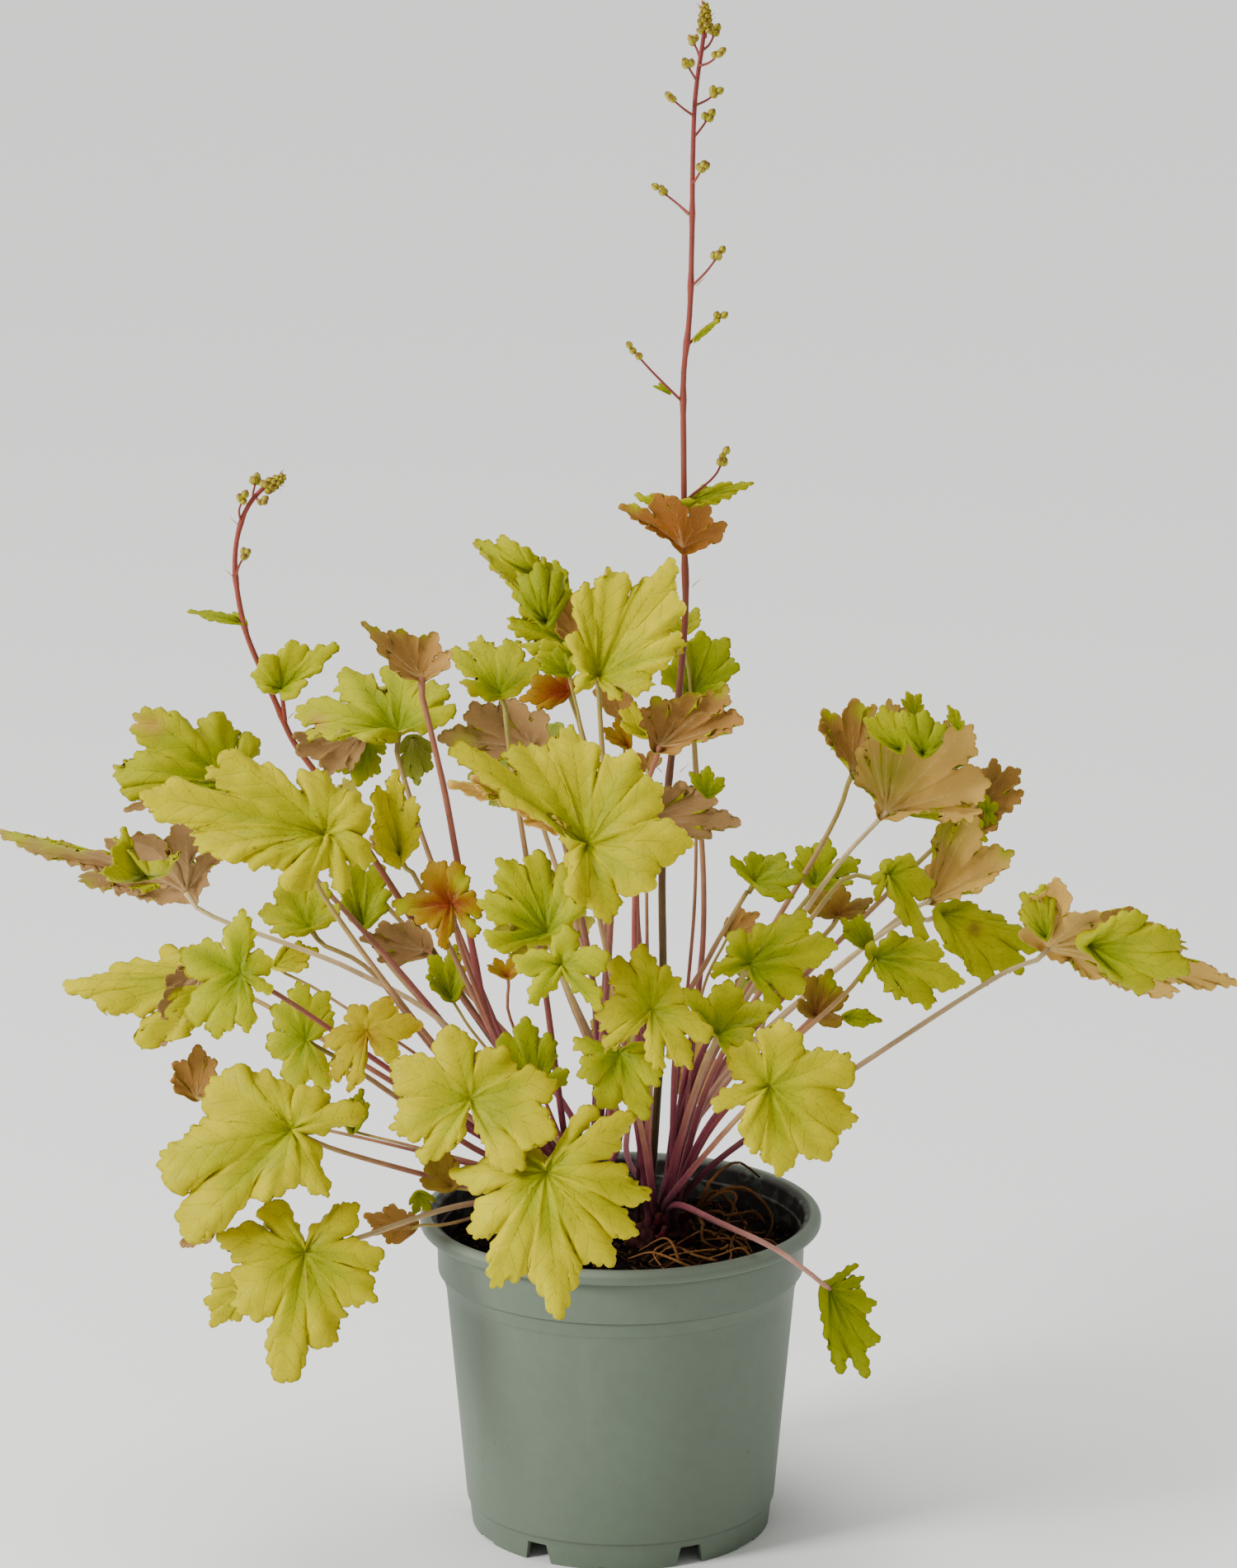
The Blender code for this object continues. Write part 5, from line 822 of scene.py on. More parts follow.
# folds, curls and small lobes that show between the leaves; node is the solid that each belongs to
bitRows = {
    "farLeftCurl": leafRow((176, 1060, 26), "top", "lime", 0.1,
        [(130, 1064, 30), (136, 1030, 20), (148, 1004, 12), (160, 1036, 18), (196, 1044, 20),
         (216, 1040, 20)], node="leafFarLeft"),
    "upperLeftTip": leafRow((196, 970, -50), "under", "mauve", 0.04,
        [(192, 984, -2), (151, 983, -2), (174, 964, 0)], node="leafUpperLeft"),
    "topLeftUnder": leafRow((436, 892, -40), "under", "mauve", 0.08,
        [(432, 926, 2), (396, 938, 2), (360, 914, 4), (356, 892, 6), (392, 884, 2)], node="leafTopLeft"),
    "topLeftGreen": leafRow((446, 900, -50), "top", "green", 0.06,
        [(410, 898, 2), (408, 934, 4), (434, 953, 2), (458, 938, 2), (468, 906, 0)], node="leafTopLeft"),
    "topLeftPale": leafRow((500, 896, -40), "under", "green", 0.06,
        [(484, 904, 0), (486, 938, 2), (506, 950, 4), (524, 932, 2), (522, 902, 0)], node="leafTopLeft"),
    "curlyTopArm": leafRow((664, 700, 2), "top", "lime", 0.12,
        [(640, 700, 2), (606, 676, 2), (579, 656, -2), (608, 650, 4), (636, 664, 6), (668, 684, 4)],
        node="leafCurlyTop"),
    "curlyTopCup": leafRow((662, 752, 6), "top", "green", 0.16,
        [(634, 732, 2), (630, 700, 4), (652, 684, 8), (680, 694, 6), (688, 728, 2)], node="leafCurlyTop"),
    "curlyTopUnder": leafRow((704, 776, 8), "under", "bronze", 0.08,
        [(680, 772, 2), (672, 746, 2), (690, 724, 0), (710, 742, 0)], node="leafCurlyTop"),
    "curlyTopLow": leafRow((702, 796, -4), "top", "lime", 0.08,
        [(694, 782, 0), (656, 778, 2), (650, 798, 4), (678, 814, 4), (700, 808, 2)], node="leafCurlyTop"),
    "centreLimeBit": leafRow((784, 892, 30), "top", "yellow", 0.06,
        [(758, 886, 2), (752, 862, 0), (768, 853, 0), (784, 868, 2)], node="leafCuppedBrown"),
    "brownRightTip": leafRow((858, 966, 30), "top", "green", 0.06,
        [(842, 954, 0), (837, 938, 0), (858, 931, -2), (878, 944, 0), (876, 958, 0)],
        node="leafBrownRight"),
    "centreUnder": leafRow((668, 1004, 76), "under", "peach", 0.12,
        [(652, 1006, 0), (604, 972, -4), (545, 950, -6), (582, 940, -2), (636, 956, 0), (664, 976, 2)],
        node="leafCentre"),
    "peachCurl": leafRow((1092, 908, -10), "top", "lime", 0.14,
        [(1060, 894, 4), (1048, 872, 4), (1070, 858, 4), (1096, 864, 8), (1104, 892, 6)], node="leafPeach"),
    "peachRoll": leafRow((1118, 912, -6), "top", "green", 0.16,
        [(1100, 896, 4), (1098, 866, 6), (1122, 862, 6), (1146, 880, 6), (1138, 908, 2)], node="leafPeach"),
    "peachTip": leafRow((1110, 868, -24), "top", "lime", 0.06,
        [(1094, 854, 0), (1100, 840, 0), (1116, 842, 0), (1120, 860, 0)], node="leafPeach"),
    "peachSideTip": leafRow((1162, 884, -26), "top", "lime", 0.06,
        [(1150, 874, 0), (1150, 856, 0), (1162, 862, 0), (1170, 878, 0)], node="leafPeach"),
    "bronzeGreen": leafRow((1196, 984, -80), "top", "green", 0.06,
        [(1184, 974, 0), (1196, 964, 0), (1211, 976, 0), (1210, 1000, 0), (1194, 1004, 0)],
        node="leafFarBronze"),
    "bronzeGreenLow": leafRow((1176, 1000, -78), "top", "lime", 0.06,
        [(1166, 988, 0), (1176, 982, 0), (1192, 996, 0), (1196, 1020, 0), (1176, 1026, 0)],
        node="leafFarBronze"),
    "farRightLobe": leafRow((1268, 1136, 18), "top", "lime", 0.1,
        [(1256, 1134, 0), (1238, 1112, 2), (1240, 1084, 2), (1264, 1074, 2), (1280, 1100, 2)],
        node="leafFarRight"),
    "farRightArm": leafRow((1318, 1144, 26), "top", "lime", 0.1,
        [(1340, 1176, 4), (1386, 1202, 2), (1440, 1178, 2), (1430, 1136, 4), (1380, 1106, 6),
         (1338, 1118, 6)], node="leafFarRight"),
    "rightSmallBud": leafRow((1024, 1232, 24), "top", "green", 0.05,
        [(1034, 1224, 0), (1052, 1225, 0), (1068, 1238, 0), (1048, 1246, 0), (1030, 1243, 0)],
        node="leafRightBronze"),
    "rightSmallLeaf": leafRow((1056, 1152, 34), "top", "green", 0.06,
        [(1042, 1150, 0), (1022, 1134, 0), (1022, 1116, 0), (1042, 1110, 0), (1058, 1128, 0)],
        node="leafRightMid"),
    "lowLeftBehind": leafRow((306, 1556, 62), "top", "yellow", 0.08,
        [(294, 1540, 0), (258, 1548, 0), (250, 1580, 0), (256, 1608, 2), (288, 1602, 2), (302, 1580, 2)],
        node="leafLowLeft"),
    "leftFrontUnder": leafRow((292, 1440, 54), "under", "mauve", 0.08,
        [(262, 1436, 0), (226, 1462, 0), (222, 1512, 2), (250, 1508, 2), (276, 1478, 0)],
        node="leafLeftFront"),
    "leftLongDroop": leafRow((252, 1176, -16), "under", "mauve", 0.1,
        [(250, 1206, 2), (226, 1240, 4), (198, 1266, 4), (192, 1224, 4), (202, 1186, 2), (228, 1168, 2)],
        node="leafLeftLong"),
    "leftUpperUnder": leafRow((276, 1162, 40), "under", "bronze", 0.06,
        [(264, 1154, 0), (242, 1166, 0), (244, 1186, 0), (268, 1182, 0)], node="leafLeftUpper"),
    "midBrownBit": leafRow((478, 1044, 14), "under", "mauve", 0.06,
        [(456, 1034, 0), (450, 1016, 0), (476, 1008, 0), (494, 1026, 0)], node="leafMidYellow"),
    "brownStemStrip": leafRow((822, 624, 6), "top", "lime", 0.04,
        [(806, 620, 0), (780, 608, 0), (770, 600, 0), (800, 600, 0), (836, 604, 0), (856, 612, 0),
         (840, 620, 0)], node="stemLeafBrown"),
    "stemNarrowLeaf": leafRow((842, 412, 2), "top", "lime", 0.02,
        [(846, 414, 0), (858, 404, 0), (872, 388, 0), (858, 394, 0), (846, 404, 0)], node="tall_stem"),
    "stemSmallBract": leafRow((812, 478, 2), "top", "green", 0.02,
        [(806, 476, 0), (792, 468, 0), (800, 464, 0), (810, 470, 0)], node="tall_stem"),
    "rimGreen": leafRow((508, 1446, 30), "top", "green", 0.06,
        [(526, 1452, 0), (522, 1470, 0), (502, 1472, 0), (496, 1456, 0)], node="crown_and_stalks"),
}


def lobePlaces(leaf):
    right, down, toward = leaf["joint"]
    joint = onSight(right, down, toward)
    return joint, [onSight(x, y, toward + ahead) - joint for x, y, ahead in leaf["lobes"]]


def upperNormal(leaf, tips):
    # the way that the blade's upper face looks
    normal = Vector()
    for first, second in zip(tips, tips[1:]):
        normal += first.cross(second)
    normal.normalize()
    if (normal.dot(viewer["place"].normalized()) > 0) != (leaf["shows"] == "top"):
        normal.negate()
    return normal


def sinuses(tips, openness):
    # the bottoms of the notches between lobes, the first one at the stalk
    spread = [math.degrees(one.angle(other)) for one, other in zip(tips, tips[1:])]
    if sum(spread) > leafShape["wrappedSpread"]:
        notches = [(tips[0] + tips[-1]) * (0.5 * leafShape["stalkSinus"])]
    else:
        notches = [sum(tips, Vector()) / len(tips) * -leafShape["stalkSinus"]]
    for one, other, apart in zip(tips, tips[1:], spread):
        share = max(leafShape["deepestSinus"], leafShape["closeSinus"] - leafShape["sinusLoss"] * apart)
        notches.append((one + other) * (0.5 * share * openness * leafShape["slit"]))
    return notches


def marginTable(tips, notches, width):
    # the smooth margin before its teeth: a place and an outward way for each lobe number plus share
    corners = []
    for number, tip in enumerate(tips):
        start, end = notches[number], notches[(number + 1) % len(notches)]
        middle = (start + end) * 0.5
        across = (end - start) * (0.5 * width)
        shoulder = middle + (tip - middle) * leafShape["lobeShoulder"]
        corners += [start, shoulder - across, tip, shoulder + across]
    corners = np.array([list(corner) for corner in corners])
    ease = np.full((len(corners), 1), leafShape["marginEase"])
    ease[::4] = leafShape["notchEase"]
    slopes = (np.roll(corners, -1, 0) - np.roll(corners, 1, 0)) * ease
    after, afterSlopes = np.roll(corners, -1, 0), np.roll(slopes, -1, 0)
    t = (np.arange(16) / 16)[None, :, None]
    loop = ((2 * t**3 - 3 * t**2 + 1) * corners[:, None] + (t**3 - 2 * t**2 + t) * slopes[:, None]
            + (3 * t**2 - 2 * t**3) * after[:, None] + (t**3 - t**2) * afterSlopes[:, None])
    loop = loop.reshape(len(tips), 64, 3)
    table, lengths = [], []
    for number in range(len(tips)):
        path = np.concatenate([loop[number], loop[(number + 1) % len(tips)][:1]])
        run = np.concatenate([[0.0], np.cumsum(np.linalg.norm(np.diff(path, axis=0), axis=1))])
        wanted = np.linspace(0.0, run[-1], 65)[:-1]
        table.append(np.stack([np.interp(wanted, run, path[:, axis]) for axis in range(3)], axis=1))
        lengths.append(run[-1] / mm)
    return np.concatenate(table), lengths


def toothReach(share, length, seed=0):
    # how far the toothed margin stands out of the smooth one, in mm, and how many teeth the lobe has
    teeth = max(3, 2 * round((length / leafShape["toothWidth"] - 1) / 2) + 1)
    place = share * teeth
    number = np.floor(place)
    uneven = 0.62 + 0.76 * np.abs(np.sin(number * 12.9898 + seed * 4.1414))
    reach = min(leafShape["toothReach"], 0.3 * length / teeth) * uneven
    out = reach * (np.abs(np.sin(math.pi * place)) ** 0.6 - 0.5)
    if length > leafShape["lobulesFrom"]:
        groups = 3 if length < leafShape["moreLobules"] else 5
        reach = min(leafShape["lobuleReach"], 0.062 * length)
        out = out + reach * (np.abs(np.sin(groups * math.pi * share)) ** 0.55 - 0.7)
    point = np.clip(1 - np.abs(place - number - 0.5) * 9, 0, 1) * leafShape["toothPoint"] * uneven
    return out + point, teeth


def zipRings(firstIds, firstShares, secondIds, secondShares):
    # triangles between two closed rings, walking along both
    faces = []
    one, two = 0, 0
    countOne, countTwo = len(firstIds), len(secondIds)
    while one < countOne or two < countTwo:
        nextOne = firstShares[one + 1] if one + 1 < countOne else 1.0 + firstShares[0]
        nextTwo = secondShares[two + 1] if two + 1 < countTwo else 1.0 + secondShares[0]
        here, there = firstIds[one % countOne], secondIds[two % countTwo]
        if two >= countTwo or (one < countOne and nextOne <= nextTwo):
            faces.append((here, there, firstIds[(one + 1) % countOne]))
            one += 1
        else:
            faces.append((here, there, secondIds[(two + 1) % countTwo]))
            two += 1
    return faces


def pointNormals(points, faces):
    a, b, c = (points[faces[:, corner]] for corner in range(3))
    ways = np.cross(b - a, c - a)
    normals = np.zeros_like(points)
    for corner in range(3):
        np.add.at(normals, faces[:, corner], ways)
    return normals / np.maximum(np.linalg.norm(normals, axis=1, keepdims=True), 1e-15)


def alongLoop(values, spot):
    # values of the margin's loop, 64 to a lobe, at each lobe number plus share
    closed = np.concatenate([values, values[:1]])
    spots = np.arange(len(closed)) / 64.0
    return np.stack([np.interp(spot, spots, closed[:, axis]) for axis in range(3)], axis=1)


def bladeGrid(count, lengths, longest):
    # rings of points from the joint to the margin: where each lies along the margin, its share of the way
    # out, the faces between them and the points of the margin itself
    spacing = leafShape["spacing"] * (1.0 if longest > 14 else 0.7)
    lobeEnds = np.concatenate([[0.0], np.cumsum(lengths)])
    rings = max(5, math.ceil(longest / spacing))
    shares, reaches, ids, faces = [], [], [], []
    total = 1
    for ring in range(1, rings + 1):
        reach = ring / rings
        if ring == rings:
            steps = [8 * toothReach(0.0, length)[1] for length in lengths]
            spot = np.concatenate([number + np.arange(each) / each for number, each in enumerate(steps)])
        else:
            steps = max(2 * count, math.ceil(lobeEnds[-1] * reach / spacing))
            spot = np.interp(np.arange(steps) * lobeEnds[-1] / steps, lobeEnds, np.arange(count + 1))
        shares.append(spot)
        reaches.append(np.full(len(spot), reach))
        ids.append(np.arange(total, total + len(spot)))
        total += len(spot)
    for ring in range(1, rings):
        faces += zipRings(ids[ring - 1], shares[ring - 1] / count, ids[ring], shares[ring] / count)
    first = ids[0]
    faces += [(0, first[spot], first[(spot + 1) % len(first)]) for spot in range(len(first))]
    return np.concatenate([[0.0], *shares]), np.concatenate([[0.0], *reaches]), np.array(faces), ids[-1]


def flatBlade(leaf):
    # the toothed blade before its waves, with each point's measures for relief, tint and veins
    joint, tipVectors = lobePlaces(leaf)
    normal = np.array(upperNormal(leaf, tipVectors))
    notches = sinuses(tipVectors, leaf.get("openness", 1.0))
    table, lengths = marginTable(tipVectors, notches, leaf.get("lobeWidth", leafShape["lobeWidth"]))
    tips = np.array([list(tip) for tip in tipVectors])
    count, tipReaches = len(tips), np.linalg.norm(tips, axis=1)
    longest = tipReaches.max() / mm
    outward = np.cross(np.roll(table, -1, 0) - np.roll(table, 1, 0), normal)
    outward /= np.maximum(np.linalg.norm(outward, axis=1, keepdims=True), 1e-12)
    if (outward * table).sum() < 0:
        outward = -outward
    spot, reach, faces, rim = bladeGrid(count, lengths, longest)
    lobe = np.minimum(spot.astype(int), count - 1)
    share = spot - lobe
    margin = alongLoop(table, spot)
    away = np.linalg.norm(margin, axis=1) / mm
    teeth = np.zeros(len(spot))
    for number, length in enumerate(lengths):
        mine = lobe == number
        teeth[mine] = toothReach(share[mine], length, number + longest)[0]
    teeth *= np.clip((reach - 0.72) / 0.28, 0, 1) ** 2 * smoothStep(away, 3.0, 14.0)
    flat = margin * reach[:, None] + alongLoop(outward, spot) * (teeth * mm)[:, None]
    ways = (tips / tipReaches[:, None])[lobe]
    run = (flat * ways).sum(axis=1)
    beside = np.linalg.norm(flat - ways * run[:, None], axis=1) / mm
    span = np.clip(tipReaches[lobe] / mm / leafShape["sideRibs"], *leafShape["ribSpan"])
    ribs = (run / mm - 1.2 * beside + 0.012 * beside**2) / span + np.where(share < 0.5, 0.0, 0.45)
    points = flat + normal * (longest * mm * leaf["swell"] * (4 * reach * (1 - reach)) ** 0.8)[:, None]
    normals = pointNormals(points, faces)
    if (normals * normal).sum() < 0:
        faces, normals = faces[:, ::-1], -normals
    widths = [(notches[(number + 1) % count] - notches[number]).length / mm for number in range(count)]
    return SimpleNamespace(
        joint=np.array(joint), count=count, longest=longest, widths=widths, spot=spot, reach=reach,
        lobe=lobe, share=share, beside=beside, ribs=ribs, span=span, toMargin=(1 - reach) * away,
        points=points, normals=normals, faces=faces, rim=rim)


def cloudField(points, scale, offset):
    return np.array([noise.noise(Vector(place) * scale + offset) for place in points])


def bladeRelief(leaf, blade, chance):
    # how far each point stands off the flat blade, in mm, with the clouds and ripples that its tint shares
    shape, curl = leafShape, leaf.get("curl", 1.0)
    reach, beside, toMargin = blade.reach, blade.beside, blade.toMargin
    # narrow lobes wave less than wide ones
    breadth = np.clip((np.array(blade.widths) / shape["wideLobe"]) ** 1.4, 0.06, 1.1)
    between = np.minimum(breadth, np.roll(breadth, 1))
    stations = np.arange(2 * blade.count + 1) / 2
    breadth = np.concatenate([np.stack([between, breadth], axis=1).ravel(), between[:1]])
    size = np.interp(blade.spot, stations, breadth) * min(1.1, blade.longest / 38.0)
    waves = max(3, round(shape["waves"] * blade.count))
    turn = 2 * math.pi * blade.spot / blade.count
    phases = chance.uniform(0, 2 * math.pi, 3)
    ruffle = np.sin(waves * turn + phases[0]) + 0.6 * np.sin((2 * waves + 1) * turn + phases[1])
    relief = shape["ruffle"] * curl * size * ruffle * reach**3
    # the sides of each lobe rise, one over its neighbour's, and its tip bends over
    sides = np.abs(2 * blade.share - 1)
    relief += shape["fold"] * size * sides**1.5 * reach**1.5
    lap = shape["overlap"] * (leaf["shows"] == "top") * size * np.sign(blade.share - 0.5)
    relief += lap * np.sin(math.pi * np.clip(sides, 0, 1)) * reach**2
    bends = chance.uniform(-0.5, 1.0, blade.count)[blade.lobe] * curl
    relief -= shape["droop"] * size * bends * (1 - sides) ** 1.5 * reach**4
    # grooves along the ribs, and the skin quilted between them
    relief -= shape["mainGroove"] * size * np.exp(-(beside / 1.2) ** 2) * smoothStep(toMargin, 0.5, 14.0)
    nearRib = np.abs((blade.ribs + 0.5) % 1.0 - 0.5) * blade.span * 0.64
    quiet = smoothStep(toMargin, 0.5, 6.0) * smoothStep(beside, 0.4, 2.0)
    relief -= shape["sideGroove"] * size * np.exp(-(nearRib / 0.8) ** 2) * quiet
    relief += shape["quilt"] * size * (0.5 - 0.5 * np.cos(2 * math.pi * blade.ribs)) * quiet
    offset = Vector(chance.uniform(-5, 5, 3))
    clouds = cloudField(blade.points, 52.0, offset)
    fine = cloudField(blade.points, 170.0, offset)
    drift = cloudField(blade.points, 19.0, -offset)
    drift -= drift[0]
    narrow = np.clip(min(blade.longest, 2 * min(blade.widths)) / 45.0, 0.1, 1.3)
    relief += shape["warp"] * narrow * curl * drift * reach
    relief += (shape["pucker"] * clouds + shape["finePucker"] * fine) * size * smoothStep(reach, 0.02, 0.3)
    return relief, clouds, np.sin(waves * turn + phases[2])


def bladeSkins(blade):
    # an upper and a lower skin, and the thin rim between them
    points, faces, total = blade.points, blade.faces, len(blade.points)
    edge = blade.reach**8
    thick = (leafShape["thickness"] * (1 - edge) + leafShape["edgeThickness"] * edge) * 0.5 * mm
    apart = pointNormals(points, faces) * thick[:, None]
    both = np.concatenate([points + apart + blade.joint, points - apart + blade.joint])
    edges = zip(blade.rim, np.roll(blade.rim, -1))
    rim = [(one, other, other + total, one + total) for one, other in edges]
    one, other = blade.rim[:2]
    rimWay = np.cross(both[other] - both[one], both[one + total] - both[one])
    if (rimWay * (both[one] - blade.joint)).sum() < 0:
        rim = [face[::-1] for face in rim]
    allFaces = [tuple(face) for face in faces] + [tuple(face[::-1] + total) for face in faces] + rim
    return both, allFaces, [0] * len(faces) + [1] * len(faces) + [0] * len(rim)


def bladeTints(leaf, blade, clouds, ripples, chance):
    # from the heart's tone to the rim's, which is the leaf's own colour, and lighter where the puckers
    # raise the blade, a painted highlight; with blots of other tones and brown tooth tips
    tones = leafTones[leaf["tone"]]
    topTones = tones if leaf["shows"] == "top" else leafTones["lime"]
    # level also rises with the clouds that raise the puckers, so the raised parts are painted lighter, a
    # painted highlight
    level = smoothStep(blade.reach + 0.35 * clouds + 0.12 * ripples, 0.05, 0.95)[:, None]
    change = chance.uniform(0.94, 1.06)
    topTint = blend(topTones["heart"], topTones["rim"], level) * change
    backTint = tones["back"] * (0.92 + 0.16 * level) * change
    right, down = pictureSpots(blade.points + blade.joint)
    for x, y, spread, blotTone in leaf.get("blots", []):
        share = np.exp(-(((right - x) ** 2 + (down - y) ** 2) / spread**2))[:, None]
        topTint = blend(topTint, leafTones[blotTone]["rim"], share)
        backTint = blend(backTint, leafTones[blotTone]["back"], share)
    tipMask = np.zeros((len(blade.points), 1))
    tipMask[blade.rim[4::8]] = 0.55
    tipMask[blade.rim] = np.maximum(tipMask[blade.rim], 0.12)
    return np.concatenate([blend(topTint, leafTones["toothTip"], tipMask), backTint])


def makeLeaf(name, pieceName, leaf, nodes):
    chance = np.random.default_rng(sum(ord(letter) * (place + 3) for place, letter in enumerate(name)))
    blade = flatBlade(leaf)
    relief, clouds, ripples = bladeRelief(leaf, blade, chance)
    blade.points = blade.points + blade.normals * (relief * mm)[:, None]
    points, faces, slots = bladeSkins(blade)
    data = newData()
    addPart(data, points, faces, bladeTints(leaf, blade, clouds, ripples, chance))
    data["slots"] = slots
    measures = np.stack([blade.beside, blade.ribs, blade.toMargin], axis=1)
    makePiece(pieceName, data, [finishes["leafTop"], finishes["leafBack"]], nodes,
              np.concatenate([measures, measures]))


stalks = {
    "samples": 30, "sides": 8, "root": 8.0, "footRadius": 1.55, "tipRadius": 1.0, "thinShare": 0.62,
    "neckReach": 5.0, "neckDrop": 3.0, "dipShare": 0.5, "upperSide": 0.25, "sheath": 0.55, "neck": 0.35,
    "hairs": 34, "hairLength": 1.3,
}
# tones from the crown to the blade
stalkTones = {
    "plain": [(0.0, tone(40, 6, 16)), (0.12, tone(86, 20, 42)), (0.32, tone(128, 54, 66)),
              (0.54, tone(150, 92, 72)), (0.8, tone(160, 126, 76)), (1.0, tone(158, 144, 58))],
    "red": [(0.0, tone(42, 8, 18)), (0.2, tone(100, 30, 46)), (0.6, tone(140, 68, 62)),
            (1.0, tone(148, 96, 62))],
    "pale": [(0.0, tone(44, 10, 20)), (0.12, tone(92, 30, 48)), (0.3, tone(134, 76, 74)),
             (0.55, tone(174, 144, 102)), (1.0, tone(192, 170, 118))],
    "pink": [(0.0, tone(70, 20, 34)), (0.2, tone(128, 56, 70)), (0.45, tone(166, 104, 102)),
             (0.75, tone(192, 142, 122)), (1.0, tone(184, 136, 104))],
}
crown = {
    "place": (15.0, -4.0), "radius": 15.0, "sidePlace": (-15.0, 12.0), "sideRadius": 12.0, "top": 141.0,
    "foot": 106.0, "wide": 0.86, "high": 17.0, "stubs": 17, "stubLength": (7, 15),
    "stubRadius": (2.2, 3.2), "joinRadius": 6.0, "joinHeight": 128.0,
    "bark": tone(30, 12, 14), "barkLight": tone(66, 34, 30), "stubTip": tone(74, 18, 30),
}
goldenTurn = 2.39996  # radians from one stub or bud to the next


def crownStart(leaf):
    # the stalk leaves the head of the crown nearer to its side
    nearest = onSight(*leaf["via"][-1])
    place, radius = crown["place"], crown["radius"]
    if nearest.x < 0.0:
        place, radius = crown["sidePlace"], crown["sideRadius"]
    middle = Vector((place[0] * mm, place[1] * mm, crown["top"] * mm))
    outward = nearest - middle
    outward.z = 0.0
    outward.normalize()
    return middle + outward * (radius * 0.55 * mm)


def stalkRoute(leaf):
    start = crownStart(leaf)
    deep = start - Vector((0.0, 0.0, stalks["root"] * mm))
    joint, tips = lobePlaces(leaf)
    normal = upperNormal(leaf, tips)
    vias = [onSight(*place) for place in reversed(leaf["via"])]
    away = (vias[-1] - joint).normalized()
    side = normal if away.dot(normal) > stalks["upperSide"] else -normal
    dip = max(0.0, side.dot(tips[0]), side.dot(tips[-1])) * stalks["dipShare"]
    bend = away * (stalks["neckReach"] * mm) + side * (stalks["neckDrop"] * mm + dip)
    end = joint + side * (0.1 * mm)
    return smoothRoute([deep, start, *vias, end + bend, end], stalks["samples"])


def makeStalks():
    data = newData()
    for number, (name, leaf) in enumerate({**leafRows, **youngRows}.items()):
        size = leaf.get("foot", stalks["thinShare"] if name in youngRows else 1.0)
        route = stalkRoute(leaf)
        shares = np.linspace(0.0, 1.0, len(route))
        radii = (stalks["footRadius"] + (stalks["tipRadius"] - stalks["footRadius"]) * shares) * size
        radii += stalks["sheath"] * size * np.exp(-(shares / 0.09) ** 2)
        radii += stalks["neck"] * size * smoothStep(shares, 0.95, 1.0)
        chance = random.Random(number)
        stops = stalkTones[leaf.get("stalk", "plain")]
        tints = rampTints(stops, np.clip(shares + chance.uniform(-0.06, 0.08), 0, 1))
        tints = tints * chance.uniform(0.9, 1.08)
        addTube(data, route, radii, stalks["sides"], tints, wobble=0.05, seed=number)
        count = int(stalks["hairs"] * size)
        addHairs(data, route[3:], radii[3:], count, stalks["hairLength"], number + 200)
    makePiece("leafStalks", data, [finishes["stalk"]], ["crown_and_stalks"])


def lumpPoints(middle, radii, chance, detail=2, rough=0.15):
    shape = bmesh.new()
    bmesh.ops.create_icosphere(shape, subdivisions=detail, radius=1.0)
    faces = [tuple(corner.index for corner in face.verts) for face in shape.faces]
    points = np.array([list(corner.co) for corner in shape.verts])
    shape.free()
    shift = Vector(chance.uniform(-9, 9, 3))
    swell = np.array([noise.noise(Vector(point) * 1.7 + shift) for point in points])
    points = points * (1 + 2 * rough * swell)[:, None]
    return points * np.array(radii) * mm + np.array(middle), faces


def addStub(data, middle, radius, number, chance):
    # a short sheathed bud or broken stalk on the head
    turn = number * goldenTurn + chance.uniform(-0.2, 0.2)
    out = np.array([math.cos(turn), math.sin(turn), 0.0])
    lift = chance.uniform(0.5, 1.3)
    foot = middle + out * radius * chance.uniform(0.3, 0.75) * mm
    foot = foot + np.array([0, 0, chance.uniform(2, 13)]) * mm
    length = chance.uniform(*crown["stubLength"])
    tip = foot + (out * chance.uniform(0.5, 1.0) + np.array([0, 0, lift])) * length * 0.7 * mm
    route = smoothRoute([foot, (foot + tip) / 2 + out * 1.2 * mm, tip], 8)
    stops = [(0, crown["bark"]), (0.6, crown["stubTip"]), (1, crown["barkLight"])]
    tints = rampTints(stops, np.linspace(0, 1, 8))
    radii = np.linspace(chance.uniform(*crown["stubRadius"]), 1.3, 8)
    addTube(data, route, radii, 7, tints, flat=0.6, wobble=0.16, seed=number)


def makeCrown():
    data = newData()
    chance = np.random.default_rng(11)
    for (x, y), radius in ((crown["place"], crown["radius"]), (crown["sidePlace"], crown["sideRadius"])):
        middle = np.array([x, y, (crown["top"] + crown["foot"]) * 0.5 - 2.0]) * mm
        wide = radius * crown["wide"]
        points, faces = lumpPoints(middle, (wide, wide, crown["high"]), chance, 4, 0.22)
        rough = np.array([noise.noise(Vector(point) * 420.0) for point in points])
        points = points + (points - middle) * (0.10 * rough)[:, None]
        level = smoothStep(rough, -0.2, 0.5)[:, None]
        addPart(data, points, faces, blend(crown["bark"], crown["barkLight"], level))
        for number in range(crown["stubs"]):
            addStub(data, middle, radius, number, chance)
    # the rootstock that joins the two heads
    ends = [np.array([*crown[key], crown["joinHeight"]]) * mm for key in ("place", "sidePlace")]
    bend = (ends[0] + ends[1]) / 2 + np.array([0, 0, 1.5]) * mm
    addTube(data, smoothRoute([ends[0], bend, ends[1]], 10), crown["joinRadius"], 12, crown["bark"],
            wobble=0.14, seed=5)
    makePiece("woodyCrown", data, [finishes["bark"]], ["crown_and_stalks"])


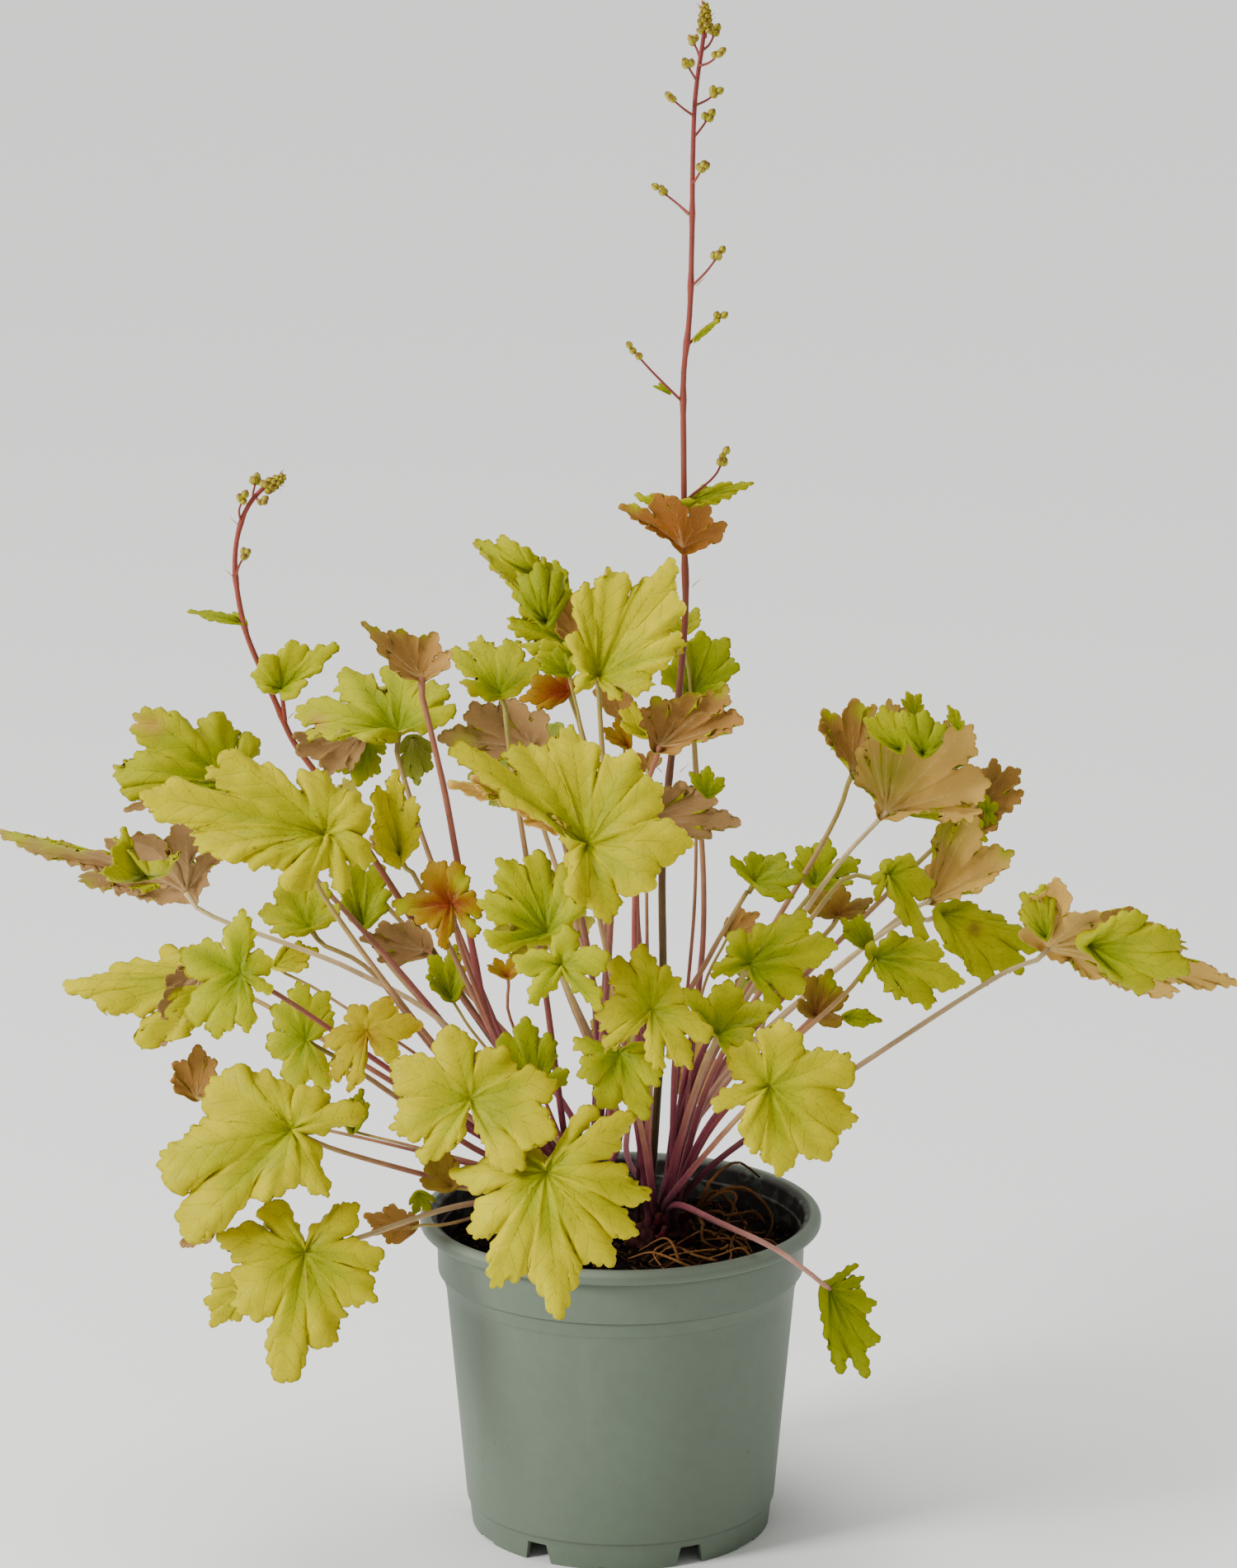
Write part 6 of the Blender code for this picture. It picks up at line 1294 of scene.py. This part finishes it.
buds = {
    "length": 3.7, "radius": 1.6, "sides": 10,
    "profile": [(0.0, 0.28), (0.07, 0.64), (0.22, 0.94), (0.44, 1.06), (0.64, 0.98), (0.82, 0.70),
                (0.95, 0.32)],
    # shade, on the next line, is painted shade for the folded-in ribs
    "body": tone(178, 166, 22), "shade": tone(124, 112, 8), "tip": tone(96, 22, 16),
    # foot, on the next line, is painted shade where crowded buds meet
    "foot": tone(112, 52, 26), "stalk": tone(116, 42, 36),
}


def addBud(data, place, way, size, chance):
    # a small ribbed oval with a dark tip, painted shade in its grooves and painted shade at its foot
    way = unit(way)
    side = unit(np.cross(way, [0.3, 0.9, 0.1]))
    up = np.cross(way, side)
    count = buds["sides"]
    points, tints = [], []
    for height, reach in buds["profile"]:
        for number in range(count):
            turn = 2 * math.pi * number / count
            fold = 1.0 - (0.14 if number % 2 else 0.0) * smoothStep(np.array(height), 0.45, 1.0)
            out = side * math.cos(turn) + up * math.sin(turn)
            spread = out * (reach * fold * buds["radius"])
            points.append(place + (way * height * buds["length"] + spread) * size * mm)
            level = float(smoothStep(np.array(height + chance.uniform(-0.06, 0.06)), 0.62, 0.92))
            # the folded-in ribs get the darker tone, a painted shade in their grooves
            tints.append(blend(buds["shade"] if number % 2 else buds["body"], buds["tip"], level * 0.75))
    points += [place, place + way * buds["length"] * size * mm * 1.03]
    # the foot point is painted dark, a painted shade where the buds meet
    tints += [buds["foot"], buds["tip"]]
    addPart(data, points, ringFaces(len(buds["profile"]), count), np.array(tints), 1)


def addBract(data, place, way, out, length, width, first, last):
    # a small pointed scale: a folded strip with thickness
    way, out = unit(way), unit(out)
    side = np.cross(way, out)
    shares = np.linspace(0.0, 1.0, 7)
    points, tints = [], []
    for face in (0.5, -0.5):
        for share in shares:
            spread = width * (math.sin(math.pi * min(1.0, share * 0.9 + 0.12)) ** 0.8) * (1 - share**4)
            middle = place + (way * share * length + out * (share**2 * length * 0.35 + face * 0.25)) * mm
            across, lift = side * spread * 0.5 * mm, out * spread * 0.12 * mm
            points += [middle - across + lift, middle, middle + across + lift]
            tints += [blend(first, last, share)] * 3
    rows = len(shares)
    faces = []
    for row in range(rows - 1):
        for step in range(2):
            a = row * 3 + step
            b = a + rows * 3
            faces += [(a, a + 3, a + 4, a + 1), (b, b + 1, b + 4, b + 3)]
        for edge in (0, 2):
            a = row * 3 + edge
            quad = (a, a + rows * 3, a + 3 + rows * 3, a + 3)
            faces.append(quad if edge == 0 else quad[::-1])
    addPart(data, points, faces, np.array(tints))


stemTones = {
    "tall": [(0.0, tone(62, 30, 20)), (0.2, tone(98, 80, 32)), (0.45, tone(92, 46, 26)),
             (0.6, tone(124, 58, 34)), (0.8, tone(136, 58, 46)), (1.0, tone(122, 42, 38))],
    "left": [(0.0, tone(66, 30, 24)), (0.3, tone(104, 72, 32)), (0.6, tone(132, 66, 42)),
             (0.85, tone(144, 64, 48)), (1.0, tone(130, 48, 42))],
    "bract": (tone(140, 140, 56), tone(160, 84, 66)),
}


def addSprig(data, stations, number, shade, chance):
    # a thin side branch with its bract, and three or four buds at its end on short twigs
    places = [np.array(onSight(*place)) for place in stations]
    branch = smoothRoute(places, 12)
    tints = rampTints([(0, shade), (1, buds["stalk"])], np.linspace(0, 1, 12))
    addTube(data, branch, np.linspace(0.62, 0.42, 12), 7, tints, seed=number)
    away = unit(places[1] - places[0]) + np.array([0, 0, 0.25])
    addBract(data, branch[0], away, np.array([0, -0.2, -1.0]), 4.6, 1.5, *stemTones["bract"])
    way = unit(branch[-1] - branch[-3])
    for step in range(chance.choice((3, 4, 4))):
        turn = step * 2.4 + number
        lean = np.array([math.cos(turn) * 0.9, math.sin(turn) * 0.9, 0.35])
        heading = unit(way + lean * (0.75 if step else 0.1))
        base = branch[-1 - min(step, 2)]
        twig = base + heading * chance.uniform(0.5, 1.2) * mm
        addTube(data, np.array([base, (base + twig) / 2, twig]), 0.3, 5, buds["stalk"])
        addBud(data, twig, heading, chance.uniform(0.82, 1.08), chance)


def addBudHead(data, stem, shade, chance):
    # the spike of close buds, set round it by the golden turn
    foot, tip = (np.array(onSight(*place)) for place in stem["head"])
    length = np.linalg.norm(tip - foot)
    axis = (tip - foot) / length
    beside = unit(np.cross(axis, [0.0, 1.0, 0.0]))
    behind = np.cross(axis, beside)
    addTube(data, smoothRoute([foot - axis * 2 * mm, (foot + tip) / 2, tip - axis * 1.5 * mm], 8),
            np.linspace(0.9, 0.5, 8), 7, shade)
    for number in range(stem["headBuds"]):
        share = (number + 0.5) / stem["headBuds"]
        turn = number * goldenTurn
        out = beside * math.cos(turn) + behind * math.sin(turn)
        reach = stem["headRadius"] * (math.sin(math.pi * (0.12 + 0.80 * share)) ** 0.6) * 0.62
        base = foot + axis * (share * length * 0.93) + out * reach * 0.35 * mm
        heading = out * (1.05 - share * 0.55) + axis * (0.45 + share * 0.9)
        size = (1.0 - 0.5 * share) * chance.uniform(0.82, 1.0) * stem["headRadius"] / 4.2
        addBud(data, base, heading, size, chance)
        if number % 3 == 0:
            addBract(data, base, heading, out, 3.6, 1.3, buds["tip"], stemTones["bract"][1])


def makeFlowerStem(pieceName, node, stem, toneName, seed):
    data = newData()
    chance = random.Random(seed)
    tones = stemTones[toneName]
    route = smoothRoute([onSight(*place) for place in stem["route"]], 90)
    shares = np.linspace(0.0, 1.0, 90)
    radii = stem["radii"][0] + (stem["radii"][1] - stem["radii"][0]) * shares
    for spot in stem["nodes"]:
        radii = radii + 0.35 * np.exp(-((route[:, 2] - onSight(*spot).z) / (2.2 * mm)) ** 2)
    addTube(data, route, radii, 12, rampTints(tones, shares), wobble=0.03, seed=seed)
    addHairs(data, route, radii, stem["hairs"], 0.9, seed)
    for right, down, toward, turn in stem["bracts"]:
        out = np.array([math.cos(math.radians(turn)), -0.3, 0.1])
        place = np.array(onSight(right, down, toward)) + out * 1.1 * mm
        addBract(data, place, np.array([0, 0, 1.0]) + out * 0.7, out, 4.2, 2.2, *stemTones["bract"])
    for number, stations in enumerate(stem["branches"]):
        addSprig(data, stations, number, tones[-2][1], chance)
    addBudHead(data, stem, tones[-1][1], chance)
    for leafName, start in stem["leafStalks"]:
        joint = lobePlaces(stemLeafRows[leafName])[0]
        foot = onSight(*start)
        middle = np.array((foot + joint) / 2) + np.array([0, 0, 0.6]) * mm
        places = [np.array(foot), middle, np.array(joint)]
        addTube(data, smoothRoute(places, 8), np.linspace(1.0, 0.9, 8), 8, tones[3][1])
    makePiece(pieceName, data, [finishes["flowerStem"], finishes["bud"]], [node])


pot = {
    "height": 137.5, "lipRadius": 85.0, "lipBottom": 131.6, "collarRadius": 77.7, "collarBottom": 112.6,
    "shoulderRadius": 74.1, "shoulderHeight": 106.3, "wallFoot": 65.6, "footRadius": 63.5, "wall": 1.5,
    "floorUnder": 9.0, "floorTop": 11.0, "feet": 6, "firstGap": -33.0, "gapWidth": 13.0, "gapSlope": 2.0,
    "notchWidth": 14.0, "notchHeight": 1.1, "cutDepth": 14, "drainRadius": 5.0, "drainCircle": 46.0,
    "steps": 160, "roughness": 0.52,
    # the edge tone on the next line is a painted highlight for the top of the lip
    "colour": tone(91, 104, 87), "worn": tone(106, 117, 100), "edge": tone(126, 137, 122),
    # the dark tones on the next line are dust, painted shade with stuck peat for the inner wall, and
    # painted shade for the lines under the steps
    "dust": tone(70, 58, 44), "wallPeatAndShade": tone(20, 12, 8), "creaseShade": tone(38, 42, 34),
}
# painted shade lines, in the pot's crease tone, under the lip, at the collar, shoulder and foot: height and
# reach in metres, then strength
potShadeLines = [(0.1314, 0.0044, 0.62), (0.1124, 0.0012, 0.5), (0.1060, 0.0014, 0.16),
              (0.0118, 0.0012, 0.35)]


def roundedProfile(corners):
    # (radius, height, rounding) corners, each rounded with a small arc
    points = []
    for number, (x, y, rounding) in enumerate(corners):
        if rounding == 0:
            points.append((x, y))
            continue
        here = np.array([x, y])
        before, after = (np.array(corners[number + step][:2]) for step in (-1, 1))
        enter, leave = here + unit(before - here) * rounding, here + unit(after - here) * rounding
        for t in (0.0, 0.33, 0.67, 1.0):
            points.append(tuple((1 - t) ** 2 * enter + 2 * t * (1 - t) * here + t**2 * leave))
    return points


def revolved(name, profile, steps):
    shape = bmesh.new()
    corners = [shape.verts.new((x * mm, 0.0, y * mm)) for x, y in profile]
    edges = [shape.edges.new(pair) for pair in zip(corners, corners[1:])]
    bmesh.ops.spin(shape, geom=corners + edges, cent=(0, 0, 0), axis=(0, 0, 1), angle=2 * math.pi,
                   steps=steps)
    bmesh.ops.remove_doubles(shape, verts=shape.verts, dist=0.00001)
    bmesh.ops.recalc_face_normals(shape, faces=shape.faces)
    mesh = bpy.data.meshes.new(name)
    shape.to_mesh(mesh)
    shape.free()
    return mesh


def potProfile():
    top, bottom, under = pot["height"], pot["lipBottom"], pot["floorUnder"]
    lip, collar, shoulder = pot["lipRadius"], pot["collarRadius"], pot["shoulderRadius"]
    wallFoot, foot = pot["wallFoot"], pot["footRadius"]
    inner, innerShoulder, innerFoot = collar - pot["wall"], shoulder - pot["wall"], wallFoot - pot["wall"]
    return roundedProfile([
        (0, pot["floorTop"], 0), (innerFoot - 3, pot["floorTop"], 1.2),
        (innerFoot, pot["floorTop"] + 4, 1.2), (innerShoulder, pot["shoulderHeight"], 0.5),
        (inner - 0.6, pot["collarBottom"], 0.5), (inner - 0.1, 128.6, 0.25), (inner + 0.7, 129.2, 0.25),
        (inner + 1.5, top - 2.2, 0.5), (inner + 2.2, top - 1.5, 0.3), (inner + 3.4, top - 1.2, 0.3),
        (inner + 4.2, top, 0.5), (lip - 1.6, top, 1.2), (lip, top - 1.9, 1.2),
        (lip - 0.2, bottom + 1.0, 0.6), (lip - 1.3, bottom, 0.5), (collar + 0.2, bottom + 0.1, 0.7),
        (collar - 0.3, pot["collarBottom"] + 0.3, 0.3),
        (collar - 1.6, pot["collarBottom"] - 0.2, 0.25), (shoulder + 0.25, pot["shoulderHeight"], 0.6),
        (shoulder - 0.2, 104.5, 0.3), (wallFoot + 0.15, 12.4, 0.2), (wallFoot - 0.35, 11.7, 0.2),
        (wallFoot - 0.5, 11.0, 0.2), (foot + 1.0, under, 0.5), (foot, 0, 0.5), (foot - 2.0, 0, 0.5),
        (foot - 1.4, under, 0.3), (0, under, 0)])


def potCutter(kind, number):
    # a tapered block for a gap between feet or a small notch in a foot, or a round plug for a drain hole
    turn = math.radians(pot["firstGap"] + number * 360.0 / pot["feet"])
    if kind == "notch":
        turn += math.pi / pot["feet"]
    facing = Vector((math.sin(turn), -math.cos(turn), 0.0))
    shape = bmesh.new()
    if kind == "drain":
        radius = pot["drainRadius"] * mm
        bmesh.ops.create_cone(shape, cap_ends=True, segments=32, radius1=radius, radius2=radius,
                              depth=8 * mm)
        place = facing * (pot["drainCircle"] * mm) + Vector((0, 0, 10 * mm))
    else:
        width, high, slope = pot["gapWidth"], pot["floorUnder"] - 0.5, pot["gapSlope"]
        if kind == "notch":
            width, high, slope = pot["notchWidth"], pot["notchHeight"], 1.0
        bmesh.ops.create_cube(shape, size=1.0)
        for corner in shape.verts:
            upper = corner.co.z > 0
            spread = width - (slope * 2 if upper else 0)
            deep = corner.co.y * pot["cutDepth"]
            corner.co = Vector((corner.co.x * spread, deep, high if upper else -1.0)) * mm
        place = facing * (pot["footRadius"] * mm)
    mesh = bpy.data.meshes.new(kind)
    shape.to_mesh(mesh)
    shape.free()
    cutter = bpy.data.objects.new(f"{kind}{number}", mesh)
    cutter.location = place
    cutter.rotation_euler = (0, 0, turn)
    return cutter


def markInside(mesh):
    # a tint of 1 on the inner wall, where the finish paints shade and stuck peat
    inner, top = pot["collarRadius"] - pot["wall"], pot["height"]
    between = [(11.0, pot["wallFoot"] - 0.8), (pot["shoulderHeight"], pot["shoulderRadius"] - 0.8),
               (pot["collarBottom"] - 0.6, inner - 0.3), (pot["collarBottom"] + 1.0, inner + 0.5),
               (129.0, inner + 0.9), (132.0, inner + 1.4), (133.0, inner + 3.0), (top - 1.2, inner + 4.4),
               (top, inner + 4.5)]
    heights, middles = zip(*between)
    inside = mesh.color_attributes.new("tint", "FLOAT_COLOR", "POINT")
    for number, corner in enumerate(mesh.vertices):
        x, y, z = corner.co / mm
        deep = float(z > 10.5 and math.hypot(x, y) < np.interp(z, heights, middles))
        inside.data[number].color = (deep, deep, deep, 1.0)


def makePot():
    shell = bpy.data.objects.new("potShell", revolved("potShell", potProfile(), pot["steps"]))
    bpy.context.scene.collection.objects.link(shell)
    cutters = bpy.data.collections.new("potGaps")
    bpy.context.scene.collection.children.link(cutters)
    for number in range(pot["feet"]):
        for kind in ("gap", "notch", "drain"):
            cutters.objects.link(potCutter(kind, number))
    difference = shell.modifiers.new("gaps", "BOOLEAN")
    difference.operand_type = "COLLECTION"
    difference.collection = cutters
    bpy.context.view_layer.update()
    made = bpy.data.meshes.new_from_object(shell.evaluated_get(bpy.context.evaluated_depsgraph_get()))
    shell.modifiers.clear()
    shell.data = made
    for cutter in list(cutters.objects):
        bpy.data.objects.remove(cutter, do_unlink=True)
    bpy.data.collections.remove(cutters)
    made.materials.clear()
    made.materials.append(finishes["pot"])
    markInside(made)
    made.polygons.foreach_set("use_smooth", [True] * len(made.polygons))
    made.set_sharp_from_angle(angle=math.radians(32))
    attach(shell, "root")
    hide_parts("pot")


def makePotFinish():
    # heights are in metres from the pot's foot
    material, tree, shader, place, tint = startMaterial(
        "potPlastic", pot["roughness"], {"Specular IOR Level": 0.4})
    cloud = placeGroup(tree, groups["mottle"], place, size=14.0, low=0.95, high=1.04)
    fine = placeGroup(tree, groups["mottle"], place, size=160.0, low=0.97, high=1.03)
    grain = placeGroup(tree, groups["grain"], place, size=2200.0, speckSize=190.0, speckShare=0.05)
    colour = mixTint(tree, 1.0, (*pot["colour"], 1.0), cloud.outputs["Shade"], "MULTIPLY")
    colour = mixTint(tree, 1.0, colour, fine.outputs["Shade"], "MULTIPLY")
    spread = tree.nodes.new("ShaderNodeMapping")
    spread.inputs["Scale"].default_value = (1.0, 1.0, 0.12)
    tree.links.new(place, spread.inputs["Vector"])
    streaks = placeGroup(tree, groups["mottle"], spread.outputs[0], size=120.0, low=0.0, high=1.0)
    worn = easeStep(tree, streaks.outputs["Value"], 0.58, 0.76, 0.0, 0.14)
    colour = mixTint(tree, worn, colour, (*pot["worn"], 1.0))
    height = tree.nodes.new("ShaderNodeSeparateXYZ")
    tree.links.new(place, height.inputs[0])
    nearTop = easeStep(tree, height.outputs[2], 0.128, 0.1375, 0.0, 0.16)
    dust = mathStep(tree, "MULTIPLY", nearTop, cloud.outputs["Value"])
    colour = mixTint(tree, dust, colour, (*pot["dust"], 1.0))
    # painted highlight: a lighter band on the top of the lip
    edge = easeStep(tree, height.outputs[2], 0.1345, 0.1364, 0.0, 0.5)
    colour = mixTint(tree, edge, colour, (*pot["edge"], 1.0))
    specks = mathStep(tree, "MULTIPLY", grain.outputs["Specks"], 0.35)
    colour = mixTint(tree, specks, colour, (*pot["dust"], 1.0))
    # painted shade: a dark band just below each line's height, where the steps throw shade
    for level, reach, strength in potShadeLines:
        low = easeStep(tree, height.outputs[2], level - reach, level, 0.0, strength)
        high = easeStep(tree, height.outputs[2], level, level + 0.0004, 1.0, 0.0)
        colour = mixTint(tree, mathStep(tree, "MULTIPLY", low, high), colour, (*pot["creaseShade"], 1.0))
    # painted shade and stuck peat on the inside of the wall, in patches, weaker at the top of the lip
    patchy = easeStep(tree, fine.outputs["Value"], 0.36, 0.5, 0.6, 1.0)
    below = easeStep(tree, height.outputs[2], 0.1358, 0.1372, 1.0, 0.35)
    inside = easeStep(tree, tint, 0.3, 0.7)
    wallPeatAndShadeMask = mathStep(tree, "MULTIPLY", mathStep(tree, "MULTIPLY", inside, below), patchy)
    colour = mixTint(tree, wallPeatAndShadeMask, colour, (*pot["wallPeatAndShade"], 1.0))
    tree.links.new(colour, shader.inputs["Base Color"])
    rough = easeStep(tree, cloud.outputs["Value"], 0.3, 0.7, 0.46, 0.60)
    tree.links.new(rough, shader.inputs["Roughness"])
    addBump(tree, shader, grain.outputs["Height"], 0.18, 0.0004)
    return material


peat = {
    "top": 122.0, "mound": 3.0, "radius": 75.5, "rings": 62, "steps": 180, "foot": 14.5,
    "wall": [(75.5, 113.4), (72.2, 106.0), (63.2, 14.5)], "lumps": [(13.0, 2.4), (5.0, 1.5), (1.9, 0.7)],
    "crumbs": 620, "crumbSize": (0.5, 1.7), "threads": 150, "threadLength": (5, 16),
    "dark": tone(7, 4, 3), "light": tone(22, 13, 9), "thread": tone(66, 40, 20),
}


def peatHeight(x, y):
    away = math.hypot(x, y) / peat["radius"]
    lumps = 0.0
    for (size, height), shift in zip(peat["lumps"], ((0, 0, 0), (7, 0, 0), (0, 9, 0))):
        lumps += noise.noise(Vector((x, y, 0.0)) / size + Vector(shift)) * height
    return peat["top"] + peat["mound"] * (1 - away**2) + lumps * (1 - 0.3 * away) - 1.4 * away**6


def addPeatBody(data):
    points, tints = [], []
    steps, radius, foot = peat["steps"], peat["radius"], peat["foot"]
    turns = [2 * math.pi * step / steps for step in range(steps)]
    for ring in range(1, peat["rings"] + 1):
        reach = radius * (ring / peat["rings"])
        for turn in turns:
            x, y = reach * math.cos(turn), reach * math.sin(turn)
            points.append((x * mm, y * mm, peatHeight(x, y) * mm))
            level = 0.5 + 0.9 * noise.noise(Vector((x, y, 3.0)) / 2.6)
            tints.append(blend(peat["dark"], peat["light"], min(1.0, max(0.0, level)) ** 2))
    for reach, height in peat["wall"]:
        points += [(reach * math.cos(turn) * mm, reach * math.sin(turn) * mm, height * mm)
                   for turn in turns]
        tints += [peat["dark"]] * steps
    points += [(0, 0, peatHeight(0, 0) * mm), (0, 0, foot * mm)]
    tints += [peat["dark"], peat["dark"]]
    # the first ring is the inner one, so the faces turn the other way
    faces = [(face[0], *face[:0:-1]) for face in ringFaces(peat["rings"] + len(peat["wall"]), steps)]
    addPart(data, points, faces, np.array(tints))


def addThread(data, number, chance):
    # a short fibre on the peat
    turn = chance.uniform(0, 2 * math.pi)
    reach = math.sqrt(chance.uniform(0, 1)) * (peat["radius"] - 8)
    heading, length = chance.uniform(0, 2 * math.pi), chance.uniform(*peat["threadLength"])
    places = []
    for share in (-0.5, -0.15, 0.2, 0.5):
        bend = heading + chance.uniform(-0.5, 0.5)
        x = reach * math.cos(turn) + math.cos(bend) * length * share
        y = reach * math.sin(turn) + math.sin(bend) * length * share
        scale = min(1.0, (peat["radius"] - 1.5) / max(1e-6, math.hypot(x, y)))
        x, y = x * scale, y * scale
        places.append(np.array([x, y, peatHeight(x, y) + 0.3 + chance.uniform(0, 1.6)]) * mm)
    shade = peat["thread"] * chance.uniform(0.35, 1.1)
    addTube(data, smoothRoute(places, 9), np.linspace(0.38, 0.16, 9), 5, shade, wobble=0.1,
            seed=number)


def makePeat():
    data = newData()
    addPeatBody(data)
    chance = np.random.default_rng(21)
    for _ in range(peat["crumbs"]):
        turn = chance.uniform(0, 2 * math.pi)
        reach = math.sqrt(chance.uniform(0, 1)) * (peat["radius"] - 3)
        x, y = reach * math.cos(turn), reach * math.sin(turn)
        size = chance.uniform(*peat["crumbSize"])
        middle = np.array([x, y, peatHeight(x, y) + size * 0.3]) * mm
        lump, lumpFaces = lumpPoints(middle, size * chance.uniform(0.6, 1.4, 3), chance, 1, 0.35)
        addPart(data, lump, lumpFaces, blend(peat["dark"], peat["thread"], chance.uniform(0, 1) ** 3))
    for number in range(peat["threads"]):
        addThread(data, number, chance)
    makePiece("peatTop", data, [finishes["peat"]], ["soil"])


roots = {
    "radius": 1.0, "tipRadius": 0.45, "points": 26, "dark": tone(52, 30, 15), "light": tone(128, 86, 48),
    "fine": 22, "fineLength": (16, 40), "fineReach": 68, "fineLimit": 72.0,
}
rootRows = [
    [(842, 1474, 4), (880, 1442, 2), (912, 1446, 4), (936, 1474, 8), (932, 1500, 16)],
    [(842, 1474, 4), (872, 1448, 10), (892, 1450, 12), (884, 1478, 18), (868, 1500, 24)],
    [(842, 1474, 4), (866, 1470, 14), (886, 1474, 22), (914, 1470, 22), (928, 1484, 24)],
    [(842, 1474, 4), (864, 1430, -10), (894, 1410, -18), (922, 1428, -14)],
    [(842, 1474, 4), (852, 1484, 20), (852, 1504, 34), (872, 1516, 38)],
    [(842, 1474, 4), (862, 1446, 0), (884, 1456, 4), (906, 1490, 14)],
]


def addFineRoot(data, number, chance):
    x, y = chance.uniform(18, 58), chance.uniform(-52, 14)
    if math.hypot(x, y) > roots["fineReach"]:
        return
    heading, length = chance.uniform(0, 2 * math.pi), chance.uniform(*roots["fineLength"])
    places = []
    for share in (0, 0.33, 0.66, 1.0):
        heading += chance.uniform(-0.5, 0.5)
        px, py = x + math.cos(heading) * length * share, y + math.sin(heading) * length * share
        scale = min(1.0, roots["fineLimit"] / max(1e-6, math.hypot(px, py)))
        px, py = px * scale, py * scale
        lift = math.sin(math.pi * share) * chance.uniform(1.0, 7.0)
        places.append(np.array([px, py, peatHeight(px, py) + 0.4 + lift]) * mm)
    shade = blend(roots["dark"], roots["light"], chance.uniform(0, 1))
    addTube(data, smoothRoute(places, 14), np.linspace(0.72, 0.3, 14), 6, shade, wobble=0.14,
            seed=number + 60)


def makeRoots():
    data = newData()
    chance = np.random.default_rng(8)
    count = roots["points"]
    for number, places in enumerate(rootRows):
        route = smoothRoute([onSight(*place) for place in places], count)
        shake = chance.uniform(-0.25, 0.25, (count, 3)) * mm
        shake[0] = 0
        middle = blend(roots["dark"], roots["light"], chance.uniform(0.2, 1.0))
        tints = rampTints([(0, roots["dark"]), (0.4, middle), (1, roots["dark"])], np.linspace(0, 1, count))
        addTube(data, route + shake, np.linspace(roots["radius"], roots["tipRadius"], count), 7, tints,
                wobble=0.16, seed=number)
    for number in range(roots["fine"]):
        addFineRoot(data, number, chance)
    makePiece("dryRoots", data, [finishes["root"]], ["dry_roots"])


studio = {
    "floorTone": tone(250, 250, 248), "floorReach": 40, "world": tone(255, 255, 255), "worldStrength": 0.5,
    "aim": Vector((0, 0, 0.3)),
    # name, kind, place, size or angle, power
    "lights": [("keyLight", "AREA", (-2.1, -1.2, 1.4), 0.7, 78.0),
               ("topLight", "SUN", (-0.3, 0.1, 2.3), 0.6, 2.3)],
}


def makeStudio():
    floorMesh = bpy.data.meshes.new("studioFloor")
    far = studio["floorReach"]
    corners = [(-far, -far, 0), (far, -far, 0), (far, far, 0), (-far, far, 0)]
    floorMesh.from_pydata(corners, [], [(0, 1, 2, 3)])
    floor = bpy.data.objects.new("studioFloor", floorMesh)
    bpy.context.scene.collection.objects.link(floor)
    floorFinish = bpy.data.materials.new("floorPaper")
    floorFinish.use_nodes = True
    shader = floorFinish.node_tree.nodes["Principled BSDF"]
    shader.inputs["Base Color"].default_value = (*studio["floorTone"], 1.0)
    shader.inputs["Roughness"].default_value = 0.85
    floorMesh.materials.append(floorFinish)
    world = bpy.data.worlds.new("studioWorld")
    world.use_nodes = True
    background = world.node_tree.nodes["Background"]
    background.inputs["Color"].default_value = (*studio["world"], 1.0)
    background.inputs["Strength"].default_value = studio["worldStrength"]
    bpy.context.scene.world = world
    for name, kind, place, size, power in studio["lights"]:
        lamp = bpy.data.lights.new(name, kind)
        if kind == "SUN":
            lamp.angle = size
        else:
            lamp.size = size
        lamp.energy = power
        light = bpy.data.objects.new(name, lamp)
        light.location = place
        light.rotation_euler = (Vector(place) - studio["aim"]).to_track_quat("Z", "Y").to_euler()
        bpy.context.scene.collection.objects.link(light)


setCamera()
makeStudio()
print("camera, floor and lights are set")

groups = {"veins": makeVeinGroup(), "mottle": makeMottleGroup(), "grain": makeGrainGroup()}
finishes = {name: makeLeafFinish(name, finish) for name, finish in leafFinishes.items()}
finishes.update({name: makeSkinFinish(name + "Skin", finish) for name, finish in skinFinishes.items()})
finishes["pot"] = makePotFinish()
print("finishes are mixed:", ", ".join(sorted(finishes)))

makePot()
makePeat()
makeRoots()
print("pot, peat and dry roots are made")

makeCrown()
makeStalks()
for name, leaf in youngRows.items():
    makeLeaf(name, name, leaf, ["crown_and_stalks"])
print("crown, stalks and young leaves are made")

makeFlowerStem("tallFlowerStem", "tall_stem", tallStem, "tall", 3)
makeFlowerStem("leftFlowerStem", "left_stem", leftStem, "left", 5)
makeLeaf("leftBract", "leftStemBract", leftStem["bract"], ["left_stem"])
print("flower stems and buds are made")

for name, leaf in {**leafRows, **stemLeafRows}.items():
    makeLeaf(name, name + "Blade", {"curl": leafShape[leaf["shows"] + "Curl"], **leaf}, [name])
for name, leaf in bitRows.items():
    makeLeaf(name, name, {"curl": leafShape["bitCurl"], **leaf}, [leaf["node"]])
print("leaves are made:", len(leafRows) + len(stemLeafRows), "with", len(bitRows), "folds and small lobes")
